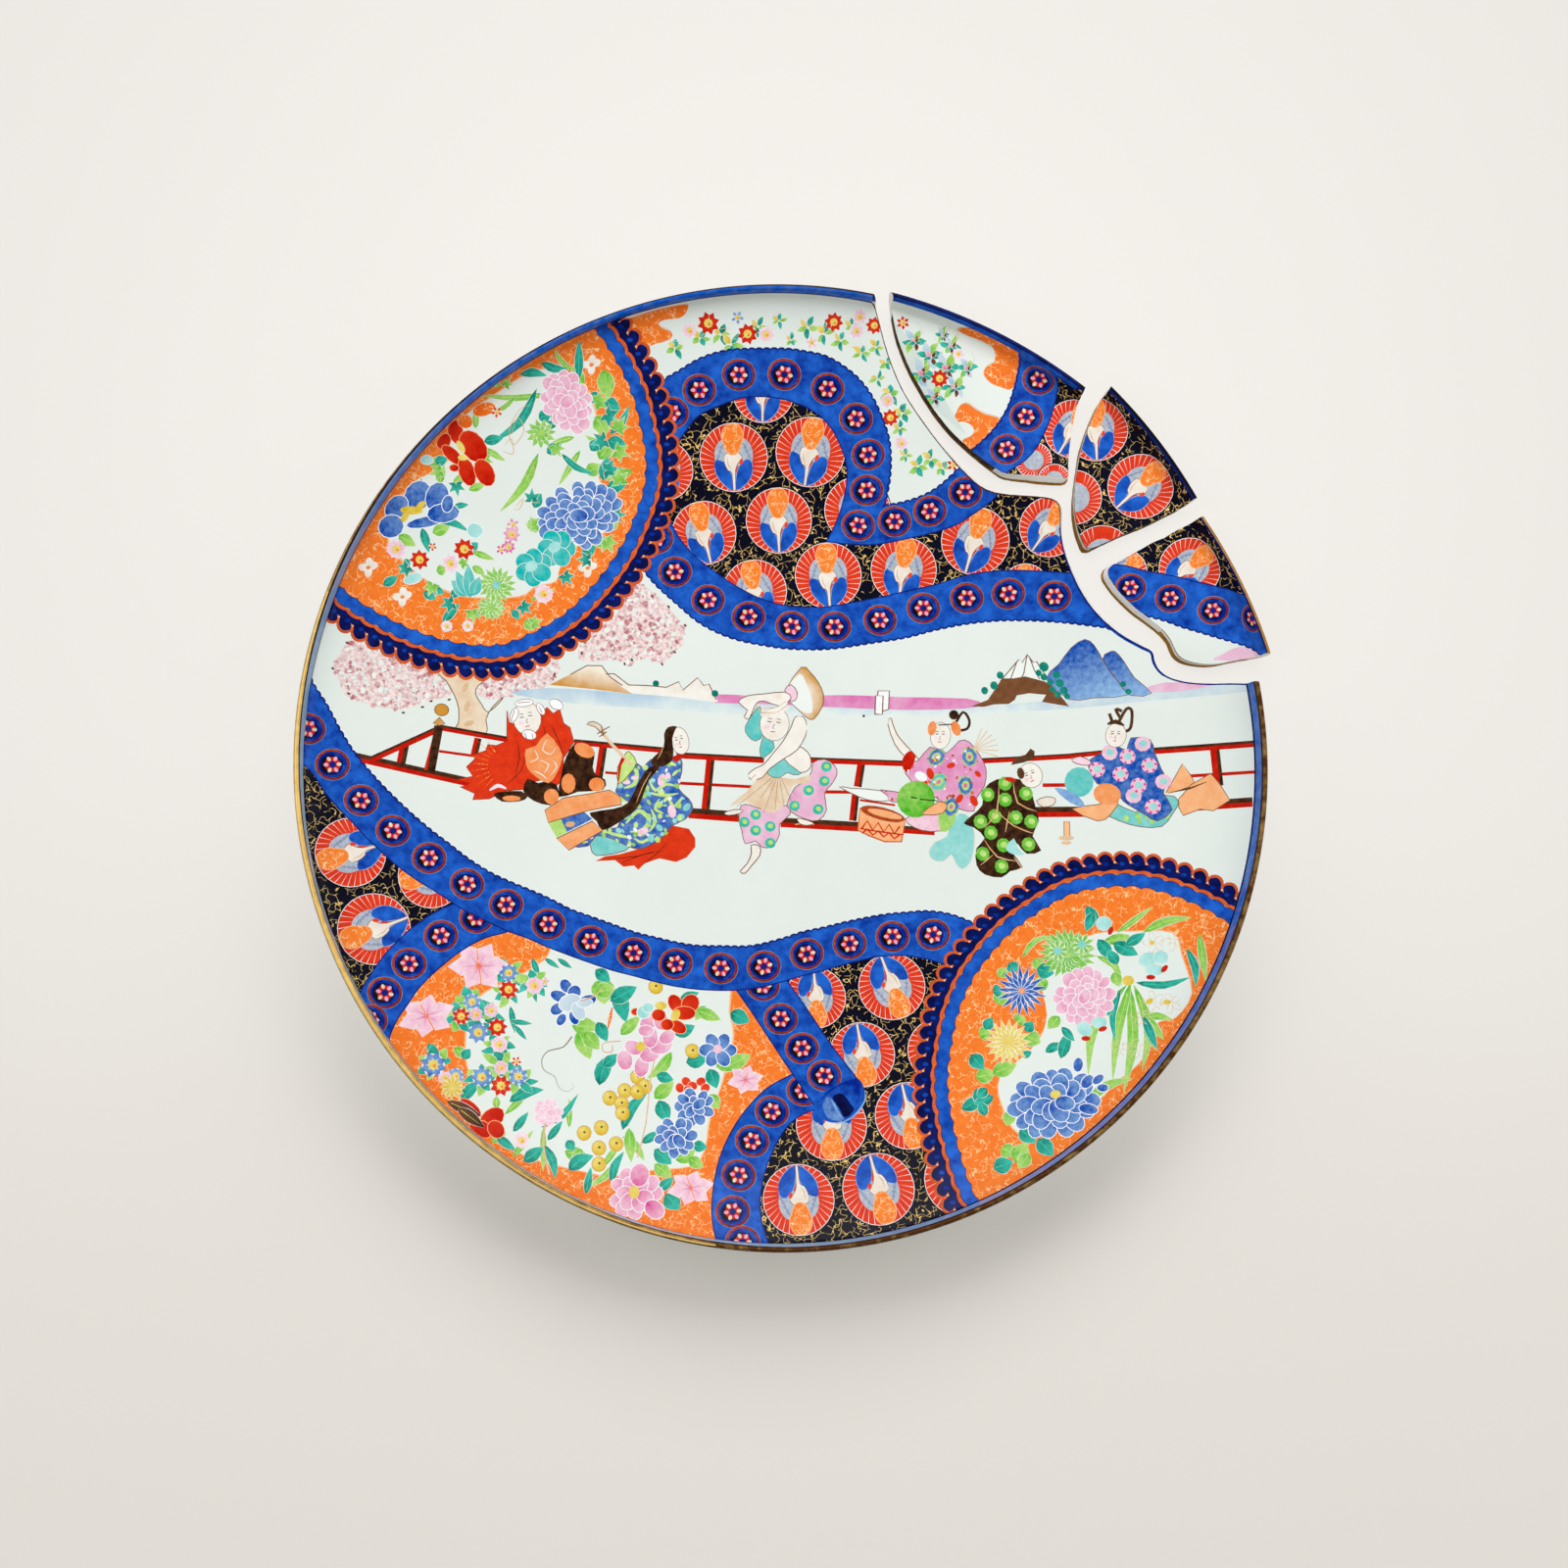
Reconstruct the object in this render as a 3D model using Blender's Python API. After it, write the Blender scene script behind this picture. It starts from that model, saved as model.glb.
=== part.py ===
"""Broken porcelain charger: one large piece and three rim shards that lie beside their gap.

Each piece is the same turned blank, cut by a wall of fracture. Metres, +Z up.
"""
import math

import bmesh
import bpy
from mathutils import Matrix, Vector

# Turned form of the whole plate.
RIM_RADIUS = 0.230
RIM_HEIGHT = 0.046
LIP_FOOT_RADIUS = 0.2245   # where the upright lip leaves the curved face
WELL_RADIUS = 0.095        # flat middle of the face
WELL_HEIGHT = 0.014
FACE_RISE = 0.022          # from the well to the foot of the lip
FACE_POWER = 1.8
WALL_AT_CENTRE = 0.0065
WALL_AT_RIM = 0.0043
WALL_THINS_FROM = 0.060
FOOT_INNER_RADIUS = 0.1265
FOOT_OUTER_RADIUS = 0.1325
FOOT_CHAMFER = 0.0008
SEGMENTS = 96
FACE_STEPS = 9
BACK_STEPS = 7

# Lines of fracture on the face, as (x, y, lean) in plan, with the plate's axis at 0, 0.
# The lean says how far the underside's edge stands out from the face's edge.
MAIN_FRACTURE = (
    (0.0410, 0.2310, 0.0000), (0.0435, 0.2240, 0.0000), (0.0465, 0.2140, 0.0000),
    (0.0510, 0.1995, -0.0005), (0.0580, 0.1835, -0.0005), (0.0680, 0.1685, -0.0010),
    (0.0790, 0.1545, -0.0015), (0.0900, 0.1425, -0.0020), (0.0990, 0.1355, -0.0025),
    (0.1100, 0.1330, -0.0025), (0.1220, 0.1320, -0.0025), (0.1305, 0.1306, -0.0020),
    (0.1344, 0.1270, -0.0015), (0.1348, 0.1170, -0.0010), (0.1362, 0.1075, -0.0010),
    (0.1405, 0.0950, -0.0015), (0.1460, 0.0838, -0.0020), (0.1530, 0.0745, -0.0020),
    (0.1630, 0.0655, -0.0020), (0.1735, 0.0592, -0.0015), (0.1784, 0.0563, -0.0010),
    (0.1796, 0.0510, -0.0010), (0.1835, 0.0455, -0.0010), (0.1915, 0.0420, -0.0005),
    (0.2030, 0.0404, 0.0000), (0.2160, 0.0401, 0.0000), (0.2330, 0.0390, 0.0000),
)
UPPER_FRACTURE = (
    (0.0455, 0.2290, 0.0000), (0.0500, 0.2215, 0.0000), (0.0535, 0.2080, 0.0000),
    (0.0565, 0.2000, 0.0000), (0.0603, 0.1915, 0.0000), (0.0655, 0.1825, 0.0000),
    (0.0715, 0.1730, 0.0000), (0.0775, 0.1652, 0.0000), (0.0835, 0.1586, 0.0000),
    (0.0900, 0.1526, 0.0000), (0.0970, 0.1470, 0.0002), (0.1035, 0.1422, 0.0004),
    (0.1080, 0.1404, 0.0010), (0.1180, 0.1397, 0.0018), (0.1280, 0.1390, 0.0024),
    (0.1373, 0.1380, 0.0012), (0.1377, 0.1450, 0.0000), (0.1388, 0.1560, 0.0000),
    (0.1405, 0.1670, 0.0000), (0.1423, 0.1740, 0.0000), (0.1455, 0.1825, 0.0000),
)
MIDDLE_FRACTURE = (
    (0.1470, 0.1825, 0.0000), (0.1435, 0.1750, 0.0000), (0.1395, 0.1630, 0.0000),
    (0.1365, 0.1500, 0.0000), (0.1353, 0.1400, -0.0005), (0.1349, 0.1300, -0.0005),
    (0.1356, 0.1200, 0.0000), (0.1380, 0.1105, 0.0005), (0.1408, 0.1045, 0.0008),
    (0.1434, 0.1008, 0.0010), (0.1500, 0.1034, 0.0000), (0.1600, 0.1092, 0.0000),
    (0.1700, 0.1142, 0.0000), (0.1800, 0.1202, 0.0000), (0.1945, 0.1290, 0.0000),
)
LOWER_FRACTURE = (
    (0.2010, 0.1217, 0.0000), (0.1900, 0.1176, 0.0000), (0.1850, 0.1153, 0.0000),
    (0.1800, 0.1126, 0.0000), (0.1740, 0.1104, 0.0000), (0.1650, 0.1058, 0.0000),
    (0.1570, 0.1018, 0.0000), (0.1530, 0.0996, 0.0008), (0.1517, 0.0962, 0.0016),
    (0.1545, 0.0905, 0.0016), (0.1590, 0.0845, 0.0015), (0.1650, 0.0782, 0.0015),
    (0.1720, 0.0724, 0.0015), (0.1772, 0.0672, 0.0012), (0.1806, 0.0620, 0.0008),
    (0.1826, 0.0562, 0.0010), (0.1860, 0.0526, 0.0008), (0.1920, 0.0502, 0.0005),
    (0.2000, 0.0492, 0.0003), (0.2100, 0.0503, 0.0000), (0.2180, 0.0510, 0.0000),
    (0.2320, 0.0502, 0.0000),
)
SMOOTHING = 3              # short chords between two points of a line of fracture
CUTTER_OVERRUN = 0.012     # how far a cutter reaches past the rim
CUTTER_LOW = -0.010
CUTTER_HIGH = 0.060
CUTTER_UNDER = 0.001       # how far the leaning part of a cutter runs on under the back

# How each shard lies: the middle of its rim in degrees round the plate, the radius it
# tips about, its tilt onto its back, its roll, its turn and its slide outward.
SHARD_POSES = {
    "shard_upper": dict(around=64.5, radius=0.208, tilt=15.5, roll=0.7, turn=-0.2, slide=0.0068),
    "shard_middle": dict(around=41.0, radius=0.205, tilt=15.4, roll=0.4, turn=-4.9, slide=0.0124),
    "shard_lower": dict(around=21.5, radius=0.207, tilt=15.4, roll=-0.8, turn=3.2, slide=0.0097),
}


def face_height(radius):
    """Height of the face, from the flat well up to the foot of the lip."""
    climb = max(0.0, min(1.0, (radius - WELL_RADIUS) / (LIP_FOOT_RADIUS - WELL_RADIUS)))
    return WELL_HEIGHT + FACE_RISE * climb ** FACE_POWER


def face_slope(radius):
    """Rise of the face for each metre outward."""
    step = 0.0001
    return (face_height(radius) - face_height(radius - step)) / step


def wall(radius):
    """Thickness of the body, measured straight through the wall."""
    share = max(0.0, min(1.0, (radius - WALL_THINS_FROM) / (LIP_FOOT_RADIUS - WALL_THINS_FROM)))
    return WALL_AT_CENTRE + (WALL_AT_RIM - WALL_AT_CENTRE) * share


def back_height(radius):
    """Height of the underside outside the foot ring."""
    return face_height(radius) - wall(radius) * math.hypot(1.0, face_slope(radius))


def between(start, end, steps):
    """Evenly spaced values from start to end, both included."""
    return [start + (end - start) * i / steps for i in range(steps + 1)]


def plate_profile():
    """Half section (radius, height), from the underside's middle round the rim to the face's."""
    recess = WELL_HEIGHT - WALL_AT_CENTRE
    foot = [
        (0.0, recess),
        (FOOT_INNER_RADIUS - 0.0010, recess),
        (FOOT_INNER_RADIUS, FOOT_CHAMFER),
        (FOOT_INNER_RADIUS + FOOT_CHAMFER, 0.0),
        (FOOT_OUTER_RADIUS - FOOT_CHAMFER, 0.0),
        (FOOT_OUTER_RADIUS, FOOT_CHAMFER),
    ]
    back = [(r, back_height(r)) for r in between(FOOT_OUTER_RADIUS + 0.0012, 0.2225, BACK_STEPS)]
    lip = [
        (0.2256, 0.0334), (0.2280, 0.0366), (0.2294, 0.0402), (RIM_RADIUS, 0.0440),
        (0.2297, 0.0453), (0.2289, RIM_HEIGHT), (0.2278, 0.0457), (0.2271, 0.0445),
        (0.2264, 0.0405), (0.2257, 0.0372),
    ]
    face = [(r, face_height(r)) for r in between(LIP_FOOT_RADIUS, WELL_RADIUS, FACE_STEPS)]
    return foot + back + lip + face + [(0.0, WELL_HEIGHT)]


def turned_blank():
    """Mesh of the unbroken plate, turned about its axis."""
    bm = bmesh.new()
    points = [bm.verts.new((radius, 0.0, height)) for radius, height in plate_profile()]
    edges = [bm.edges.new(pair) for pair in zip(points, points[1:])]
    bmesh.ops.spin(bm, geom=points + edges, cent=(0, 0, 0), axis=(0, 0, 1),
                   angle=2 * math.pi, steps=SEGMENTS, use_merge=True)
    bmesh.ops.remove_doubles(bm, verts=bm.verts, dist=0.00001)
    bmesh.ops.recalc_face_normals(bm, faces=bm.faces)
    mesh = bpy.data.meshes.new("plate_blank")
    bm.to_mesh(mesh)
    bm.free()
    return mesh


def smooth_line(points):
    """Catmull-Rom curve through points of any dimension, its ends kept."""
    vectors = [Vector(p) for p in points]
    line = []
    for i in range(len(vectors) - 1):
        p0, p1, p2 = vectors[max(i - 1, 0)], vectors[i], vectors[i + 1]
        p3 = vectors[min(i + 2, len(vectors) - 1)]
        for step in range(SMOOTHING):
            t = step / SMOOTHING
            line.append(0.5 * (2 * p1 + (p2 - p0) * t + (2 * p0 - 5 * p1 + 4 * p2 - p3) * t ** 2
                               + (3 * p1 - p0 - 3 * p2 + p3) * t ** 3))
    return line + [vectors[-1]]


def past_the_rim(line):
    """Closes a line of fracture by an arc outside the rim, at its end's side first."""
    reach = RIM_RADIUS + CUTTER_OVERRUN
    start = math.atan2(line[0].y, line[0].x)
    end = math.atan2(line[-1].y, line[-1].x)
    arc = between(end, start, 12)
    return [Vector((reach * math.cos(a), reach * math.sin(a), 0.0)) for a in arc]


def outward_normals(outline):
    """Plan normals of a closed outline that runs counter-clockwise."""
    normals = []
    for i, _ in enumerate(outline):
        along = outline[(i + 1) % len(outline)] - outline[i - 1]
        normals.append(Vector((along.y, -along.x, 0.0)).normalized())
    return normals


def fracture_cutter(name, points):
    """Closed cutter whose wall leans through the thickness and is upright above and below."""
    line = smooth_line(points)
    outline = line + past_the_rim(line)
    area = sum(a.x * b.y - b.x * a.y for a, b in zip(outline, outline[1:] + outline[:1]))
    if area < 0:
        outline.reverse()
    normals = outward_normals(outline)
    rings = [[], [], [], []]
    for point, normal in zip(outline, normals):
        radius = min(math.hypot(point.x, point.y), LIP_FOOT_RADIUS)
        face, back = face_height(radius), back_height(radius)
        share = (face - back + CUTTER_UNDER) / (face - back)
        at_face = Vector((point.x, point.y, face))
        under = at_face + normal * point.z * share
        rings[0].append((under.x, under.y, CUTTER_LOW))
        rings[1].append((under.x, under.y, back - CUTTER_UNDER))
        rings[2].append(tuple(at_face))
        rings[3].append((at_face.x, at_face.y, CUTTER_HIGH))
    bm = bmesh.new()
    loops = [[bm.verts.new(place) for place in ring] for ring in rings]
    count = len(outline)
    for low, high in zip(loops, loops[1:]):
        for i in range(count):
            j = (i + 1) % count
            bm.faces.new((low[i], low[j], high[j], high[i]))
    bm.faces.new(list(reversed(loops[0])))
    bm.faces.new(loops[-1])
    bmesh.ops.recalc_face_normals(bm, faces=bm.faces)
    mesh = bpy.data.meshes.new(name)
    bm.to_mesh(mesh)
    bm.free()
    cutter = bpy.data.objects.new(name, mesh)
    cutter.hide_render = True
    cutter.display_type = "WIRE"
    bpy.context.scene.collection.objects.link(cutter)
    return cutter


def porcelain(name, colour, roughness):
    """Glazed porcelain in one colour."""
    material = bpy.data.materials.new(name)
    material.use_nodes = True
    shader = material.node_tree.nodes["Principled BSDF"]
    shader.inputs["Base Color"].default_value = (*colour, 1.0)
    shader.inputs["Roughness"].default_value = roughness
    shader.inputs["Metallic"].default_value = 0.0
    return material


def broken_piece(name, blank, fracture, operation, colour):
    """The turned blank with one fracture cut through it."""
    piece = bpy.data.objects.new(name, blank.copy())
    piece.data.name = name
    piece.data.materials.append(porcelain(name + "_glaze", colour, 0.2))
    bpy.context.scene.collection.objects.link(piece)
    cutter = fracture_cutter(name + "_cutter", fracture)
    cutter.parent = piece
    cut = piece.modifiers.new("fracture", "BOOLEAN")
    cut.operation = operation
    cut.solver = "EXACT"
    cut.object = cutter
    return piece


def corners(piece):
    """World places of the piece's vertices after its modifiers."""
    bpy.context.view_layer.update()
    evaluated = piece.evaluated_get(bpy.context.evaluated_depsgraph_get())
    mesh = evaluated.to_mesh()
    places = [evaluated.matrix_world @ v.co for v in mesh.vertices]
    evaluated.to_mesh_clear()
    return places


def lay_on_back(piece, around, radius, tilt, roll, turn, slide):
    """Tips a shard onto its back, turns it, slides it outward and sets it on the floor."""
    angle = math.radians(around)
    outward = Vector((math.cos(angle), math.sin(angle), 0.0))
    along_rim = Vector((-math.sin(angle), math.cos(angle), 0.0))
    pivot = outward * radius + Vector((0.0, 0.0, back_height(radius)))
    turned = (Matrix.Rotation(math.radians(turn), 4, "Z")
              @ Matrix.Rotation(math.radians(roll), 4, outward)
              @ Matrix.Rotation(math.radians(tilt), 4, along_rim))
    piece.matrix_world = (Matrix.Translation(outward * slide + pivot) @ turned
                          @ Matrix.Translation(-pivot))
    piece.location.z -= min(place.z for place in corners(piece))


def centre_on_origin(pieces):
    """Moves all pieces together so that their common box stands centred over the origin."""
    places = [place for piece in pieces for place in corners(piece)]
    middle_x = (min(p.x for p in places) + max(p.x for p in places)) / 2
    middle_y = (min(p.y for p in places) + max(p.y for p in places)) / 2
    for piece in pieces:
        piece.location.x -= middle_x
        piece.location.y -= middle_y


def main():
    """Builds the four pieces."""
    for leftover in list(bpy.data.objects):
        bpy.data.objects.remove(leftover)
    blank = turned_blank()
    white = (0.76, 0.82, 0.78)
    black = (0.03, 0.03, 0.04)
    cobalt = (0.02, 0.09, 0.55)
    pieces = [
        broken_piece("plate_main", blank, MAIN_FRACTURE, "DIFFERENCE", white),
        broken_piece("shard_upper", blank, UPPER_FRACTURE, "INTERSECT", white),
        broken_piece("shard_middle", blank, MIDDLE_FRACTURE, "INTERSECT", black),
        broken_piece("shard_lower", blank, LOWER_FRACTURE, "INTERSECT", cobalt),
    ]
    bpy.data.meshes.remove(blank)
    for piece in pieces:
        piece.data.shade_smooth()
        piece.data.set_sharp_from_angle(angle=math.radians(35))
    for shard in pieces[1:]:
        lay_on_back(shard, **SHARD_POSES[shard.name])
    centre_on_origin(pieces)


main()
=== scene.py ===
"""Dresses a broken porcelain charger: one large piece and three rim shards beside their gap.

The decoration is painted in the order a decorator lays it. Areas of pigment are outlined in
millimetres on the plan of the whole plate, and each piece takes the part it broke off with.
Run as a script it builds the pieces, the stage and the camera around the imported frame.
"""
import math
import random
import bpy
import numpy as np
from bpy.props import FloatProperty, FloatVectorProperty, PointerProperty
from mathutils import Matrix, Vector
from mathutils.geometry import delaunay_2d_cdt, tessellate_polygon


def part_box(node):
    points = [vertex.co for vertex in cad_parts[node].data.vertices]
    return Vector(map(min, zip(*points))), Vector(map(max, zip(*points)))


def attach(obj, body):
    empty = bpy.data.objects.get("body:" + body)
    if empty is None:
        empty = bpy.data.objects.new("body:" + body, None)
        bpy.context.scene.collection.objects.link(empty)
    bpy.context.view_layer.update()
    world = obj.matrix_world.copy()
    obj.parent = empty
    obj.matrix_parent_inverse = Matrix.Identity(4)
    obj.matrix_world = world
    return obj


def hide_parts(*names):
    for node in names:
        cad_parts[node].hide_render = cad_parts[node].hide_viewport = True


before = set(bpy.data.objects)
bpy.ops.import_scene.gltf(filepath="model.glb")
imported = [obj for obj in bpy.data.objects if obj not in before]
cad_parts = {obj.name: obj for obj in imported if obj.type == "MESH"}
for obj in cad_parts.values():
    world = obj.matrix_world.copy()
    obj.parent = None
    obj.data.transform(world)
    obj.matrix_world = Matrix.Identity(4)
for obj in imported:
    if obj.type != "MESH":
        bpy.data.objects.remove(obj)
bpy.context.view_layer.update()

bl_info = {
    "name": "Broken Porcelain Charger",
    "version": (1, 0, 0),
    "blender": (4, 5, 0),
    "location": "View3D > Sidebar > Charger",
    "description": "Painted pieces of a broken porcelain charger on a pale floor",
    "category": "Object",
}

MAIN_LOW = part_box("plate_main")[0]
MM = 0.001


def measure(word):
    """A number, a name, or a tuple written with colons."""
    if ":" in word:
        return tuple(measure(part) for part in word.split(":"))
    if word.lstrip("-.")[:1].isdigit():
        return float(word) if "." in word else int(word)
    return word


def plot(text):
    """Reads a drawing's measures: rows are parted by spaces, and what they hold by commas."""
    return [tuple(measure(word) for word in row.split(",")) for row in text.split()]


def size_mm(name):
    """A size of the pieces in millimetres, as the add-on's properties hold it."""
    return round(getattr(bpy.context.scene.charger_sizes, name) / MM, 4)


# Turned form of the whole plate, in millimetres.
RIM_RADIUS = 230.0
RIM_HEIGHT = 46.0
LIP_FOOT_RADIUS = 224.5
WELL_RADIUS = 95.0
WELL_HEIGHT = 14.0
FACE_RISE = 22.0
FACE_POWER = 1.8
WALL_AT_CENTRE = 6.5
WALL_AT_RIM = 4.3
WALL_THINS_FROM = 60.0
FOOT_INNER_RADIUS = 126.5
FOOT_OUTER_RADIUS = 132.5
FOOT_CHAMFER = 0.8
BACK_END_RADIUS = 222.5    # where the face's skin and the underside's meet
FOOT_FILLET = 1.2          # run from the foot ring to the underside outside it
FOOT_SLOPE = 1.0           # run of the foot ring's inner side
FACE_ROWS, BACK_ROWS = 27, 19

# The plate's axis stands at the main piece's low corner plus one rim radius.
AXIS = Vector((MAIN_LOW.x + RIM_RADIUS * MM, MAIN_LOW.y + RIM_RADIUS * MM, 0.0))

# Lines of fracture on the face as (x, y, lean). The lean says how far the underside's edge
# stands out from the face's edge.
MAIN_FRACTURE = plot("""
    41,231,0 43.5,224,0 46.5,214,0 51,199.5,-.5 58,183.5,-.5 68,168.5,-1 79,154.5,-1.5 90,142.5,-2
    99,135.5,-2.5 110,133,-2.5 122,132,-2.5 130.5,130.6,-2 134.4,127,-1.5 134.8,117,-1
    136.2,107.5,-1 140.5,95,-1.5 146,83.8,-2 153,74.5,-2 163,65.5,-2 173.5,59.2,-1.5 178.4,56.3,-1
    179.6,51,-1 183.5,45.5,-1 191.5,42,-.5 203,40.4,0 216,40.1,0 233,39,0""")
UPPER_FRACTURE = plot("""
    45.5,229,0 50,221.5,0 53.5,208,0 56.5,200,0 60.3,191.5,0 65.5,182.5,0 71.5,173,0 77.5,165.2,0
    83.5,158.6,0 90,152.6,0 97,147,.2 103.5,142.2,.4 108,140.4,1 118,139.7,1.8 128,139,2.4
    137.3,138,1.2 137.7,145,0 138.8,156,0 140.5,167,0 142.3,174,0 145.5,182.5,0""")
MIDDLE_FRACTURE = plot("""
    147,182.5,0 143.5,175,0 139.5,163,0 136.5,150,0 135.3,140,-.5 134.9,130,-.5 135.6,120,0
    138,110.5,.5 140.8,104.5,.8 143.4,100.8,1 150,103.4,0 160,109.2,0 170,114.2,0 180,120.2,0
    194.5,129,0""")
LOWER_FRACTURE = plot("""
    201,121.7,0 190,117.6,0 185,115.3,0 180,112.6,0 174,110.4,0 165,105.8,0 157,101.8,0
    153,99.6,.8 151.7,96.2,1.6 154.5,90.5,1.6 159,84.5,1.5 165,78.2,1.5 172,72.4,1.5
    177.2,67.2,1.2 180.6,62,.8 182.6,56.2,1 186,52.6,.8 192,50.2,.5 200,49.2,.3 210,50.3,0
    218,51,0 232,50.2,0""")
FRACTURE_SMOOTHING = 3     # chords between two points of a line of fracture

# How each shard lies: the middle of its rim in degrees round the plate, the radius it
# tips about, its tilt onto its back, its roll, its turn and its slide outward.
SHARD_POSES = {
    "shard_upper": dict(around=64.5, radius=208.0, tilt=15.5, roll=0.7, turn=-0.2, slide=6.8),
    "shard_middle": dict(around=41.0, radius=205.0, tilt=15.4, roll=0.4, turn=-4.9, slide=12.4),
    "shard_lower": dict(around=21.5, radius=207.0, tilt=15.4, roll=-0.8, turn=3.2, slide=9.7),
}
FRACTURES = {
    "plate_main": MAIN_FRACTURE,
    "shard_upper": UPPER_FRACTURE,
    "shard_middle": MIDDLE_FRACTURE,
    "shard_lower": LOWER_FRACTURE,
}


# --- Turned form -------------------------------------------------------------------------

SLOPE_STEP = 0.1   # step over which the face's slope is measured


def face_height(radius):
    """Height of the face, from the flat well up to the foot of the lip."""
    climb = np.clip((radius - WELL_RADIUS) / (LIP_FOOT_RADIUS - WELL_RADIUS), 0.0, 1.0)
    return WELL_HEIGHT + FACE_RISE * climb ** FACE_POWER


def back_height(radius):
    """Height of the underside outside the foot ring."""
    share = np.clip((radius - WALL_THINS_FROM) / (LIP_FOOT_RADIUS - WALL_THINS_FROM), 0.0, 1.0)
    wall = WALL_AT_CENTRE + (WALL_AT_RIM - WALL_AT_CENTRE) * share
    slope = (face_height(radius) - face_height(radius - SLOPE_STEP)) / SLOPE_STEP
    return face_height(radius) - wall * np.hypot(1.0, slope)


class Skin:
    """One side of the plate as a half section that is unrolled along its own length."""

    def __init__(self, section, straight_to):
        self.r, self.z = np.array(section, float).T
        steps = np.hypot(np.diff(self.r), np.diff(self.z))
        flat = np.maximum.accumulate(self.r)[1:] <= straight_to
        self.v = np.concatenate([[0.0], np.cumsum(np.where(flat, np.diff(self.r), steps))])
        run, rise = np.gradient(self.r), np.gradient(self.z)
        self.normal_r, self.normal_z = -rise, run
        self.end = self.v[-1]

    def place(self, plan):
        """Points and outward normals in space for points of the unrolled plan."""
        v = np.hypot(plan[:, 0], plan[:, 1])
        turn = plan / np.maximum(v, 1e-9)[:, None]
        points = np.column_stack([turn * np.interp(v, self.v, self.r)[:, None],
                                  np.interp(v, self.v, self.z)])
        normals = np.column_stack([turn * np.interp(v, self.v, self.normal_r)[:, None],
                                   np.interp(v, self.v, self.normal_z)])
        normals /= np.linalg.norm(normals, axis=1)[:, None]
        return points, normals


def face_skin():
    """The face, and the lip over its top and down its outer side."""
    face = [(r, face_height(r)) for r in np.linspace(WELL_RADIUS, LIP_FOOT_RADIUS, FACE_ROWS)]
    lip = [
        (225.7, 37.2), (226.4, 40.5), (227.1, 44.5), (227.8, 45.7), (228.9, RIM_HEIGHT),
        (229.7, 45.3), (RIM_RADIUS, 44.0), (229.4, 40.2), (228.0, 36.6), (225.6, 33.4),
        (BACK_END_RADIUS, back_height(BACK_END_RADIUS)),
    ]
    return Skin([(0.0, WELL_HEIGHT)] + face + lip, LIP_FOOT_RADIUS)


def back_skin():
    """The underside from its middle over the foot ring to the lip."""
    recess = WELL_HEIGHT - WALL_AT_CENTRE
    foot = [
        (0.0, recess), (FOOT_INNER_RADIUS - FOOT_SLOPE, recess),
        (FOOT_INNER_RADIUS, FOOT_CHAMFER), (FOOT_INNER_RADIUS + FOOT_CHAMFER, 0.0),
        (FOOT_OUTER_RADIUS - FOOT_CHAMFER, 0.0), (FOOT_OUTER_RADIUS, FOOT_CHAMFER),
    ]
    back = [(r, back_height(r))
            for r in np.linspace(FOOT_OUTER_RADIUS + FOOT_FILLET, BACK_END_RADIUS, BACK_ROWS)]
    return Skin(foot + back, 0.0)


# --- Drawing on the plan -----------------------------------------------------------------

def curve(points, closed=False, steps=5):
    """Catmull-Rom curve through points of any dimension."""
    p = np.asarray(points, float)
    count = len(p)
    t = (np.arange(steps) / steps)[:, None]
    parts = []
    for i in range(count if closed else count - 1):
        near = [i - 1, i, i + 1, i + 2]
        near = [j % count if closed else min(max(j, 0), count - 1) for j in near]
        a, b, c, d = p[near]
        parts.append(0.5 * (2 * b + (c - a) * t + (2 * a - 5 * b + 4 * c - d) * t ** 2
                            + (3 * b - a - 3 * c + d) * t ** 3))
    if not closed:
        parts.append(p[-1:])
    return np.concatenate(parts)


def stepped(points, pitch):
    """An open line with its points evenly spaced, about one pitch apart."""
    p = np.asarray(points, float)
    along = np.concatenate([[0.0], np.cumsum(np.linalg.norm(np.diff(p, axis=0), axis=1))])
    at = np.linspace(0.0, along[-1], max(2, int(round(along[-1] / pitch)) + 1))
    return np.column_stack([np.interp(at, along, column) for column in p.T])


def left_of(points):
    """Unit normals to the left of an open line."""
    along = np.gradient(np.asarray(points, float), axis=0)
    along /= np.maximum(np.linalg.norm(along, axis=1), 1e-9)[:, None]
    return np.column_stack([-along[:, 1], along[:, 0]])


def moved(points, distance):
    """An open line moved to its left."""
    return points + left_of(points) * np.reshape(distance, (-1, 1))


def scalloped(points, pitch, height, steps=6):
    """An open line drawn as a row of bows that swell to its left."""
    count = max(1, round(np.linalg.norm(np.diff(points, axis=0), axis=1).sum() / pitch))
    line = stepped(points, np.linalg.norm(np.diff(points, axis=0), axis=1).sum() / (count * steps))
    bow = np.abs(np.sin(np.pi * np.arange(len(line)) / steps)) ** 0.8
    return moved(line, height * bow)


def oval(centre, radius, squash=1.0, turn=0.0, sides=20):
    """Outline of an oval. Squash is its height over its width."""
    a = 2 * np.pi * np.arange(sides) / sides
    x, y = radius * np.cos(a), radius * squash * np.sin(a)
    c, s = math.cos(math.radians(turn)), math.sin(math.radians(turn))
    return np.column_stack([centre[0] + c * x - s * y, centre[1] + s * x + c * y])


BRUSH = {
    "even": lambda t: np.ones_like(t),
    "brush": lambda t: np.sin(np.pi * np.clip(t, 0.03, 0.97)) ** 0.5,
    "leaf": lambda t: np.sin(np.pi * t ** 0.8) ** 0.9,
    "tail": lambda t: 1.0 - 0.85 * t,
    "drop": lambda t: np.sin(np.pi * np.clip(t, 0.0, 1.0) ** 1.6) ** 0.7,
}


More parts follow.
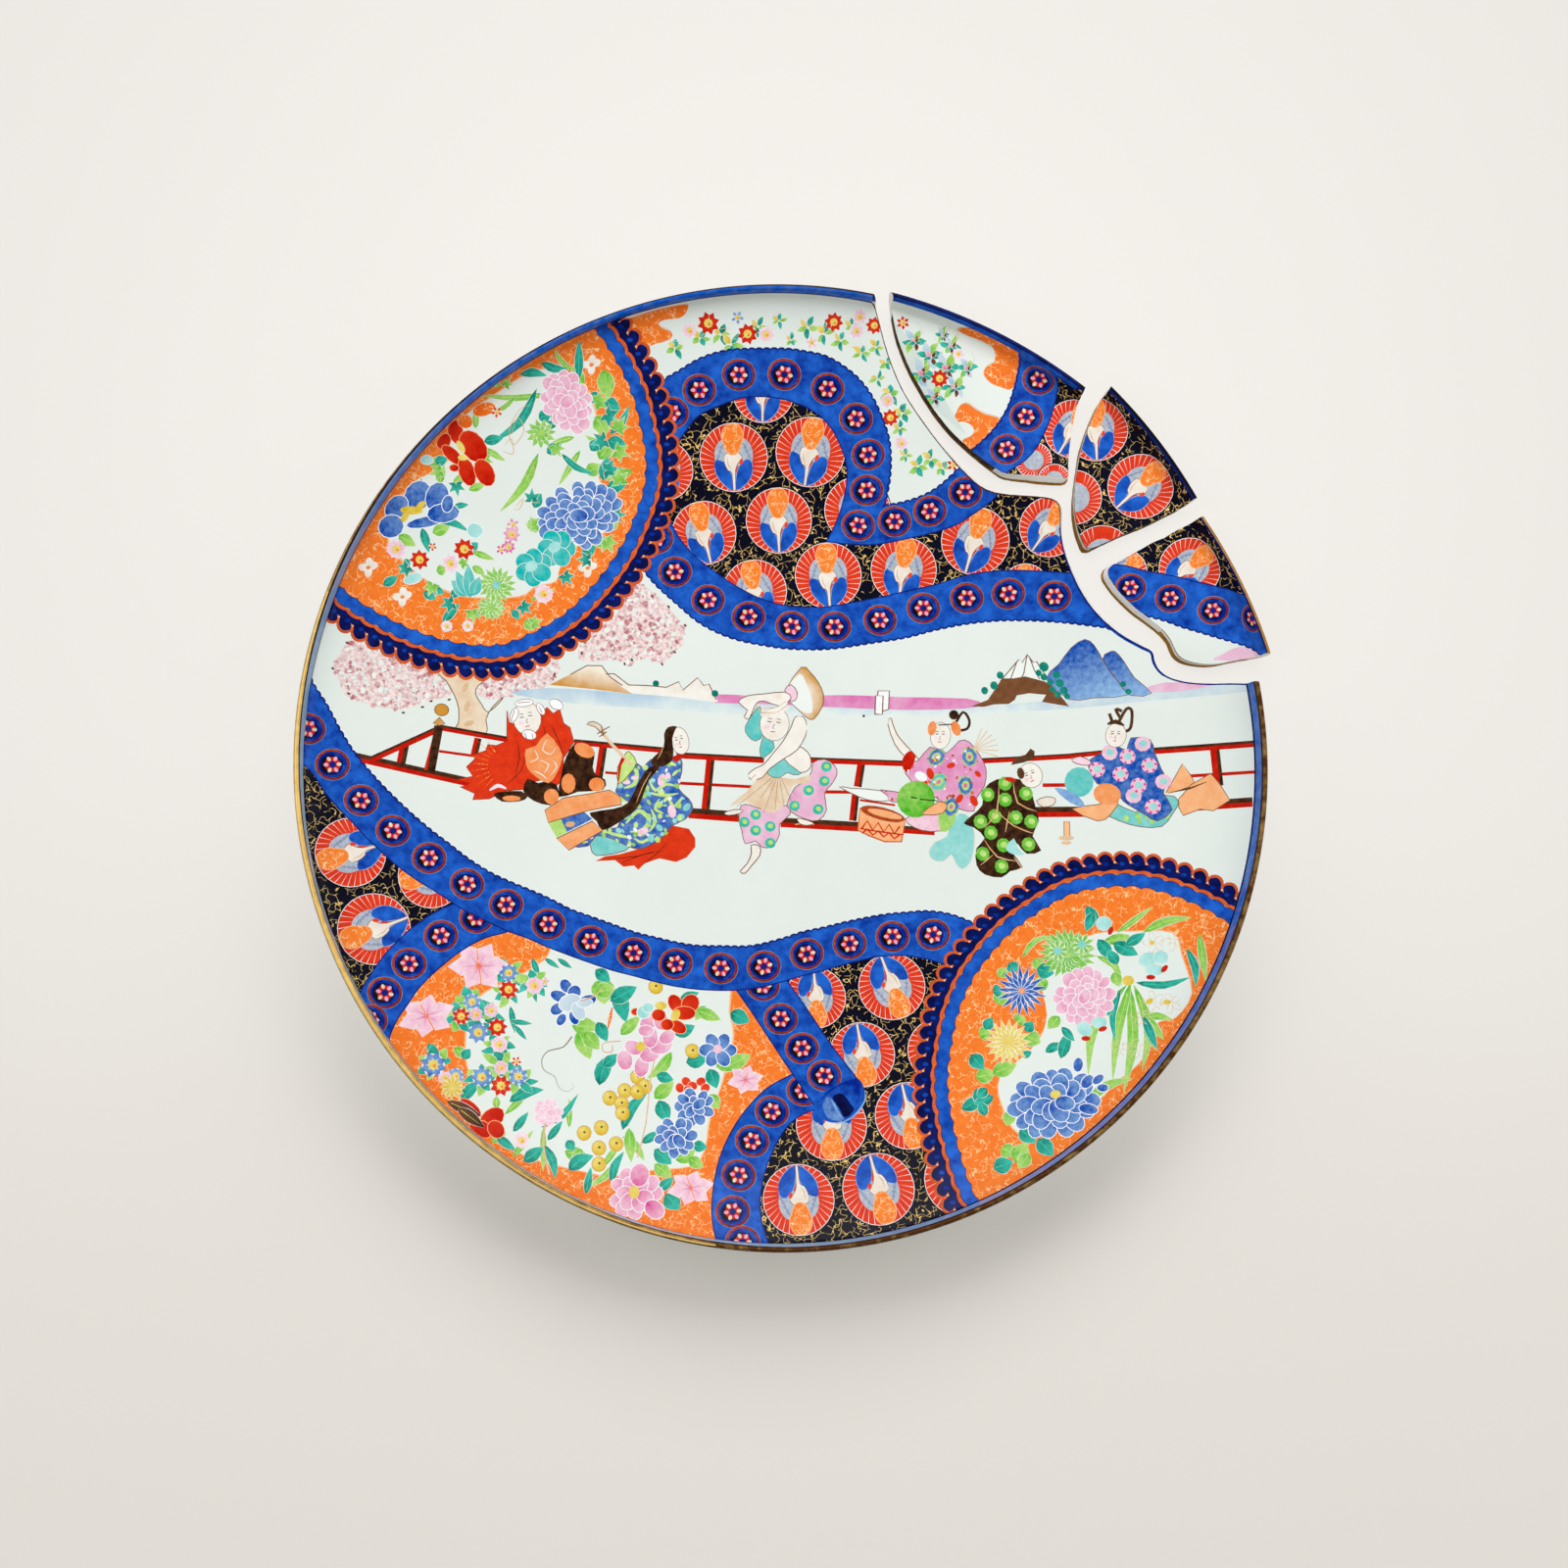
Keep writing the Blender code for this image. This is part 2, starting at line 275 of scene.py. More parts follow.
def stroke(points, width, shape="even"):
    """Outline of one stroke of the brush along an open line."""
    p = np.asarray(points, float)
    along = np.concatenate([[0.0], np.cumsum(np.linalg.norm(np.diff(p, axis=0), axis=1))])
    half = 0.5 * width * BRUSH[shape](along / max(along[-1], 1e-9))
    side = left_of(p) * np.maximum(half, 0.02)[:, None]
    return np.concatenate([p - side, (p + side)[::-1]])


POINTS_AT_ONCE = 20000   # points tested together, to spare memory


def inside(points, loops):
    """Which points lie inside the loops, by their winding number."""
    result = np.zeros(len(points), int)
    for loop in loops:
        a, b = loop, np.roll(loop, -1, axis=0)
        for start in range(0, len(points), POINTS_AT_ONCE):
            block = slice(start, start + POINTS_AT_ONCE)
            x, y = points[block, 0][:, None], points[block, 1][:, None]
            side = (b[:, 0] - a[:, 0]) * (y - a[:, 1]) - (x - a[:, 0]) * (b[:, 1] - a[:, 1])
            up = (a[:, 1] <= y) & (b[:, 1] > y) & (side > 0)
            down = (a[:, 1] > y) & (b[:, 1] <= y) & (side < 0)
            result[block] += up.sum(1) - down.sum(1)
    return result != 0


def across(start, end, first, last):
    """A wash that changes from start to end."""
    start, end = np.array(start, float), np.array(end, float)
    line = end - start
    return lambda xy: first + (last - first) * np.clip((xy - start) @ line / (line @ line), 0, 1)


def around(centre, radius, middle, edge):
    """A wash that changes from the middle to the edge of a circle."""
    centre = np.array(centre, float)
    return lambda xy: middle + (edge - middle) * np.clip(
        np.linalg.norm(xy - centre, axis=1) / radius, 0, 1)


class Painting:
    """Areas of pigment, each laid over the ones before it."""

    def __init__(self):
        self.areas = []

    def area(self, pigment, outline, wash=0.5, hole=None, inner=False):
        """Lays one area. A hole is the outline of a gap in it. Inner adds corners inside
        the area, for a wash that changes from its middle to its edge."""
        loops = [np.asarray(outline, float)]
        if hole is not None:
            hole = np.asarray(hole, float)
            if turns_left(loops[0]) == turns_left(hole):
                hole = hole[::-1]
            loops.append(hole)
        extra = np.zeros((0, 2))
        if inner:
            middle = loops[0].mean(0)
            extra = np.concatenate([middle[None], middle + (loops[0][::2] - middle) * 0.55])
        self.areas.append((pigment, loops, wash, extra))

    def line(self, pigment, points, width, wash=0.5, shape="even"):
        """Lays one stroke."""
        self.area(pigment, stroke(points, width, shape), wash)

    def edge(self, pigment, outline, width, wash=0.5):
        """Lays an even line round a closed outline."""
        p = np.asarray(outline, float)
        along = np.roll(p, -1, axis=0) - np.roll(p, 1, axis=0)
        along /= np.maximum(np.linalg.norm(along, axis=1), 1e-9)[:, None]
        side = np.column_stack([-along[:, 1], along[:, 0]]) * width / 2
        self.area(pigment, p + side, wash, hole=p - side)


def turns_left(loop):
    """Whether a closed outline runs counter-clockwise."""
    after = np.roll(loop, -1, axis=0)
    return (loop[:, 0] * after[:, 1] - after[:, 0] * loop[:, 1]).sum() > 0


# --- Broken edges ------------------------------------------------------------------------

GRAIN_STOPS = 6.0    # the break's grain stops this far inside the lip's foot
LIP_MARGIN = 0.3     # least distance in mm from the last corner on the face to the lip's foot
END_POINTS = 4       # points of a fracture that may lie across the lip at each end
RIM_STEP = 1.5       # degrees between two points of the rim
STEP_CLEAR = 0.3     # share of that step that a rim point keeps from a piece's end


def broken_line(name):
    """A piece's line of fracture with the piece on its left. Rows are x, y and how far the
    underside's edge stands out from the piece."""
    line = curve(FRACTURES[name], steps=FRACTURE_SMOOTHING)
    if name == "plate_main":
        line = line[::-1] * (1.0, 1.0, -1.0)
    line = stepped(line, size_mm("edge_pitch"))
    grain = random.Random(name)
    inner = np.hypot(line[:, 0], line[:, 1]) < LIP_FOOT_RADIUS - GRAIN_STOPS
    shift = np.array([grain.uniform(-1, 1) for _ in line]) * size_mm("edge_grain") * inner
    line[:, :2] = moved(line[:, :2], shift)
    return line


def unrolled_outline(skin, line, foot_radius, leaning):
    """A piece's outline on the unrolled plan, counter-clockwise. Returns the outline, the
    place along the line of fracture of each corner (NaN past the foot of the lip) and the
    two turns in degrees at which each row of the lip starts and ends."""
    xy = line[:, :2] - left_of(line[:, :2]) * (line[:, 2:] if leaning else 0.0)
    r = np.hypot(xy[:, 0], xy[:, 1])
    turn = np.degrees(np.unwrap(np.arctan2(xy[:, 1], xy[:, 0])))
    within = np.flatnonzero(r < foot_radius - LIP_MARGIN)
    first, last = within[0], within[-1]
    index = np.arange(len(line), dtype=float)
    head, tail = slice(0, first + END_POINTS), slice(last + 1 - END_POINTS, len(line))
    rows = np.flatnonzero(skin.r >= BACK_END_RADIUS - 1e-6)
    rows = rows[skin.v[rows] >= np.interp(foot_radius, skin.r[:rows[0] + 1],
                                          skin.v[:rows[0] + 1]) - 1e-6]

    def at_radius(part, radius, values):
        """What the values are where one end of the line crosses a radius."""
        order = np.argsort(r[part])
        return np.interp(radius, r[part][order], values[part][order])

    start_turns = np.array([at_radius(head, skin.r[k], turn) for k in rows])
    end_turns = np.array([at_radius(tail, skin.r[k], turn) for k in rows])
    v = np.interp(r[within], skin.r[:rows[0] + 1], skin.v[:rows[0] + 1])
    face = xy[within] * (v / r[within])[:, None]
    on_lip = [polar(skin.v[k], a) for k, a in zip(rows, start_turns)]
    off_lip = [polar(skin.v[k], a) for k, a in zip(rows, end_turns)]
    outline = on_lip[::-1] + list(face) + off_lip
    count = len(rows)
    place = np.full(len(outline), np.nan)
    place[count - 1] = at_radius(head, foot_radius, index)
    place[count:count + len(face)] = index[within]
    place[count + len(face)] = at_radius(tail, foot_radius, index)
    outline += [polar(skin.end, a) for a in turns_between(end_turns[-1], start_turns[-1])]
    return np.array(outline), place, [(skin.v[k], a, b) for k, a, b in zip(rows, end_turns, start_turns)]


def polar(radius, degrees):
    """A point of the plan."""
    turn = math.radians(degrees)
    return np.array([radius * math.cos(turn), radius * math.sin(turn)])


def turns_between(start, end):
    """Turns of the rim's points from start counter-clockwise to end, neither included."""
    while end <= start:
        end += 360.0
    first = math.floor(start / RIM_STEP + STEP_CLEAR) + 1
    last = math.ceil(end / RIM_STEP - STEP_CLEAR) - 1
    return [k * RIM_STEP for k in range(first, last + 1)]


# --- From areas of pigment to triangles --------------------------------------------------

LATTICE_MARGIN = 2.0   # the lattice stops this far inside the first row of the lip
LONG_HIDDEN = 3.0      # chords longer than this are kept though a later area hides their ends
LONG_OFF = 6.0         # chords longer than this are kept though their ends lie off the piece


def lattice(skin, box, pitch):
    """Corners in rows of equal triangles over a box of the plan."""
    rows = []
    height = pitch * math.sqrt(0.75)
    for j in range(int(box[0][1] // height), int(box[1][1] // height) + 2):
        x = np.arange(box[0][0] // pitch, box[1][0] // pitch + 2) * pitch
        rows.append(np.column_stack([x + pitch / 2 * (j % 2), np.full(len(x), j * height)]))
    points = np.concatenate(rows)
    reach = np.hypot(points[:, 0], points[:, 1])
    return points[reach < skin.v[skin.r >= BACK_END_RADIUS - 1e-6][0] - LATTICE_MARGIN]


def closed_pairs(count):
    """Edges of a closed loop of corners."""
    a = np.arange(count)
    return np.column_stack([a, (a + 1) % count])


def topmost(areas, spots):
    """Number of the last area laid over each spot, or -1."""
    order = np.argsort(spots[:, 0])
    spots = spots[order]
    top = np.full(len(spots), -1)
    for number in range(len(areas) - 1, -1, -1):
        loops = areas[number][1]
        (x0, y0), (x1, y1) = loops[0].min(0), loops[0].max(0)
        a, b = np.searchsorted(spots[:, 0], (x0, x1))
        near = a + np.flatnonzero((top[a:b] < 0) & (spots[a:b, 1] > y0) & (spots[a:b, 1] < y1))
        if len(near):
            top[near[inside(spots[near], loops)]] = number
    result = np.empty(len(spots), int)
    result[order] = top
    return result


def visible_lines(areas, outline):
    """Corners and edges of the areas' outlines, without those that a later area hides or
    that lie off the piece."""
    points, pairs, owner, extras = [], [], [], []
    count = 0
    for number, (_, loops, _, extra) in enumerate(areas):
        for loop in loops:
            points.append(loop)
            pairs.append(closed_pairs(len(loop)) + count)
            owner.append(np.full(len(loop), number))
            count += len(loop)
        extras.append(extra)
    points, pairs, owner = np.concatenate(points), np.concatenate(pairs), np.concatenate(owner)
    spare = np.concatenate(extras)
    spare_owner = np.repeat(np.arange(len(areas)), [len(e) for e in extras])
    everything = np.concatenate([points, spare])
    hidden = topmost(areas, everything) > np.concatenate([owner, spare_owner])
    off = ~inside(everything, [outline])
    n = len(points)
    length = np.linalg.norm(points[pairs[:, 0]] - points[pairs[:, 1]], axis=1)
    both_hidden = hidden[:n][pairs].all(1) & (length < LONG_HIDDEN)
    both_off = off[:n][pairs].all(1) & (length < LONG_OFF)
    return points, pairs[~both_hidden & ~both_off], spare[~hidden[n:] & ~off[n:]]


def painted_triangles(skin, outline, rows, painting):
    """Cuts a piece's outline into triangles along the edges of its areas of pigment.
    Returns the corners on the plan, the triangles, their pigments and their washes."""
    low, high = outline.min(0) - 1.0, outline.max(0) + 1.0
    areas = [a for a in painting.areas
             if (a[1][0].min(0) < high).all() and (a[1][0].max(0) > low).all()]
    points, pairs, spare = visible_lines(areas, outline)
    pitch = size_mm("lattice_pitch")
    grid = lattice(skin, (low, high), pitch)
    grid = grid[inside(grid, [outline])]
    drawn = {tuple(cell) for cell in (points[np.unique(pairs)] // pitch).astype(int)}
    grid = grid[[tuple(cell) not in drawn for cell in (grid // pitch).astype(int)]]
    parts, edges = [points], [pairs]
    count = len(points)
    for loop, closed in [(outline, True)] + [(ring_row(*row), False) for row in rows[:-1]]:
        parts.append(loop)
        pair = closed_pairs(len(loop)) if closed else closed_pairs(len(loop))[:-1]
        edges.append(pair + count)
        count += len(loop)
    parts += [grid, spare]
    everything = np.concatenate(parts)
    used = np.zeros(len(everything), bool)
    edges = np.concatenate(edges)
    used[edges.ravel()] = True
    used[count:] = True
    number = np.cumsum(used) - 1
    found = delaunay_2d_cdt([Vector(p) for p in everything[used]],
                            number[edges].tolist(), [], 0, 1e-7, False)
    plan = np.array([(p.x, p.y) for p in found[0]])
    triangles = np.array([f for f in found[2] if len(f) == 3])
    middle = plan[triangles].mean(1)
    kept = inside(middle, [outline])
    triangles, middle = triangles[kept], middle[kept]
    pigment = topmost(areas, middle)
    wash = np.zeros((len(triangles), 3))
    for number in np.unique(pigment):
        tone = areas[number][2]
        own = pigment == number
        wash[own] = tone(plan[triangles[own]].reshape(-1, 2)).reshape(-1, 3) if callable(tone) else tone
    return plan, triangles, [areas[n][0] for n in pigment], wash


def ring_row(v, start, end):
    """One row of the rim's corners across a piece."""
    return np.array([polar(v, turn) for turn in (start, *turns_between(start, end), end)])


def edge_chain(plan, triangles, outline):
    """Corners on a piece's outline, in order, and where on the outline each lies."""
    pairs = np.sort(np.concatenate([triangles[:, [0, 1]], triangles[:, [1, 2]], triangles[:, [2, 0]]]),
                    axis=1)
    pairs, times = np.unique(pairs, axis=0, return_counts=True)
    ids = np.unique(pairs[times == 1])
    start, end = outline, np.roll(outline, -1, axis=0)
    line = end - start
    at = np.zeros(len(ids))
    for i, point in enumerate(plan[ids]):
        t = np.clip(((point - start) * line).sum(1) / (line ** 2).sum(1), 0, 1)
        gap = np.linalg.norm(start + line * t[:, None] - point, axis=1)
        k = int(np.argmin(gap))
        at[i] = (k + t[k]) % len(outline)
    order = np.argsort(at)
    return ids[order], at[order]


# --- The closed mesh of one piece --------------------------------------------------------

class Shell:
    """Triangles of one piece with their corners' normals, washes and map places."""

    def __init__(self):
        self.points, self.corners, self.normals = [], [], []
        self.pigments, self.washes, self.maps = [], [], []
        self.count = 0

    def add_points(self, points):
        """Adds points and returns their numbers."""
        self.points.append(points)
        self.count += len(points)
        return np.arange(self.count - len(points), self.count)

    def add_faces(self, corners, normals, pigments, washes, maps):
        """Adds triangles. Normals, washes and maps hold one row for each corner."""
        self.corners.append(corners)
        self.normals.append(normals)
        self.pigments += list(pigments)
        self.washes.append(washes)
        self.maps.append(maps)


def add_skin(shell, skin, outline, rows, painting, flip, place_on_map):
    """Adds one painted side. Returns its points on the outline and where each lies."""
    plan, triangles, pigments, washes = painted_triangles(skin, outline, rows, painting)
    points, normals = skin.place(plan)
    ids = shell.add_points(points)
    if flip:
        normals = -normals
    order = [0, 2, 1] if flip else [0, 1, 2]
    t = triangles[:, order]
    shell.add_faces(ids[t], normals[t], pigments, washes[:, order], place_on_map(plan)[t])
    chain, at = edge_chain(plan, triangles, outline)
    return ids[chain], at, points[chain]


def zipper(upper, upper_at, lower, lower_at):
    """Triangles between two rows of points that run the same way."""
    i = j = 0
    faces = []
    while i < len(upper) - 1 or j < len(lower) - 1:
        step_upper = j == len(lower) - 1 or (
            i < len(upper) - 1 and upper_at[i + 1] <= lower_at[j + 1])
        if step_upper:
            faces.append((lower[j], upper[i + 1], upper[i]))
            i += 1
        else:
            faces.append((lower[j], lower[j + 1], upper[i]))
            j += 1
    return faces


WALL_ROWS = (0.14, 0.4, 0.68, 0.88)   # depths of the rows of points on a broken face
# Waves of a broken face: height, turn for each point along it and turn over its depth.
FACE_WAVES = (1.0, 0.21, 4), (0.6, 0.55, -6)
GRIT = 0.5                            # how far single points stray, against the first wave
# Least radius and height of a cut through the lip, their extents, and its width on the map.
CUT_LOW, CUT_SPAN, CUT_ON_MAP = (218, 28), (12, 18), 0.02


def add_broken_face(shell, name, face_edge, back_edge, map_box):
    """Adds the rough face of the fracture between the two sides' edges, and the two cuts
    through the lip. An edge holds point numbers, places along the fracture and points."""
    (top, top_at, top_points), (low, low_at, low_points) = face_edge[0], back_edge[0]
    top_at = (top_at - top_at[0]) / (top_at[-1] - top_at[0])
    low_at = (low_at - low_at[0]) / (low_at[-1] - low_at[0])
    count = int(np.linalg.norm(np.diff(top_points, axis=0), axis=1).sum() / size_mm("edge_pitch"))
    at = np.linspace(0.0, 1.0, count)
    upper = np.column_stack([np.interp(at, top_at, column) for column in top_points.T])
    lower = np.column_stack([np.interp(at, low_at, column) for column in low_points.T])
    out = -np.column_stack([left_of(upper[:, :2]), np.zeros(count)])
    grain = random.Random(name + "_face")
    wave = [grain.uniform(0, 6.28) for _ in range(4)]
    rows = [(top, top_at)]
    for depth in WALL_ROWS:
        swell = sum(height * np.sin(at * count * turn + start + lean * depth)
                    for (height, turn, lean), start in zip(FACE_WAVES, wave))
        swell += GRIT * np.array([grain.uniform(-1, 1) for _ in at])
        swell *= size_mm("wall_relief") * np.sin(np.pi * at) ** 0.3 * np.sin(np.pi * depth) / 2.0
        row = upper + (lower - upper) * depth + out * swell[:, None]
        rows.append((shell.add_points(row), at))
    rows.append((low, low_at))
    faces, depths = [], []
    for k, (above, below) in enumerate(zip(rows, rows[1:])):
        strip = zipper(above[0], above[1], below[0], below[1])
        faces += strip
        depths += [k] * len(strip)
    ends = []
    for side, (lip, first) in enumerate(zip((face_edge[1], face_edge[2]), (0, -1))):
        column = [row[0][first] for row in rows]
        ends.append(lip_cut(shell, lip, column, side == 0))
    faces = np.array(faces)
    points = np.concatenate(shell.points)
    normals = np.cross(points[faces[:, 1]] - points[faces[:, 0]],
                       points[faces[:, 2]] - points[faces[:, 0]])
    smooth = np.zeros((shell.count, 3))
    for k in range(3):
        np.add.at(smooth, faces[:, k], normals)
    smooth /= np.maximum(np.linalg.norm(smooth, axis=1), 1e-12)[:, None]
    along = np.zeros(shell.count)
    for ids, places in rows:
        along[ids] = places
    pigments = [EDGE_PIGMENTS[name](along[f].mean(), d) for f, d in zip(faces, depths)]
    deep = np.zeros(shell.count)
    for k, (ids, _) in enumerate(rows):
        deep[ids] = k / (len(rows) - 1)
    spots = np.column_stack([map_box[0] + along * map_box[2], map_box[1] + deep * map_box[3]])
    shell.add_faces(faces, smooth[faces], [p for p, _ in pigments],
                    np.repeat([[w] for _, w in pigments], 3, axis=1), spots[faces])
    for cut in ends:
        a, b, c = (points[cut[:, k]] for k in range(3))
        flat = np.cross(b - a, c - a)
        flat = flat.sum(0) / np.linalg.norm(flat.sum(0))
        n = np.broadcast_to(flat, (len(cut), 3, 3))
        r = np.hypot(points[:, 0], points[:, 1])
        spots = np.column_stack([map_box[0] + (r - CUT_LOW[0]) / CUT_SPAN[0] * CUT_ON_MAP,
                                 map_box[1] + (points[:, 2] - CUT_LOW[1]) / CUT_SPAN[1] * map_box[3]])
        shell.add_faces(cut, n, ["bare_body"] * len(cut), np.full((len(cut), 3), 0.4), spots[cut])


def lip_cut(shell, lip, column, starts):
    """Triangles of the cut through the lip at one end of the fracture."""
    points = np.concatenate(shell.points)
    loop = list(lip) + (column[1:-1] if starts else column[1:-1][::-1])
    section = [Vector((math.hypot(points[i][0], points[i][1]), points[i][2], 0.0)) for i in loop]
    faces = np.array([[loop[k] for k in t] for t in tessellate_polygon([section])])
    flat = sum(np.cross(points[b] - points[a], points[c] - points[a]) for a, b, c in faces)
    radial = points[loop[0]] * (1, 1, 0)
    # The cut where the line of fracture starts faces counter-clockwise round the plate.
    spin = radial[0] * flat[1] - radial[1] * flat[0]
    wanted = 1.0 if starts else -1.0
    return faces if spin * wanted > 0 else faces[:, ::-1]


# --- Pigments ----------------------------------------------------------------------------

# Each pigment as it is laid on porcelain: the sRGB colours of its thin and its thick wash,
# roughness, metallic share, the size in mm and the strength of the brush's unevenness, and
# how far in mm the fired surface swells and sinks.
PIGMENTS = {
    # Feldspar glaze over porcelain, fired once: faintly green where it lies thick.
    "white_glaze": ("#EFF5F0", "#D3DFD8", 0.10, 0.0, 34.0, 0.35, 0.010),
    # Cobalt oxide brushed under the glaze, which blooms darker where strokes overlap.
    "cobalt_wash": ("#2468D2", "#04248A", 0.12, 0.0, 6.0, 2.2, 0.010),
    # The same cobalt at full strength for outlines and the dark bands.
    "cobalt_line": ("#16309A", "#05072E", 0.12, 0.0, 6.0, 0.9, 0.010),
    # Cobalt let down with water on the lip, nearly grey where it is thin; its pale thin end also serves
    # as painted highlight round the left of the lip.
    "thinned_cobalt": ("#A6C0D0", "#0458C4", 0.12, 0.0, 5.0, 0.6, 0.010),
    # Black enamel ground, fired on at low heat: dense and glossy with a blue cast.
    "black_enamel": ("#1B1D33", "#0B0908", 0.22, 0.0, 16.0, 0.8, 0.015),
    # The same black drawn over with curls of powdered gold.
    "scrolled_enamel": ("#10122C", "#040407", 0.24, 0.0, 16.0, 0.8, 0.015),
    # Powdered gold in a thin flux, burnished and worn: soft pale lines.
    "gilding": ("#D9C590", "#7A5E2C", 0.42, 0.25, 1.6, 1.3, 0.020),
    # Gold over iron on the lip, rubbed brown by handling; its pale thin end also paints the lip's
    # highlights.
    "rim_gilding": ("#F4CC78", "#4E2C0C", 0.34, 0.20, 5.0, 1.1, 0.030),
    # Iron red line, thin and slightly matt, orange where the brush ran dry.
    "iron_red_line": ("#E4662C", "#7C2010", 0.34, 0.0, 2.2, 1.1, 0.020),
    # Iron red enamel laid flat.
    "iron_red": ("#F44C22", "#C01002", 0.30, 0.0, 4.0, 0.8, 0.020),
    # Iron orange ground, washed on in small overlapping dabs.
    "orange_ground": ("#FB9038", "#EC5C0A", 0.32, 0.0, 3.2, 0.9, 0.020),
    # Thinned iron orange for scrolls and robes.
    "pale_orange": ("#FBC794", "#EE8238", 0.32, 0.0, 4.0, 0.9, 0.020),
    # Rose enamel from gold, opaque white at the thin end.
    "rose": ("#FAE2EC", "#D63C90", 0.22, 0.0, 3.0, 0.7, 0.030),
    # Rose and brown mixed thin for the petals of blossom.
    "blossom": ("#F6E9E6", "#B8666E", 0.24, 0.0, 1.5, 1.9, 0.020),
    # Overglaze blue enamel, glassy and stippled.
    "blue_enamel": ("#A0CCF0", "#0A4AAC", 0.18, 0.0, 2.6, 0.9, 0.030),
    # Copper turquoise enamel.
    "turquoise": ("#BDEBE6", "#11B8B4", 0.18, 0.0, 4.0, 0.7, 0.030),
    # Copper green enamel with yellow, for leaves in light.
    "leaf_green": ("#D2EC8E", "#48B41E", 0.18, 0.0, 2.6, 0.9, 0.030),
    # Full copper green for leaves in shade.
    "deep_green": ("#48D8C0", "#047462", 0.18, 0.0, 2.6, 0.9, 0.030),
    # Antimony yellow enamel.
    "yellow": ("#F7EC8E", "#D9B417", 0.20, 0.0, 2.4, 0.8, 0.030),
    # Manganese brown for lines, hair and dress.
    "manganese": ("#8A5A38", "#24120A", 0.26, 0.0, 3.0, 0.8, 0.020),
    # Opaque white enamel that stands proud, for outlines, rays and feathers.
    "white_enamel": ("#FFFFFF", "#A4AFBE", 0.24, 0.0, 2.0, 0.8, 0.030),
    # Thin flesh and sand wash with iron.
    "sand_wash": ("#F4F1E9", "#D2AE84", 0.24, 0.0, 6.0, 0.8, 0.010),
    # Ochre wash, from bare glaze to full colour.
    "ochre": ("#F3EBD8", "#CF9236", 0.26, 0.0, 6.0, 0.8, 0.010),
    # Thin grey-blue and rose washes for water and mist.
    "water_wash": ("#E4EEEA", "#86B4DA", 0.14, 0.0, 12.0, 0.9, 0.010),
    "mist_wash": ("#F3E4EC", "#DB6FB0", 0.20, 0.0, 9.0, 0.9, 0.010),
    # Bare porcelain body where the wall broke: dense, white and sugary.
    "bare_body": ("#FFFEFA", "#DCD5C8", 0.62, 0.0, 1.2, 0.9, 0.060),
    # The same body with soil and lacquer rubbed into its edge.
    "stained_body": ("#C98F36", "#33200F", 0.45, 0.0, 2.4, 1.0, 0.050),
}


def linear(hex_colour):
    """An sRGB hex value as linear red, green, blue and alpha."""
    channels = [int(hex_colour[i:i + 2], 16) / 255 for i in (1, 3, 5)]
    return [c / 12.92 if c <= 0.04045 else ((c + 0.055) / 1.055) ** 2.4 for c in channels] + [1.0]


def add_node(tree, kind, sockets, **settings):
    """Adds a node with its settings. Sockets gives inputs a value, or an output to link."""
    node = tree.nodes.new(kind)
    for key, value in settings.items():
        setattr(node, key, value)
    for key, value in sockets.items():
        if isinstance(value, bpy.types.NodeSocket):
            tree.links.new(value, node.inputs[key])
        else:
            node.inputs[key].default_value = value
    return node


MIX_FACTOR, MIX_FIRST, MIX_SECOND, MIX_COLOUR = 0, 6, 7, 2   # colour sockets of a Mix node


# Fine lines drawn over a ground: the cell they wander round and their half width in mm,
# their colour, and the share of them that is broken off.
DRAWN_LINES = {
    "scrolled_enamel": (4.4, 0.15, "#F0CC78", 0.44),
    "orange_ground": (4.0, 0.18, "#FECB90", 0.48),
}


CURL = 1.3    # size and reach of the lines' wandering, in cells
FADE = 0.03   # how softly a drawn line breaks off


def drawn_lines(tree, where, ground, cell, half_width, colour, broken):
    """Colour of a ground with short curled lines drawn over it."""
    bend = add_node(tree, "ShaderNodeTexNoise",
                    {"Vector": where, "Scale": CURL / (cell * MM), "Detail": 0.0})
    shift = add_node(tree, "ShaderNodeVectorMath",
                     {0: bend.outputs["Color"], 1: (CURL * cell * MM,) * 3, 2: where},
                     operation="MULTIPLY_ADD")
    cells = add_node(tree, "ShaderNodeTexVoronoi",
                     {"Vector": shift.outputs[0], "Scale": 1.0 / (cell * MM)},
                     feature="DISTANCE_TO_EDGE")
    line = add_node(tree, "ShaderNodeMapRange",
                    {0: cells.outputs["Distance"], 1: half_width / cell, 2: 0.5 * half_width / cell})
    gaps = add_node(tree, "ShaderNodeTexNoise",
                    {"Vector": where, "Scale": 1.0 / (cell * MM), "Detail": 1.0})
    kept = add_node(tree, "ShaderNodeMapRange",
                    {0: gaps.outputs["Fac"], 1: broken - FADE, 2: broken + FADE})
    drawn = add_node(tree, "ShaderNodeMath", {0: line.outputs[0], 1: kept.outputs[0]},
                     operation="MULTIPLY")
    return add_node(tree, "ShaderNodeMix",
                    {MIX_FACTOR: drawn.outputs[0], MIX_FIRST: ground, MIX_SECOND: linear(colour)},
                    data_type="RGBA").outputs[MIX_COLOUR]


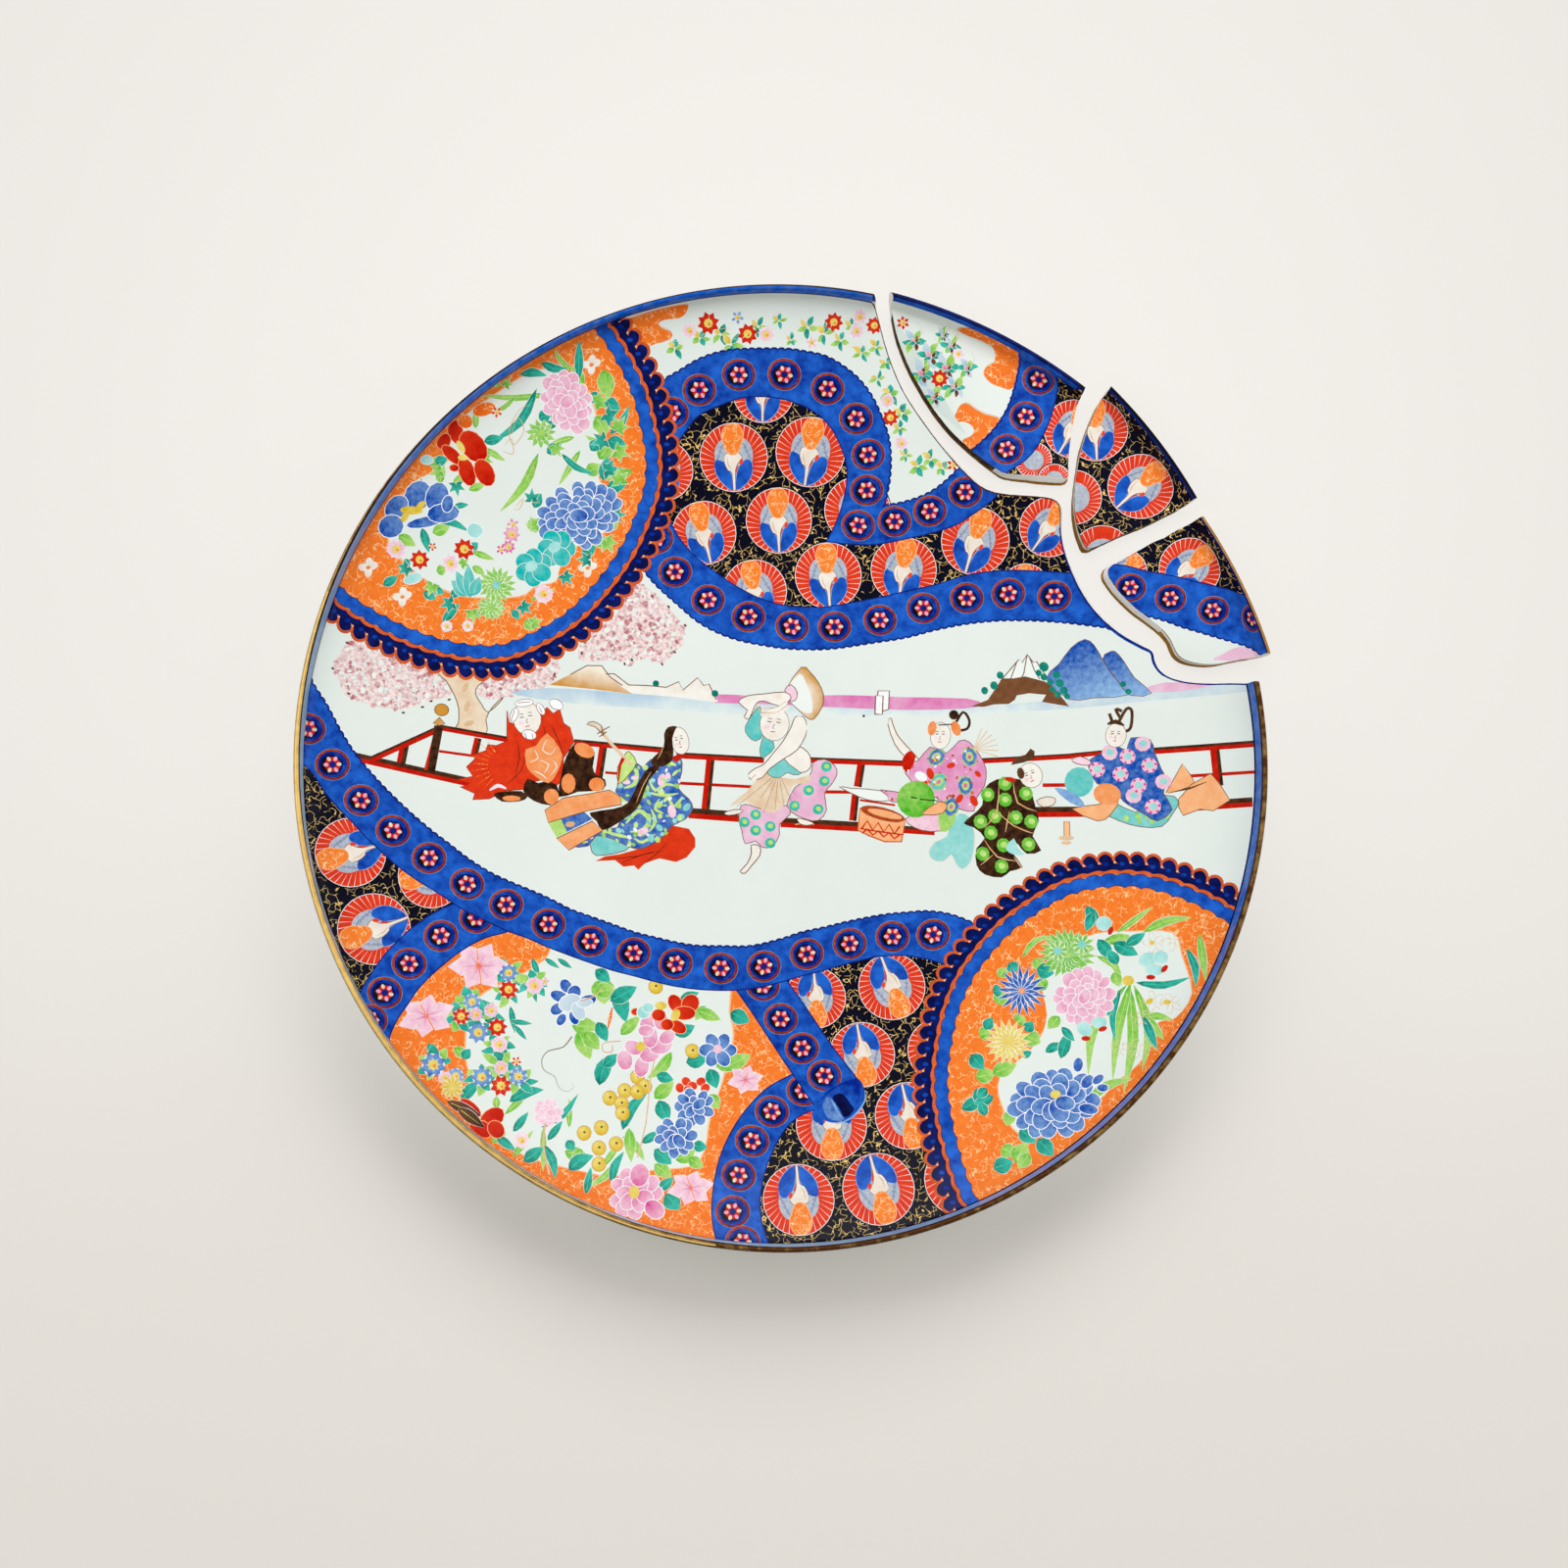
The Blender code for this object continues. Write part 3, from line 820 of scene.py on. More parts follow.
def fired_pigment(name):
    """Material of one pigment. Its colour follows the painted wash and the brush, and its
    surface keeps the slight swell of fired glass."""
    roughness, metallic, size, strength, swell = PIGMENTS[name][2:]
    thin, thick = ((*getattr(bpy.context.scene.charger_pigments, name + wash), 1.0)
                   for wash in ("_thin", "_thick"))
    material = bpy.data.materials.new(name)
    material.use_nodes = True
    tree = material.node_tree
    wash = add_node(tree, "ShaderNodeAttribute", {}, attribute_name="wash")
    where = add_node(tree, "ShaderNodeTexCoord", {}).outputs["Object"]
    brush = add_node(tree, "ShaderNodeTexNoise",
                     {"Vector": where, "Scale": 1.0 / (size * MM), "Detail": 3.0, "Roughness": 0.6})
    uneven = add_node(tree, "ShaderNodeMath", {0: brush.outputs["Fac"], 1: 0.5}, operation="SUBTRACT")
    laid = add_node(tree, "ShaderNodeMath",
                    {0: uneven.outputs[0], 1: strength, 2: wash.outputs["Fac"]},
                    operation="MULTIPLY_ADD", use_clamp=True)
    shade = {MIX_FACTOR: laid.outputs[0], MIX_FIRST: thin, MIX_SECOND: thick}
    colour = add_node(tree, "ShaderNodeMix", shade, data_type="RGBA")
    seen = colour.outputs[MIX_COLOUR]
    if name in DRAWN_LINES:
        seen = drawn_lines(tree, where, seen, *DRAWN_LINES[name])
    grain = add_node(tree, "ShaderNodeTexNoise",
                     {"Vector": where, "Scale": 1.0 / (size_mm("swell_size") * MM), "Detail": 2.0})
    relief = add_node(tree, "ShaderNodeBump",
                      {"Height": grain.outputs["Fac"], "Distance": swell * MM, "Strength": 1.0})
    shader = tree.nodes["Principled BSDF"]
    shader.inputs["Roughness"].default_value = roughness
    shader.inputs["Metallic"].default_value = metallic
    shader.inputs["Specular IOR Level"].default_value = bpy.context.scene.charger_sizes.gloss
    tree.links.new(seen, shader.inputs["Base Color"])
    tree.links.new(relief.outputs["Normal"], shader.inputs["Normal"])
    return material


# --- Motifs ------------------------------------------------------------------------------

def turned(points, centre, turn, size=1.0):
    """Points of a motif drawn about 0, 0, turned in degrees, sized and set at a centre."""
    c, s = math.cos(math.radians(turn)), math.sin(math.radians(turn))
    p = np.asarray(points, float) * size
    return np.column_stack([centre[0] + c * p[:, 0] - s * p[:, 1],
                            centre[1] + s * p[:, 0] + c * p[:, 1]])


def arc(centre, radius, start, end, steps=8):
    """Points on part of a circle, in degrees."""
    a = np.radians(np.linspace(start, end, steps))
    return np.column_stack([centre[0] + radius * np.cos(a), centre[1] + radius * np.sin(a)])


def side_of(base, tip):
    """Unit vector square to the way from base to tip."""
    way = (tip - base) / np.linalg.norm(tip - base)
    return np.array([-way[1], way[0]])


def stud(p, x, y, radius=7.5, turn=0.0):
    """A ringed flower on a cobalt ribbon, with painted light on its raised enamel: a pale blue highlight
    round the ring, the ring lighter at its upper left, and a black crescent of painted shade at the lower
    left.
    """
    at = np.array([x, y], float)
    # A pale blue rim round the red ring: a painted highlight on the raised enamel.
    p.area("blue_enamel", oval(at, radius + 0.2, 0.92, turn, 20), 0.7)
    # The red ring is lighter at the upper left and darker at the lower right: painted light and shade on
    # the raised ring.
    p.area("iron_red_line", oval(at, radius - 0.1, 0.92, turn, 20),
           across(at + (-radius, radius), at + (radius, -radius), 0.6, 1.1))
    p.area("cobalt_wash", oval(at, radius * 0.84, 0.92, turn, 16), 0.85)
    p.area("cobalt_line", oval(at + polar(radius * 0.06, 200), radius * 0.66, 0.92, turn, 14), 0.75)
    # A black crescent at the lower left: painted shade on the raised flower.
    p.area("black_enamel", oval(at + polar(radius * 0.24, 200), radius * 0.42, 1.05, turn, 9), 0.8)
    p.area("iron_red", oval(at, radius * 0.44, 1.0, 0, 10), 0.8)
    for k in range(6):
        a = turn + k * 60
        petal = polar(radius * 0.37, a) + at
        p.area(("sand_wash", "rose")[k % 2], oval(petal, radius * 0.15, 0.75, a, 6), 0.5)
    p.area("cobalt_line", oval(at, radius * 0.2, 1.0, 0, 8), 0.45)


def ribbon(p, first, second, wavy=(True, True)):
    """A cobalt ribbon between two lines, first on its left, with its dark edges."""
    first, second = curve(first), curve(second)
    p.area("cobalt_wash", np.concatenate([second, first[::-1]]), 0.42)
    for line, swell, waves in ((first, 0.75, wavy[0]), (second, -0.75, wavy[1])):
        edge = scalloped(line, 3.6, swell, 5) if waves else line
        if waves:
            p.area("cobalt_wash", np.concatenate([edge, line[::-1]]), 0.5)
        p.line("cobalt_line", edge, 0.85 if waves else 0.6, 0.45)


ROUNDEL_RADIUS = 16.5   # radius at which the crane is drawn
CUSP_PITCH = 7.6        # from one cusp of a medallion's border to the next


def crane_roundel(p, x, y, radius, turn=0.0, bird=True):
    """A red rayed roundel with a bird that has folded wings and an orange tail, or with a
    plain silver middle."""
    def at(points):
        """Points drawn on a roundel of the usual size, set where this one lies."""
        return turned(points, (x, y), turn, radius / ROUNDEL_RADIUS)

    p.area("black_enamel", oval((x, y), radius + 0.5, 1.0, 0, 28), 1.0)
    p.area("white_enamel", oval((x, y), radius, 1.0, 0, 28), 0.2)
    p.area("iron_red", oval((x, y), radius - 0.3, 1.0, 0, 28), 0.45)
    for k in range(2, 32):
        a, lean = turn + 92 + k * 10.9, 26.0 if k < 17 else -26.0
        inner, outer = (polar(radius * f, a + lean * (1 - f)) + (x, y) for f in (0.55, 0.97))
        side = 0.15 * side_of(inner, outer)
        p.area("white_enamel", [inner, outer - side, outer + side], 0.2)
    if not bird:
        p.area("white_enamel", oval((x, y), radius * 0.56, 1.0, 0, 16), 0.9)
        return
    p.area("white_enamel",
           at(curve(plot("-9.2,-.5 -8.6,5 -5.2,8.8 0,7 4.2,9 7.2,7.4 9.2,3 8.8,-2.4 5.5,-4 -6,-3.6"),
                    True, 2)), 0.9)
    for side in (-1, 1):
        for k in range(5):
            root = (side * (4.2 + 0.8 * k), 7.0 - 2.0 * k)
            p.line("cobalt_line", at([root, (root[0] + side * 2.2, root[1] - 2.4)]), 0.26, 0.05)
    for lobe, wash in ((plot("-9.3,-1.4 -9,-7.4 -5.6,-12.6 -.8,-15.8 -1.2,-9 -3.4,-3.4 -6.4,-1.2"),
                        (0.5, -0.1)),
                       (plot(".4,-15.8 5.4,-13 8.7,-8 8.6,-2.4 5.6,-1.2 2.2,-4.6 .8,-9"), (-0.1, 0.5))):
        outline = at(curve(lobe, True, 2))
        p.area("cobalt_wash", outline, across(*at([(-6, -3), (6, -12)]), *wash))
        p.edge("blue_enamel", outline, 0.35, 0.35)
    body = at(curve(plot("""
    -4.4,1.4 -4.6,-2.6 -3,-6.2 -1.2,-7.4 -.9,-15.4 .3,-15.2 .6,-6
    2.4,-2.4 4.2,-.8 2.8,2 -1.2,2.4"""), True, 2))
    p.area("sand_wash", body, 0.25)
    p.edge("manganese", body, 0.3, 0.15)
    p.line("sand_wash", at(plot("-3.2,0 -2.8,-3.6 -1.2,-6.4")), 0.5, 1.0, "brush")
    p.area("iron_red", at(oval((3.5, -2.2), 1.6, 0.6, 75, 7)), 0.25)
    tail = at(curve(plot("""
    -5.4,9.6 -4.6,13.4 -2.4,15.6 1.8,15.8 4.2,13.6 5,9.4 3.6,5.6
    2.2,2.4 0,1.2 -2.6,2 -4.2,5"""), True, 2))
    p.area("orange_ground", tail, 0.3)
    p.edge("pale_orange", tail, 0.4, 0.3)
    for k, (i, j) in enumerate(plot("-2.6,12.8 1.6,13 -2.4,8.6 1.6,9 -.8,4.8")):
        p.line("pale_orange", at(arc((i, j), 1.3, 70 * k, 70 * k + 200, 4)), 0.45, 0.0, "brush")


def cusped_border(p, line):
    """The four bands round a medallion, along its outer edge with the medallion on the left
    hand. Returns the outline of what lies inside them."""
    def bowed(depth, height):
        """A row of cusps at a depth inside the medallion's edge."""
        return scalloped(moved(stepped(line, 3.0), depth)[::-1], CUSP_PITCH, height)

    outer = bowed(1.2, 2.6)
    p.area("iron_red_line", np.concatenate([moved(outer, 0.65), bowed(9.0, 0)[::-1]]), 0.28)
    p.area("cobalt_line", np.concatenate([moved(outer, -0.75), bowed(8.4, 1.0)[::-1]]), 0.78)
    cusps = moved(stepped(line, 3.0), 1.2)[::-1]
    count = max(1, round(np.linalg.norm(np.diff(cusps, axis=0), axis=1).sum() / CUSP_PITCH))
    cusps = stepped(cusps, np.linalg.norm(np.diff(cusps, axis=0), axis=1).sum() / count)
    inward, along = -left_of(cusps), np.gradient(cusps, axis=0)
    along /= np.linalg.norm(along, axis=1)[:, None]
    for c, n, t in zip(cusps, inward, along):
        hook = [c - n * 0.3, c + n * 1.2 + t * 0.2, c + n * 2.4 + t * 0.9, c + n * 2.9 + t * 2.0]
        p.line("iron_red_line", hook, 1.7, 0.22, "tail")
        p.area("pale_orange", oval(c + n * 2.3 + t * 0.7, 0.62, 1.0, 0, 7), 0.35)
        p.area("cobalt_wash", oval(c + n * 3.2 - t * 3.4, 1.4, 0.7, 0, 8), 0.9)
    p.area("iron_red_line", np.concatenate([bowed(8.0, 1.0), bowed(9.6, 1.0)[::-1]]), 0.15)
    p.line("cobalt_line", bowed(9.9, 1.0), 0.4, 0.9)
    inner = bowed(16.0, 1.1)
    p.area("cobalt_wash", np.concatenate([bowed(10.0, 1.0), inner[::-1]]), 0.32)
    p.line("cobalt_line", inner, 0.6, 0.8)
    return inner


def daisy(p, x, y, radius, pigment="iron_red", wash=(0.3, 0.8), petals=9, eye="yellow"):
    """A small flower with a round eye."""
    at = np.array([x, y], float)
    p.area("white_enamel", oval(at, radius * 0.9, 1.0, x, 11), 0.3)
    for k in range(petals):
        a = x * 7 + k * 360 / petals
        ray = [at + polar(radius * f, a) for f in (0.2, 0.65, 1.05)]
        p.area(pigment, stroke(ray, radius * 0.62, "drop"), around(at, radius, *wash))
    p.area(eye, oval(at, radius * 0.42, 1.0, 0, 8), 0.45)
    p.area("pale_orange", oval(at + (0.1 * radius, -0.1 * radius), radius * 0.16, 1.0, 0, 5), 0.9)


def petals(p, pigment, rows, wash=(0.9, 0.5), edge="white_enamel", rim=0.4):
    """Rounded petals as x, y, half length, half width and turn, each laid over the last
    with a pale edge. The wash runs from the turned-from end to the turned-to end."""
    for x, y, a, b, turn in rows:
        reach = polar(a, turn)
        if edge:
            p.area(edge, oval((x, y), a + rim, (b + rim) / (a + rim), turn, 12), 0.15)
        p.area(pigment, oval((x, y), a, b / a, turn, 12), across((x, y) - reach, (x, y) + reach, *wash))


def bloom(p, pigment, x, y, a, b, turn=0.0, wash=(0.95, 0.45), rings=plot(".8,13 .55,9 .28,6 0,1"),
          petal=0.27, seed=1, rim=0.4):
    """A full flower of overlapping petals, from its outer ring inward."""
    rnd = random.Random(seed)
    for share, count in rings:
        for k in range(count):
            angle = 360 * (k + rnd.uniform(-0.25, 0.25)) / count + share * 190
            c = polar(share * rnd.uniform(0.92, 1.04), angle) * (a, b)
            size = petal * (a * b) ** 0.5 * rnd.uniform(0.9, 1.15)
            spot = turned([c], (x, y), turn)[0]
            petals(p, pigment,
                   [(*spot, size, size * rnd.uniform(0.68, 0.86), angle + turn + (0 if share else 90))],
                   wash, rim=rim)


def burst(p, pigment, x, y, a, count, wash=(0.9, 0.4), squash=1.0, turn=0.0, width=0.2, eye="yellow",
          eye_size=0.16, rings=2):
    """A chrysanthemum of narrow petals round an eye."""
    at = np.array([x, y], float)
    for ring in range(rings):
        reach = a * (1.0 - 0.38 * ring)
        for k in range(count - 3 * ring):
            angle = turn + 360 * (k + 0.5 * ring) / (count - 3 * ring)
            ray = np.array([polar(reach * f, angle - turn) for f in (0.12, 0.6, 1.0)])
            ray = turned(ray * (1.0, squash), at, turn)
            p.line("white_enamel", ray, a * width + 0.7, 0.15, "drop")
            p.area(pigment, stroke(ray, a * width, "drop"), around(at, reach, *wash))
    p.area(eye, oval(at, a * eye_size, 1.0, 0, 8), 0.5)


LEAF_GROWTH = 1.15, 1.25   # how much longer and wider a leaf is laid than its first stroke
IVY = plot("0,0 .3,158 .75,112 .42,84 .95,52 .5,26 1.1,0")


def ivy(p, rows):
    """Five-lobed leaves as x, y, size, turn and pigment."""
    for x, y, size, turn, pigment in rows:
        half = [polar(r, a) for r, a in IVY]
        outline = turned(half + [(u, -v) for u, v in half[-2:0:-1]], (x, y), turn, size)
        p.edge("sand_wash", outline, 0.5, 0.1)
        p.area(pigment, outline,
               across((x, y) - polar(size, turn) * 0.6, (x, y) + polar(size, turn), 1.0, 0.3))


def leaves(p, pigment, rows, wash=(0.85, 0.35), edge=0.5, vein=True):
    """Leaves as base x, y, tip x, y, width and bend, with pale edges and veins."""
    for bx, by, tx, ty, width, bend in rows:
        base, tip = np.array([bx, by], float), np.array([tx, ty], float)
        tip, width = base + (tip - base) * LEAF_GROWTH[0], width * LEAF_GROWTH[1]
        side = np.array([-(tip - base)[1], (tip - base)[0]]) * bend
        line = curve([base, (base + tip) / 2 + side, tip], steps=3)
        if edge:
            p.line("sand_wash", line, width + edge, 0.1, "leaf")
        p.area(pigment, stroke(line, width, "leaf"), across(base, tip, *wash))
        if vein and width > 2.4:
            p.line(("leaf_green", "deep_green")[pigment == "deep_green"], line[1:-1:2], 0.3, 0.0, "tail")


def tuft(p, x, y, size, count, seed, pigments=("leaf_green", "deep_green"), spread=360.0, turn=0.0):
    """Small leaves fanned about a point."""
    rnd = random.Random(seed)
    for k in range(count):
        a = turn + spread * (k + rnd.uniform(-0.25, 0.25)) / count
        start, tip = polar(size * 0.1, a) + (x, y), polar(size * rnd.uniform(0.75, 1.1), a) + (x, y)
        leaves(p, pigments[k % len(pigments)],
               [(*start, *tip, size * rnd.uniform(0.34, 0.5), rnd.uniform(-0.15, 0.15))],
               (rnd.uniform(0.6, 0.95), rnd.uniform(0.2, 0.5)), edge=0.4, vein=False)


def dabs(p, pigment, region, pitch, size, wash, seed, share=1.0):
    """Small dabs of the brush scattered over a region."""
    rnd = random.Random(seed)
    region = np.asarray(region, float)
    low, high = region.min(0), region.max(0)
    spots = np.array([(x + rnd.uniform(-0.5, 0.5) * pitch, y + rnd.uniform(-0.5, 0.5) * pitch)
                      for y in np.arange(low[1], high[1], pitch)
                      for x in np.arange(low[0], high[0], pitch) if rnd.random() < share])
    for spot in spots[inside(spots, [region])]:
        tone = min(1.0, max(0.0, wash + rnd.uniform(-0.3, 0.3)))
        p.area(pigment,
               oval(spot, size * rnd.uniform(0.6, 1.3), rnd.uniform(0.45, 0.9), rnd.uniform(0, 180), 5),
               tone)


LEFT_RESERVE = plot("""
    -152,166 -140,175 -126,185 -112,190 -98,184 -90,172 -88,160 -84,150 -88,140 -82,128 -84,114
    -98,106 -106,96 -108,89 -118,86 -126,81 -150,80 -166,85 -178,93 -188,104 -186,116 -178,132
    -166,140 -160,152""")
RIGHT_RESERVE = plot("""
    103,-160 103,-148 112,-140 122,-130 126,-118 124,-104 128,-96 136,-86 150,-79 168,-78 186,-79
    190,-90 194,-108 186,-120 178,-122 176,-130 168,-142 158,-150 148,-160 130,-172 112,-176""")
PANEL_RESERVE = plot("""
    -104,-84 -112,-92 -126,-101 -140,-108 -148,-118 -149,-140 -146,-150 -152,-160 -142,-168
    -130,-177 -122,-185 -110,-189 -97,-192 -80,-195 -60,-192 -42,-190 -36,-182 -33,-165 -28,-152
    -25,-140 -22,-128 -24,-116 -26,-96 -60,-92""")


def reserve(p, line):
    """White left bare inside an orange ground, with a pale uneven edge."""
    p.area("pale_orange", curve(line, True, 3), 0.2)
    inner = np.array(line, float)
    p.area("white_glaze", curve(inner + (inner.mean(0) - inner) * 0.012, True, 3), 0.4)


def left_medallion_flowers(p):
    """Peonies, iris, camellia and chrysanthemums of the upper left medallion."""
    reserve(p, LEFT_RESERVE)
    for x, y in plot("-92,192 -93,96 -197,92 -181,79"):
        petals(p, "sand_wash",
               [(x + dx, y + dy, 2.4, 1.8, t)
                for dx, dy, t in plot("-2.4,0,0 2.2,1,30 0,-2.2,80 .5,2.4,90")], (0.3, 0.0), None)
        p.area("pale_orange", oval((x, y), 1.2, 0.8, 20, 6), 0.9)
    leaves(p, "leaf_green", plot("""
    -117,150,-133,125,3.4,.08 -97,152,-106,137,2.6,0 -110,178,-142,176,2.4,.05
    -128,176,-140,168,1.8,.1 -100,158,-110,155,2.4,0 -101,189,-109,198,2,.1 -96,182,-99,192,5,.1
    -86,190,-84,178,6.5,0 -90,168,-86,160,6.5,.1 -81,151,-93,158,3,0 -88,148,-82,157,6,0
    -72,143,-84,139,4.4,0 -94,141,-88,145,5.4,0 -143,151,-134,146,2.6,0 -170,142,-160,145,3.6,0
    -172,133,-176,128,4.6,0 -164,133,-162,141,2.8,0 -158,132,-152,139,2.8,0 -150,131,-143,134,3,0
    -147,160,-147,168,2.6,0 -91,110,-83,108,5,0 -84,116,-79,119,5,0 -120,119,-118,113,5.5,0
    -103,102,-99,106,3.2,0 -183,108,-176,104,4.4,0 -167,110,-160,113,4.6,0 -148,102,-139,99,2.6,0
    -165,92,-161,93,4,0 -171,96,-176,99,3,0 -148,95,-143,92,3,0 -120,80,-110,85,2.6,0
    -123,70,-119,66,4,0 -136,180,-140,183,2.2,0"""))
    leaves(p, "deep_green", plot("""
    -118,180,-137,157,3.4,.12 -98,185,-98,201,3.4,0 -116,192,-105,190,3.4,-.1
    -126,186,-115,186,3.4,.1 -93,178,-88,176,4.6,0 -86,176,-79,172,5.4,0 -83,160,-75,172,3,-.1
    -84,157,-76,155,5.6,0 -92,152,-88,157,4.6,0 -106,150,-92,142,2.6,-.1 -86,138,-84,148,5,0
    -84,135,-76,136,5,0 -117,166,-112,168,5,0 -113,150,-107,154,4.6,0 -143,154,-135,156,4,0
    -166,143,-161,145,4,0 -157,123,-151,124,2.4,0 -172,112,-169,102,3.4,0 -166,116,-152,112,3,.1
    -119,124,-116,130,4,0 -96,102,-90,106,4.4,0 -168,84,-162,82,3.6,0 -171,82,-166,79,3.6,0
    -158,80,-154,84,3.4,0 -162,68,-155,76,3.4,0 -149,103,-146,106,3.4,0 -190,84,-184,88,3.6,0
    -129,75,-126,71,3,0 -147,71,-145,73,3,0 -180,97,-178,94,2.6,0"""))
    petals(p, "turquoise", plot("-176,88,4.5,2.4,20 -147,112,3.6,3.4,0 -170,144,3,2,0"), (0.3, 0.1))
    ivy(p,
        [(x, y, s, t, "deep_green" if k % 2 else "leaf_green") for k, (x, y, s, t) in enumerate(plot("""
    -89,175,6,20 -84,169,6.4,-30 -79,163,6,60 -86,157,6,200 -79,152,6,-20 -84,143,6.4,10
    -78,138,6,100 -109,164,5,120 -109,153,5,-60 -80,122,5,0 -84,109,6,-60 -93,100,5,180
    -118,116,5,180 -120,128,5,90 -164,139,5,200 -156,133,5,-80 -143,146,4.6,-20 -172,131,4.6,150
    -153,96,4,40 -179,93,5,220 -167,85,5,250 -158,77,5.4,200 -148,73,5,-80 -124,77,5,-40
    -119,69,4.6,20 -104,92,5,-50 -133,181,4,60"""))])
    bloom(p, "rose", -103.5, 174.5, 15.4, 10.6, -59, (0.62, 0.30), seed=3)
    bloom(p, "blue_enamel", -97.5, 121, 19.5, 13.6, 22, (0.98, 0.55),
          plot(".9,16 .68,14 .44,10 .2,6 0,1"), 0.235, 4)
    petals(p, "iron_red", plot("""
    -156.5,158,6,3.6,110 -162,153,4,3,60 -148,151.5,8.2,5.6,-52 -158,147,6,2.8,-40
    -151,139.5,6.8,3.8,-70 -142.6,139.5,6.6,4.4,-62
    -157,141,2.2,1.6,0"""), (0.55, 1.0), "pale_orange", 0.3)
    petals(p, "orange_ground", [(-143, 169, 5.6, 3.0, 20), (-152, 163, 3.2, 3.6, 70)], (0.9, 0.4),
           "sand_wash", 0.2)
    petals(p, "yellow", [(-154, 151, 3.2, 1.6, -60), (-153, 146, 2.4, 1.4, 0)], (0.5, 0.2), None)
    petals(p, "blue_enamel", plot("""
    -170,115,9.5,2.4,14 -174,127,7.4,6,60 -165,127,7,5.2,70 -162,119.5,7.6,4.4,10
    -184,121,6.4,4.6,50 -186.5,112,6,5.2,30 -160,124,4,2.6,80"""), (0.95, 0.62))
    petals(p, "yellow", plot("-177,120,5.4,2,0 -173,122,3.4,1.6,50 -180,117,3,1.5,60"), (0.95, 0.6), None)
    for x, y, turn in ((-108, 105, 0), (-119, 95.5, 30)):
        petals(p, "turquoise",
               [(x + 4.6 * math.cos(a), y + 4.6 * math.sin(a), 4.6, 4.2, math.degrees(a))
                for a in np.radians(np.arange(0, 360, 60) + turn)], (0.8, 1.0), "sand_wash", 0.3)
        p.area("turquoise", oval((x - 1, y + 0.6), 3.2, 0.8, 30, 10), 0.25)
    burst(p, "leaf_green", -139, 75.5, 7.4, 13, (0.8, 0.45), 0.85, 0, 0.36, "leaf_green", 0.2)
    burst(p, "leaf_green", -136.5, 86.5, 9.4, 16, (0.75, 0.5), 0.95, 10, 0.32, "turquoise", 0.2)
    burst(p, "leaf_green", -116, 159, 7.4, 11, (0.85, 0.5), 0.95, 10, 0.4, "leaf_green", 0.3)
    leaves(p, "turquoise", plot("""
    -150,81,-157,87,5,0 -150,81,-155,91,4.4,0
    -149,80,-150,94,4.6,0 -148,81,-145,89,4.6,0"""), (1.0, 0.6))
    for x, y, r, pigment, wash in plot("""
    -152,103,5,iron_red,.2:.9 -173,97,4.6,iron_red,.2:.9 -184,101.5,4.8,rose,.5:.12
    -158.5,96,4.4,rose,.4:.1 -114,83,4.8,rose,.3:.1 -129,115.5,3,rose,.4:.7
    -129.5,111,4,rose,.3:.6 -131,105,3.2,rose,.4:.9 -134.5,103.5,2.4,rose,.8:.95
    -167,103.5,2,iron_red,.7:.9 -137,168,2.6,iron_red,.1:.5 -150,66.5,3,rose,.3:.1
    -160,66,3,rose,.3:.1"""):
        daisy(p, x, y, r, pigment, wash, 8 if r > 3 else 5)
    for points in (plot("-130,158 -127,166 -124,160 -129,153 -131,160 -126,170 -121,172"),
                   plot("-134,150 -129,149 -130,156 -133,153"), plot("-120,146 -119,142 -121,139"),
                   plot("-128,124 -124,128 -126,123 -129,123")):
        p.line("ochre", curve(points, steps=3), 0.45, 0.75, "brush")


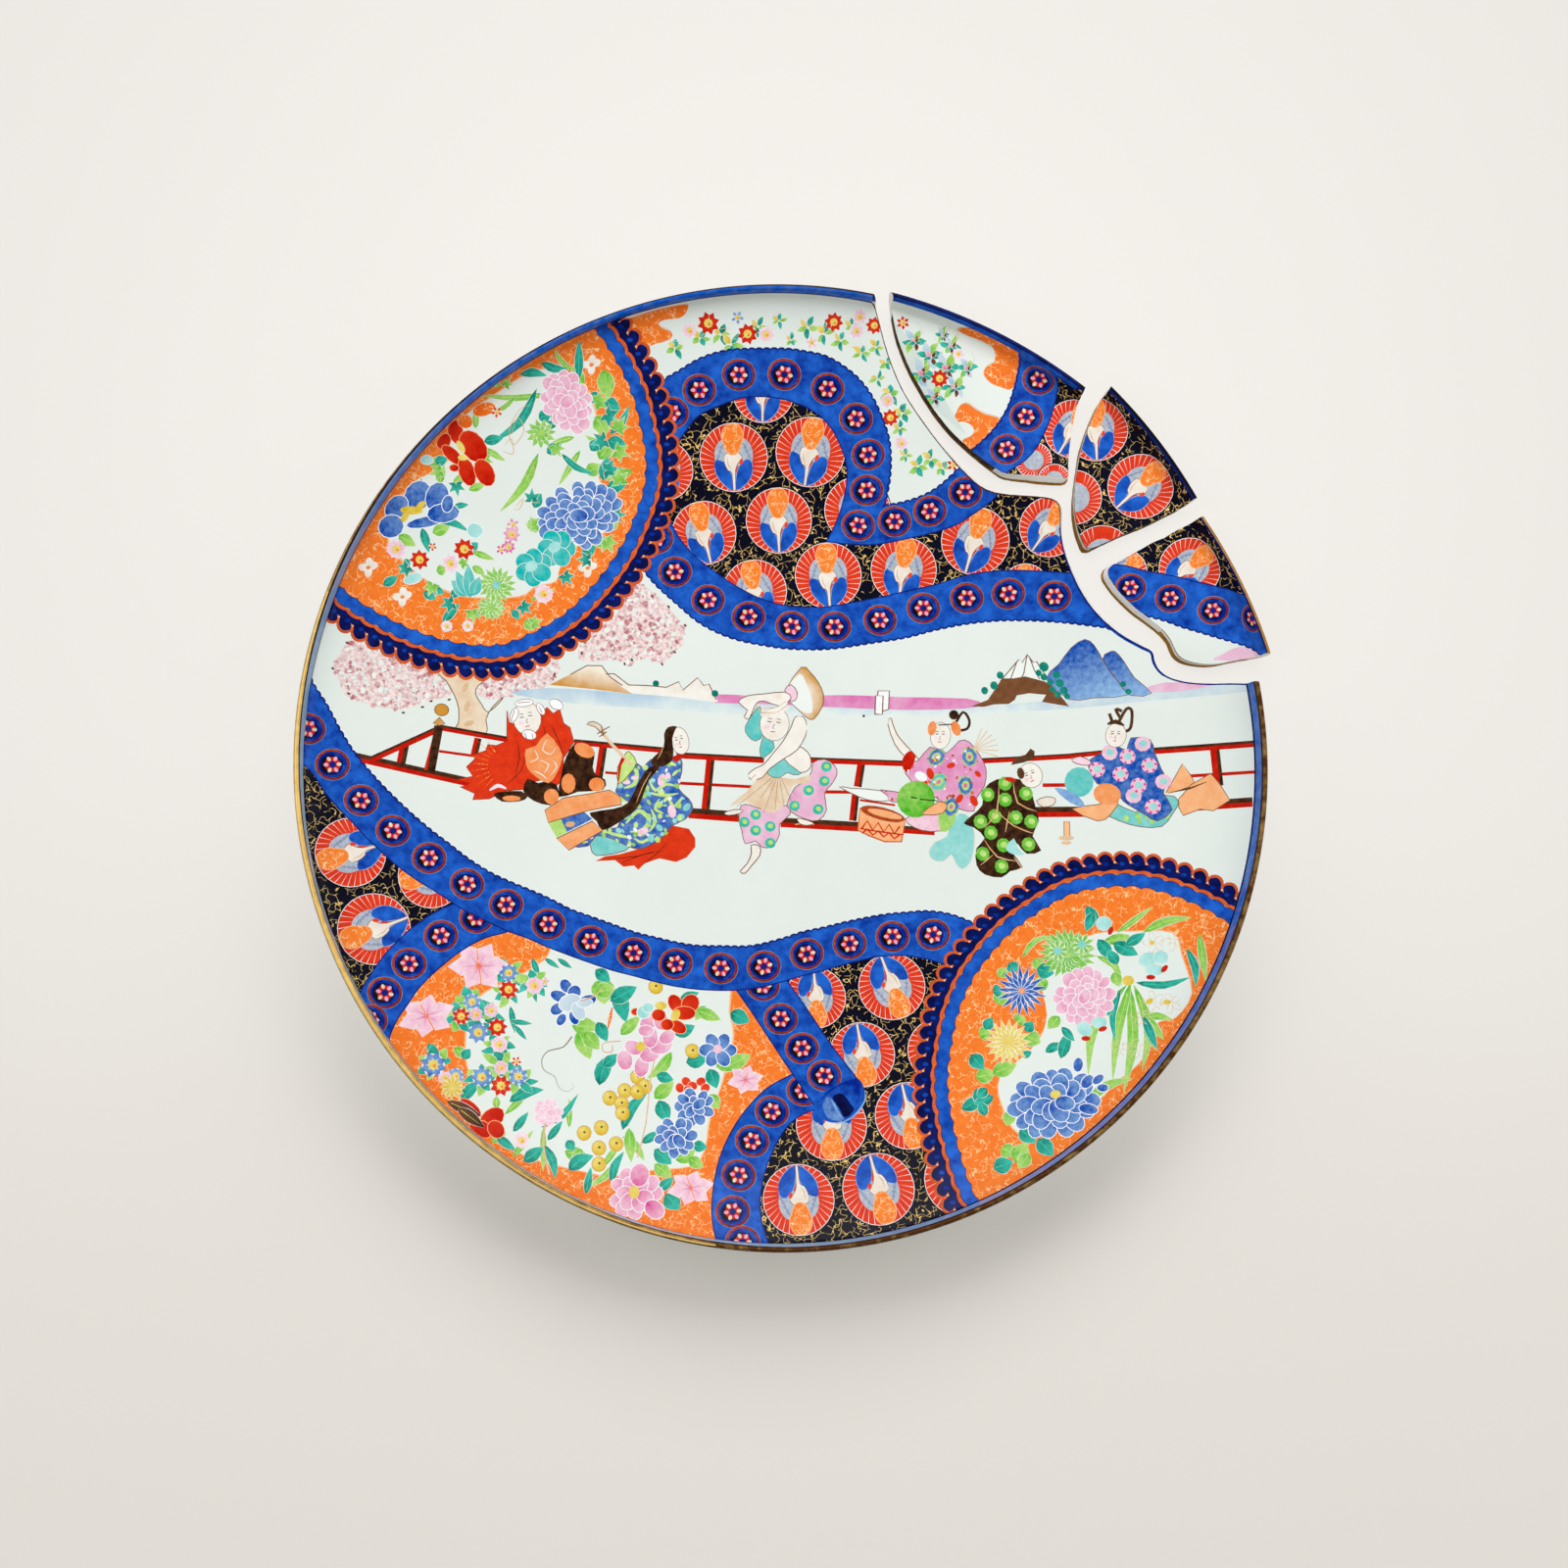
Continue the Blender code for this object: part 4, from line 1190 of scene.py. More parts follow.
def right_medallion_flowers(p):
    """Peonies, chrysanthemums and narcissus of the lower right medallion."""
    reserve(p, RIGHT_RESERVE)
    leaves(p, "leaf_green", plot("""
    164,-104,147,-142,4,-.14 165,-104,161,-149,4.2,.06 167,-104,169,-140,3.6,.12
    166,-102,157,-144,3.6,-.04 170,-120,183,-121,3,.1 172,-119,179,-129,3.4,0
    171,-125,176,-134,2.8,0 143,-160,162,-150,3.6,.1 172,-79,192,-73,3.4,.08 160,-79,175,-68,2.2,0
    198,-80,200,-100,3,0 153,-84,168,-83,4,.1 150,-90,160,-103,2.6,.2 115,-91,130,-82,2,.2
    92,-148,100,-146,6,0 100,-146,110,-142,6,0 103,-113,106,-108,6,0 94,-128,99,-126,5.5,0
    116,-128,122,-131,6.5,0 112,-122,115,-119,6,0 126,-106,122,-101,5.5,0 121,-91,124,-96,4.6,0
    104,-100,107,-96,4,0 132,-119,127,-124,4.6,0 108,-164,106,-170,5,0 103,-181,108,-184,6,0
    109,-188,114,-180,7,0 116,-184,111,-190,5,0 158,-98,160,-104,4.4,0"""))
    leaves(p, "deep_green", plot("""
    161,-106,158,-128,2.6,-.1 168,-103,190,-101,3,-.1 192,-87,195,-103,3,.1
    171,-119,176,-133,3.4,0 146,-66,151,-75,4.6,0 149,-69,146,-77,4,0 151,-82,157,-91,5,0
    158,-84,168,-89,5.6,0 160,-94,156,-88,4.4,0 164,-85,172,-80,4,0 90,-137,95,-143,6,0
    85,-163,95,-158,5,0 92,-153,95,-161,5,0 100,-157,92,-160,4.6,0 97,-153,93,-157,4,0
    96,-166,94,-160,4,0 112,-172,118,-178,6.4,0 120,-177,126,-184,6.4,0 99,-191,107,-188,6.4,0
    125,-136,133,-133,3.6,.1 132,-139,136,-127,4.6,0 133,-124,138,-130,3.2,0 109,-93,112,-97,5,0
    101,-107,105,-106,5,0 116,-126,119,-122,4.6,0 97,-125,100,-120,4.4,0 122,-96,129,-98,6.4,0
    150,-118,157,-117,3.4,.1 114,-138,118,-136,3,0"""))
    burst(p, "leaf_green", 136.5, -89, 13.6, 22, (0.95, 0.6), 0.92, -20, 0.26, "leaf_green", 0.15)
    for x, y in ((132, -87.5), (143.5, -84.5)):
        burst(p, "leaf_green", x, y, 6.0, 9, (0.9, 0.5), 1.0, x, 0.36, "turquoise", 0.32, 1)
    bloom(p, "rose", 144, -109.5, 14, 12.6, 30, (0.62, 0.28), plot(".82,14 .5,10 .2,5 0,1"), 0.27, 8)
    burst(p, "blue_enamel", 114.5, -106.5, 12, 17, (0.7, 0.92), 1.05, 8, 0.17, "pale_orange", 0.11)
    burst(p, "yellow", 107.5, -131, 11.4, 17, (0.75, 0.35), 1.0, 0, 0.2, "yellow", 0.16)
    bloom(p, "blue_enamel", 128, -160, 21, 15, 14, (0.95, 0.55), plot(".82,15 .55,11 .28,6"), 0.27, 9)
    petals(p, "blue_enamel", plot("""
    140,-142,3.4,2.2,80 144,-150,3.6,2.4,50 149,-149,3,1.8,40 151,-153,2.6,1.8,0
    144,-163,4.4,2.4,-10"""), (0.95, 0.7))
    p.area("yellow", oval((129, -156), 2.6, 0.8, 10, 8), 0.5)
    petals(p, "turquoise", plot("""
    154,-74.5,3.6,3.4,20 174,-92,4.6,3.4,20 180,-91,3.2,3.4,80 177,-97,4.4,2.6,0
    143.5,-125,3.8,3.2,-40 150.5,-122,3.6,2.6,0"""),
           (0.05, 0.32), "sand_wash", 0.25)
    for x, y, turn in plot("157,-78,70 181.5,-96.5,50 175,-100.5,0 144,-129.5,0 152,-125,20"):
        p.area("iron_red", oval((x, y), 2.2, 0.55, turn, 8), 0.85)
    for x, y in plot("177,-84 186,-83 176,-112 184,-113 160,-134 168,-135 170,-119"):
        for k in range(5):
            p.edge("ochre", oval(polar(3.0, 72 * k + x) + (x, y), 2.3, 0.6, 72 * k + x, 7), 0.3, 0.5)
    petals(p, "yellow",
           plot("164.5,-102,2.8,2.4,0 176,-84,1.2,1,0 174,-112,2,1.2,30 182,-112.5,2,1.2,0"),
           (0.6, 0.8), None)


def panel_flowers(p):
    """Lilies, asters, berries and peonies of the lower left panel."""
    reserve(p, PANEL_RESERVE)
    leaves(p, "leaf_green", plot("""
    -85,-101,-84,-112,9,0 -88,-108,-80,-106,6,0 -99,-124,-88,-124,7,0 -96,-126,-91,-138,6.6,0
    -93,-127,-87,-134,6,0 -52,-136,-62,-147,4.4,.1 -60,-158,-52,-151,5.6,0 -36,-114,-40,-120,4,0
    -76,-128,-68,-120,4.6,0 -40,-116,-30,-120,4.6,0 -34,-156,-30,-162,5,0 -32,-140,-20,-142,7,0
    -28,-144,-16,-138,6,0 -102,-183,-92,-186,5.6,0 -94,-182,-98,-188,4,0 -75,-176,-66,-186,3.4,.1
    -72,-172,-71,-186,4.4,0 -50,-187,-42,-183,6,0 -60,-189,-53,-194,5.4,0 -44,-186,-38,-190,4.6,0
    -134,-163,-134,-158,3,0 -130,-166,-120,-150,3,-.1 -136,-179,-130,-175,3,0
    -112,-172,-112,-190,2.4,0 -126,-186,-118,-175,2.6,0 -100,-172,-100,-160,2.2,0
    -84,-190,-77,-180,2.6,0 -154,-135,-148,-139,4,0 -145,-151,-140,-146,3,0
    -78,-188,-90,-198,2.6,.1"""))
    leaves(p, "deep_green", plot("""
    -88,-97,-82,-102,5,0 -78,-106,-74,-120,6.4,0 -81,-112,-70,-106,6.4,0 -87,-122,-83,-130,5,0
    -86,-152,-80,-139,6,.1 -84,-143,-78,-138,4.6,0 -48,-111,-40,-108,3.6,0 -50,-128,-42,-124,5,0
    -45,-141,-36,-139,6,0 -59,-147,-52,-149,4.4,0 -34,-144,-31,-152,5.6,0 -24,-117,-16,-121,6,0
    -58,-159,-54,-168,6,0 -75,-173,-65,-158,4.6,.12 -42,-180,-36,-181,4.4,0 -60,-182,-53,-188,6,0
    -66,-179,-58,-174,3.4,0 -55,-203,-49,-209,7,0 -58,-201,-52,-196,4,0 -100,-192,-90,-186,5.4,.1
    -101,-178,-98,-182,4,0 -113,-172,-98,-158,2.8,-.1 -110,-178,-104,-170,3,0
    -112,-180,-107,-194,3.4,.1 -121,-188,-113,-182,5,0 -128,-160,-114,-155,4.6,.1
    -126,-174,-120,-166,3.2,0 -134,-176,-126,-182,3.4,0 -150,-160,-142,-152,4.6,.1
    -166,-133,-163,-139,3,0 -150,-140,-147,-136,4,0 -118,-92,-115,-100,2.4,0 -112,-92,-106,-96,2,0
    -106,-92,-100,-96,2,0 -128,-115,-126,-126,2.4,0 -128,-122,-119,-123,2,0
    -126,-124,-121,-130,2,0 -118,-105,-116,-112,2,0 -80,-198,-75,-185,3.4,.1 -92,-203,-90,-192,3,0"""))
    for x, y, size, seed in plot("""
    -129,-100,8,31 -118,-104,8,32 -147,-114,9,33 -141,-122,10,34 -152,-121,8,35 -134,-134,7,36
    -163,-142,9,37 -133,-143,9,38 -141,-149,8,39 -124,-150,8,40 -130,-108,7,41"""):
        tuft(p, x, y, size, 7, seed, ("deep_green", "leaf_green"))
    for x, y, a, squash, turn in plot("""
    -143,-96,15,.8,-10 -167,-120,14,.72,10 -17,-149,9,.8,0 -43,-200,11.5,.72,0"""):
        at = np.array([x, y], float)
        for k in range(6):
            angle = 60 * k + 15
            ray = turned(np.array([polar(a * f, angle) for f in (0.05, 0.55, 1.0)]) * (1, squash), at,
                         turn)
            p.area("sand_wash", stroke(ray, a * 0.62 + 0.7, "drop"), 0.05)
            p.area("rose", stroke(ray, a * 0.62, "drop"), around(at, a, 0.45, 0.05))
            p.line("rose", ray[:2], 0.5, 0.75, "tail")
    for x, y, r, pigment, wash in plot("""
    -129,-107,4.6,iron_red,.3:.9 -151,-120,4.2,iron_red,.2:.8 -134,-125,4.6,iron_red,.3:.9
    -132,-152.5,5,iron_red,.2:.8 -129,-99,4.4,blue_enamel,.2:.7 -146,-113,4.2,blue_enamel,.2:.6
    -143,-127.5,5,blue_enamel,.2:.75 -163.5,-143,6,blue_enamel,.3:.75
    -141,-148.5,5,blue_enamel,.2:.7 -124,-148,4.6,blue_enamel,.2:.7 -117,-105,4.4,rose,.4:.15
    -137,-117,3.6,rose,.5:.3 -133,-133,4.2,rose,.3:.15 -144,-119,3.4,rose,.6:.4
    -132,-144,3.6,rose,.5:.25 -125,-141,2.4,iron_red,.2:.5 -112,-103,2.2,rose,.6:.3
    -153,-148,4,blue_enamel,.2:.5 -158,-149,3.4,rose,.4:.2 -122,-178,4,rose,.15:.05"""):
        daisy(p, x, y, r, pigment, wash, 8 if r > 3 else 5)
    burst(p, "yellow", -154.5, -153.5, 6.2, 12, (0.95, 0.6), 1.0, 0, 0.36, "yellow", 0.3, 1)
    petals(p, "iron_red", plot("""
    -136,-168,6.4,4.4,40 -141,-173,5.6,4,-20
    -134,-173,4.4,3.6,-50 -146,-163,6,2.6,-40"""), (0.6, 1.0), "pale_orange", 0.3)
    leaves(p, "manganese", [(-157, -160, -143, -166, 4, 0), (-152, -163, -141, -171, 4.4, 0)], (0.3, 0.9))
    bloom(p, "rose", -110, -165, 6.4, 6.0, 0, (0.32, 0.12), ((0.7, 9), (0.3, 5)), 0.42, 12, 0.25)
    p.line("ochre", curve(plot("-111,-170 -112,-180 -109,-194"), steps=3), 1.0, 0.6)
    for x, y in plot("""
    -68,-148 -81,-158 -74,-154.5 -64.5,-152.5 -68,-155 -75.5,-160.5 -93,-174.5 -85,-172 -86,-181.5
    -78,-179.5 -86,-189 -75,-165 -42,-135.5 -59.5,-105"""):
        p.area("ochre", oval((x, y), 3.7, 0.95, x, 11), 0.9)
        p.area("yellow", oval((x, y), 3.3, 0.95, x, 11), around((x - 1, y + 1), 4, 0.25, 0.95))
        p.area("manganese", oval((x + 0.2, y + 0.4), 0.7, 1, 0, 5), 0.3)
    petals(p, "rose", plot("""
    -74,-140,4.6,3.6,100 -66,-143,5,3.4,80 -62,-137,5,3.8,20 -70,-134,4.4,3.2,150
    -57,-133,5.4,4,10 -62,-129,5,3.6,90 -54,-129,4,3,30 -63,-122,5,3.4,60 -57,-121,4.6,3.4,100
    -64,-126,3.6,2.6,0"""), (0.75, 0.25))
    p.area("yellow", oval((-66.5, -133.5), 2.4, 1, 0, 8), 0.7)
    bloom(p, "rose", -69, -203, 12.4, 11.4, -20, (0.85, 0.3), ((0.72, 9), (0.4, 6)), 0.36, 13)
    petals(p, "rose", [(-67, -194, 5.4, 4.4, 80), (-60, -210, 5, 4, -40)], (0.9, 0.4))
    p.area("yellow", oval((-69.5, -202), 2.6, 1.2, 0, 8), 0.6)
    petals(p, "iron_red", plot("""
    -50,-113,4.6,3.2,120 -43,-113,4.6,4,60 -46,-117.5,5.4,3.2,0 -49,-124,4.4,2.8,-30
    -58,-118.5,3.2,2.8,0 -54,-123,3,2.6,0 -69,-117,2,1.6,0"""),
           (0.4, 0.95), "pale_orange", 0.3)
    petals(p, "yellow", [(-50, -118.5, 3, 2, 60), (-57, -114, 2.8, 2, 0)], (0.4, 0.8), None)
    petals(p, "turquoise", [(-65, -117, 3.4, 3, 40), (-63, -115, 2.6, 2.2, 0)], (0.3, 0.1))
    p.line("orange_ground", plot("-82,-125 -81,-120 -80,-115"), 1.8, 0.7, "brush")
    petals(p, "blue_enamel", plot("""
    -105,-110,4.4,2.6,160 -102,-105,3.4,2.6,120 -106,-116,3.4,2.6,210 -98,-108,3.4,3,60
    -104,-121,3,2,240 -92,-112,4.6,2.6,20 -98,-120,3.4,2.2,290"""), (0.75, 0.95))
    petals(p, "water_wash", plot("-100,-113,5.4,4,20 -96,-117,4.4,2.8,300 -93,-113,3.6,2,10"),
           (0.2, 0.45))
    petals(p, "iron_red",
           [(x, y, 2.3, 2.0, x * 9)
            for x, y in plot("-48,-153 -45,-150 -42,-152 -38,-150 -36,-153 -44,-154")], (0.1, 0.6),
           "sand_wash", 0.2)
    petals(p, "blue_enamel",
           [(-30 + 5 * math.cos(a), -135 + 4.6 * math.sin(a), 4, 3, math.degrees(a))
            for a in np.arange(0, 6.1, 1.05)], (0.45, 0.85))
    p.area("rose", oval((-30, -134.5), 2.2, 1, 0, 8), 0.3)
    bloom(p, "blue_enamel", -41, -162, 9, 8, 40, (0.95, 0.55), ((0.75, 9), (0.3, 5)), 0.36, 14)
    bloom(p, "blue_enamel", -50, -176, 9.4, 9, -30, (0.95, 0.55), ((0.75, 10), (0.3, 5)), 0.34, 15)
    p.line("manganese", curve(plot("""
    -99,-129 -103,-134 -110,-136 -113,-140 -112,-145 -107,-148 -105,-153 -101,-155 -98,-153
    -99,-151"""), steps=3), 0.55, 0.4, "tail")
    p.line("ochre", curve(plot("-76,-131 -84,-132 -84,-136 -80,-136 -80,-133"), steps=3), 0.45, 0.8)
    p.line("ochre", curve(plot("-95,-112 -89,-110 -85,-106"), steps=2), 0.6, 0.8)
    p.line("ochre", curve(plot("-68,-186 -64,-170 -62,-150 -60,-140"), steps=2), 0.6, 0.6)


def sprays(p):
    """Sprays of small flowers and an orange cloud between the upper ribbon and the rim, and a band of
    painted shade along the upper shard's left break.
    """
    cloud = plot("""
    -84,206 -78,213 -60,220 -47,222 -46.5,218 -50,215 -57,214 -60,212 -58,210 -54,208.5 -53.5,206
    -57,204 -62,202.5 -66,200.5 -72,199""")
    shard_clouds = (plot("""
    84,212 87,208.5 94,206 100,203 102,199.5 101.5,195 98,193 96.5,190 98,187 101,184.5 105,183
    111,182.5 118,196 105,214"""),
                    plot("""
    82,166 84,172 86,174.5 89,174.7 93,172 98,169.5 105,167 102,161 94,152 90,150 87,155.5
    86.5,157 90,158.5 92,161 91,164 87,166"""))
    for outline in (cloud, *shard_clouds):
        p.area("sand_wash", curve(outline, True, 3) * 1.004, 0.6)
        p.area("orange_ground", curve(outline, True, 3), 0.5)
    rnd = random.Random(5)
    for x, y in plot("""
    -40,206 -30,208 -25,203.5 -12,212 4,206 12,212 28,206 33,213 45,203 46,188 52,181 57,165
    60,152 66,147 72,150 -52,201 78,146 50,196 58,172 38,200 20,209 -2,215"""):
        tuft(p, x, y, rnd.uniform(3.4, 5.4), 5, int(x), ("leaf_green", "deep_green", "yellow"))
        p.line("ochre",
               curve([(x, y), (x + rnd.uniform(-5, 5), y + 3),
                      (x + rnd.uniform(-9, 9), y + rnd.uniform(-2, 5))], steps=2), 0.3, 0.4, "tail")
    for x, y, r, pigment, wash in plot("""
    -36,213,5.2,iron_red,.3:.9 -17,208.5,4.8,iron_red,.3:.9 24.5,214.5,4.4,iron_red,.3:.8
    52.5,170,4,iron_red,.3:.8 44,213,4,iron_red,.3:.8 -45,209.5,3.6,rose,.3:.1
    -8,208.5,4,rose,.35:.1 37,217,3.6,rose,.4:.1 35.5,210.5,3.6,rose,.4:.1 51,178,3.4,rose,.4:.15
    58,158,3.4,rose,.4:.15 83,147.5,3,iron_red,.4:.8 14,205,3,rose,.4:.15
    -22,216,3,blue_enamel,.2:.5"""):
        daisy(p, x, y, r, pigment, wash, 8 if r > 3 else 5)
    # A broad stroke of thick, grey-green glaze just inside the upper shard's left break: painted shade
    # along that edge.
    p.line("white_glaze", curve(plot("52,214 61,196 74,176 88,160"), steps=3), 9, 0.9, "leaf")
    for x, y, size, seed in plot("""
    62,205,6,61 70,198,7,62 66,189,7,63 78,192,7,64 82,183,6,65 72,178,6,66 80,203,5,67
    88,192,5,68 76,208,4,69"""):
        tuft(p, x, y, size, 6, seed, ("deep_green", "leaf_green", "water_wash"))
        tuft(p, x + 1, y - 1, size * 0.55, 5, seed + 9, ("deep_green", "manganese", "rose"))
        p.line("ochre", curve([(x, y), (x + 4, y + 4), (x + 2, y + 9)], steps=2), 0.35, 0.7, "tail")
    daisy(p, 75, 187, 4.4, "iron_red", (0.4, 0.9))
    daisy(p, 56.5, 213.5, 3.2, "iron_red", (0.3, 0.7), 6)
    daisy(p, 84, 199, 3.0, "rose", (0.3, 0.1), 6)


def shape(p, pigment, points, wash=0.5, line=None, width=0.4, smooth=2):
    """A freely drawn area with rounded or straight sides and, if wanted, a drawn outline."""
    outline = curve(points, True, smooth) if smooth else np.array(points, float)
    p.area(pigment, outline, wash)
    if line:
        p.edge(line, outline, width, 0.3)


def spots(p, rows, outer, inner, radius, wash=(0.8, 0.2)):
    """Round flowers on a robe, with a smaller round in each."""
    for x, y in rows:
        p.area(outer, oval((x, y), radius, 0.95, x, 9), wash[0])
        p.area(inner, oval((x + 0.2, y + 0.2), radius * 0.5, 0.9, y, 7), wash[1])


def head(p, x, y, width, height, turn=0.0):
    """A plain face with two eyes and a mouth."""
    p.area("manganese", oval((x, y), width + 0.25, (height + 0.25) / (width + 0.25), turn, 16), 0.25)
    p.area("sand_wash", oval((x, y), width, height / width, turn, 16), 0.06)
    p.area("rose",
           oval(turned([(-0.45 * width, -0.2 * height)], (x, y), turn)[0], width * 0.22, 0.8, 0, 7),
           0.08)
    p.line("manganese",
           turned([(0.02 * width, 0.0), (-0.1 * width, -0.25 * height), (0.04 * width, -0.28 * height)],
                  (x, y), turn), 0.3, 0.1)
    for dx, dy, reach in ((-0.36, 0.1, 0.14), (0.26, 0.14, 0.14)):
        for up, thick in ((0.0, 0.45), (0.2, 0.3)):
            ends = [(width * (dx - reach), height * (dy + up)),
                    (width * (dx + reach), height * (dy + up * 0.9))]
            p.line("manganese", turned(ends, (x, y), turn), thick, 0.6)
    p.line("iron_red",
           turned([(-0.2 * width, -0.48 * height), (0.12 * width, -0.46 * height)], (x, y), turn), 0.45,
           0.6)


def landscape(p):
    """Blossom, hills, water and mist behind the figures."""
    clouds = (plot("""
    -213,44 -206,57 -200,60 -186,58 -172,52 -158,48 -156,40 -158,33 -168,30 -180,25.5 -195,27
    -207,31 -210,38"""),
              plot("-148,42 -133,47 -118,51 -107,51 -107,44 -115,37 -124,34 -132,33 -140,31.5 -146,35"),
              plot("""
    -97,52 -96,64 -92,76 -84,88 -74,96 -66,88 -58,82 -48,70 -46,62 -51,56 -57,50 -64,53 -72,50
    -80,52 -88,51"""))
    for k, cloud in enumerate(clouds):
        p.area("blossom", curve(cloud, True, 2), 0.22)
        dabs(p, "blossom", cloud, 3.3, 1.6, 0.6, 20 + k, 0.75)
        dabs(p, "white_glaze", cloud, 3.6, 1.3, 0.3, 30 + k, 0.65)
        dabs(p, "blossom", cloud, 4.2, 1.0, 0.7, 40 + k, 0.7)
    for x, y in plot("""
    -213,43.5 -206.5,56 -205.5,32 -180,24 -171,27 -167,30 -158.5,31 -95.5,55 -75,50 -71.5,52
    -57,50 -51,56 -108.5,44.5 -46,69 -54,78 -62,83"""):
        p.area("manganese", oval((x, y), 0.9, 0.6, x, 6), 0.7)
    trunk = plot("""
    -164,45 -160,40 -156,33 -154,27 -154,20 -155,16 -141,14 -141,22 -138,28 -133,33 -134.5,30.5
    -140,25.5 -143,29 -146,34 -145,38 -139,43 -140,46""")
    shape(p, "ochre", trunk, across((-154, 20), (-141, 20), 0.42, 0.16), "manganese", 0.45)
    for x, y, turn in plot("-150,28,80 -149,20,20 -151,37,60"):
        p.area("ochre", oval((x, y), 2.6, 0.5, turn, 9), 0.62)
    shape(p, "water_wash", plot("""
    -130,35 -112,37.8 -90,37 -72,35.6 -50,34 -32,31.5 -10,31 -10,26 -40,27 -60,28.4 -80,29.4
    -104,31"""), across((-60, 36), (-60, 28), 0.55, 0.12))
    shape(p, "water_wash", plot("""
    -16,31 20,30.4 60,29 95,30.6 140,34.5 180,37.5 224,39.6 224,36 180,33 140,29.6 100,27.6 60,26
    20,25.4 -16,26"""), across((60, 31), (60, 25.4), 0.3, 0.0))
    shape(p, "mist_wash", plot("""
    -31,31.5 -30,35.6 -14,35 5,35 30,35.8 60,35 90,34.6 97,31.6 88,29.7 60,28.8 20,30 0,31"""), 0.8)
    shape(p, "mist_wash", plot("200,51 205,54 213,57 221,54 224,50"), 0.4)
    shape(p, "mist_wash", plot("174,38.5 184,41.4 200,40.8 214,41 205,39 192,37.2 178,36.8"), 0.45)
    shape(p, "ochre", plot("-111,39.4 -93,49 -86,49.2 -82,44 -76,38.5 -71,35.4 -90,37.6"),
          across((-91, 48.5), (-93, 37), -0.1, 1.0), None, 0.3, 0)
    shape(p, "sand_wash", plot("""
    -84.5,45 -80,45 -73,39.8 -65,39.4 -56,38.8 -50,41.5 -47,37.5 -40,43.5 -37,40 -34.5,40.5 -30,32
    -50,34.2 -65,35.2 -72,36"""),
          across((-60, 42), (-60, 35), 0.15, 0.0), None, 0.3, 0)
    for points in (plot("-101,44.5 -93,49 -86,49 -82,43.6 -76,39.5"), plot("""
    -84,45 -80,45.2 -73,39.8 -64,39.6 -55,38.8 -49,41.6 -47,37.5 -40,43.6 -37,39.8 -34.5,40.6
    -31,33""")):
        p.line("manganese", points, 0.5, 0.3)
    for x, y, r in ((-60, 40.6, 1.6), (-31.6, 36, 1.7)):
        p.area("deep_green", oval((x, y), r, 1.0, 0, 9), 1.0)
    for points in (plot("45.6,27 52,29 52.4,38 47,38"), plot("45.4,26.6 49,26.6 49.4,35.6 45.8,35.6")):
        shape(p, "white_enamel", points, 0.1, None, 0.55, 0)
        p.line("manganese", points + points[:1], 0.6, 0.3)
    p.area("manganese", oval((40, 25.7), 0.7, 1.0, 0, 6), 0.8)
    peaks = plot("106,43 115,53.6 116.6,52 119,56 122,52 123.4,52.6 129,44")
    shape(p, "white_glaze", peaks, 0.0, None, 0.45, 0)
    for points in (peaks, ((114, 52.4), (111, 44)), plot("119,56 117.4,47 116,44"),
                   plot("120,55 122.6,48 125,44")):
        p.line("manganese", points, 0.5, 0.35)
    shape(p, "blue_enamel",
          plot("128,44 134,51 140,59 146.5,63 151,60 155,53 160,45 168,36 150,34.6 139,34"),
          across((146, 61), (156, 33), 1.0, 0.2), "manganese", 0.35)
    shape(p, "blue_enamel", plot("155,53.4 158,56.6 161,56.8 165,52 170,44 178,36.4 168,35.6 161,44"),
          across((160, 56), (175, 34), 0.9, 0.2), "manganese", 0.35)
    shape(p, "manganese", plot("""
    92,30.8 100,34 104,40 107,44.5 112,44.4 118,45.4 127,43 131,41 139,30.6 126,33 128,36.4
    120,37.2 114,36.2 113,34 110,32 103,31.8 98,30.6"""), 0.28, None, 0.3, 1)
    for x, y, r in plot("""
    98.5,38.5,1.9 103,41,2.1 106,46,1.9 127,50,2.5 124.5,47,1.7 127,45,1.8 133,46,2 130,42.5,1.7
    134.5,42,2.2 131,39,1.6 136.5,38.5,2 133.5,36.5,1.7 138,35.6,1.6 164.5,41,1.5 167,37.4,1.6"""):
        p.area("deep_green", oval((x, y), r, 0.9, x, 9), 0.9)


def rail(p, x0, y0, x1, y1, width, dark=0.0):
    """One fence rail or post, red with a dark side that takes up a share of its width."""
    line = np.linspace((x0, y0), (x1, y1), 3)
    side = left_of(line)
    p.line("iron_red", line, width, 0.95)
    if dark:
        p.line("manganese", line + side * width * (0.5 - dark / 2), width * dark, 0.8)


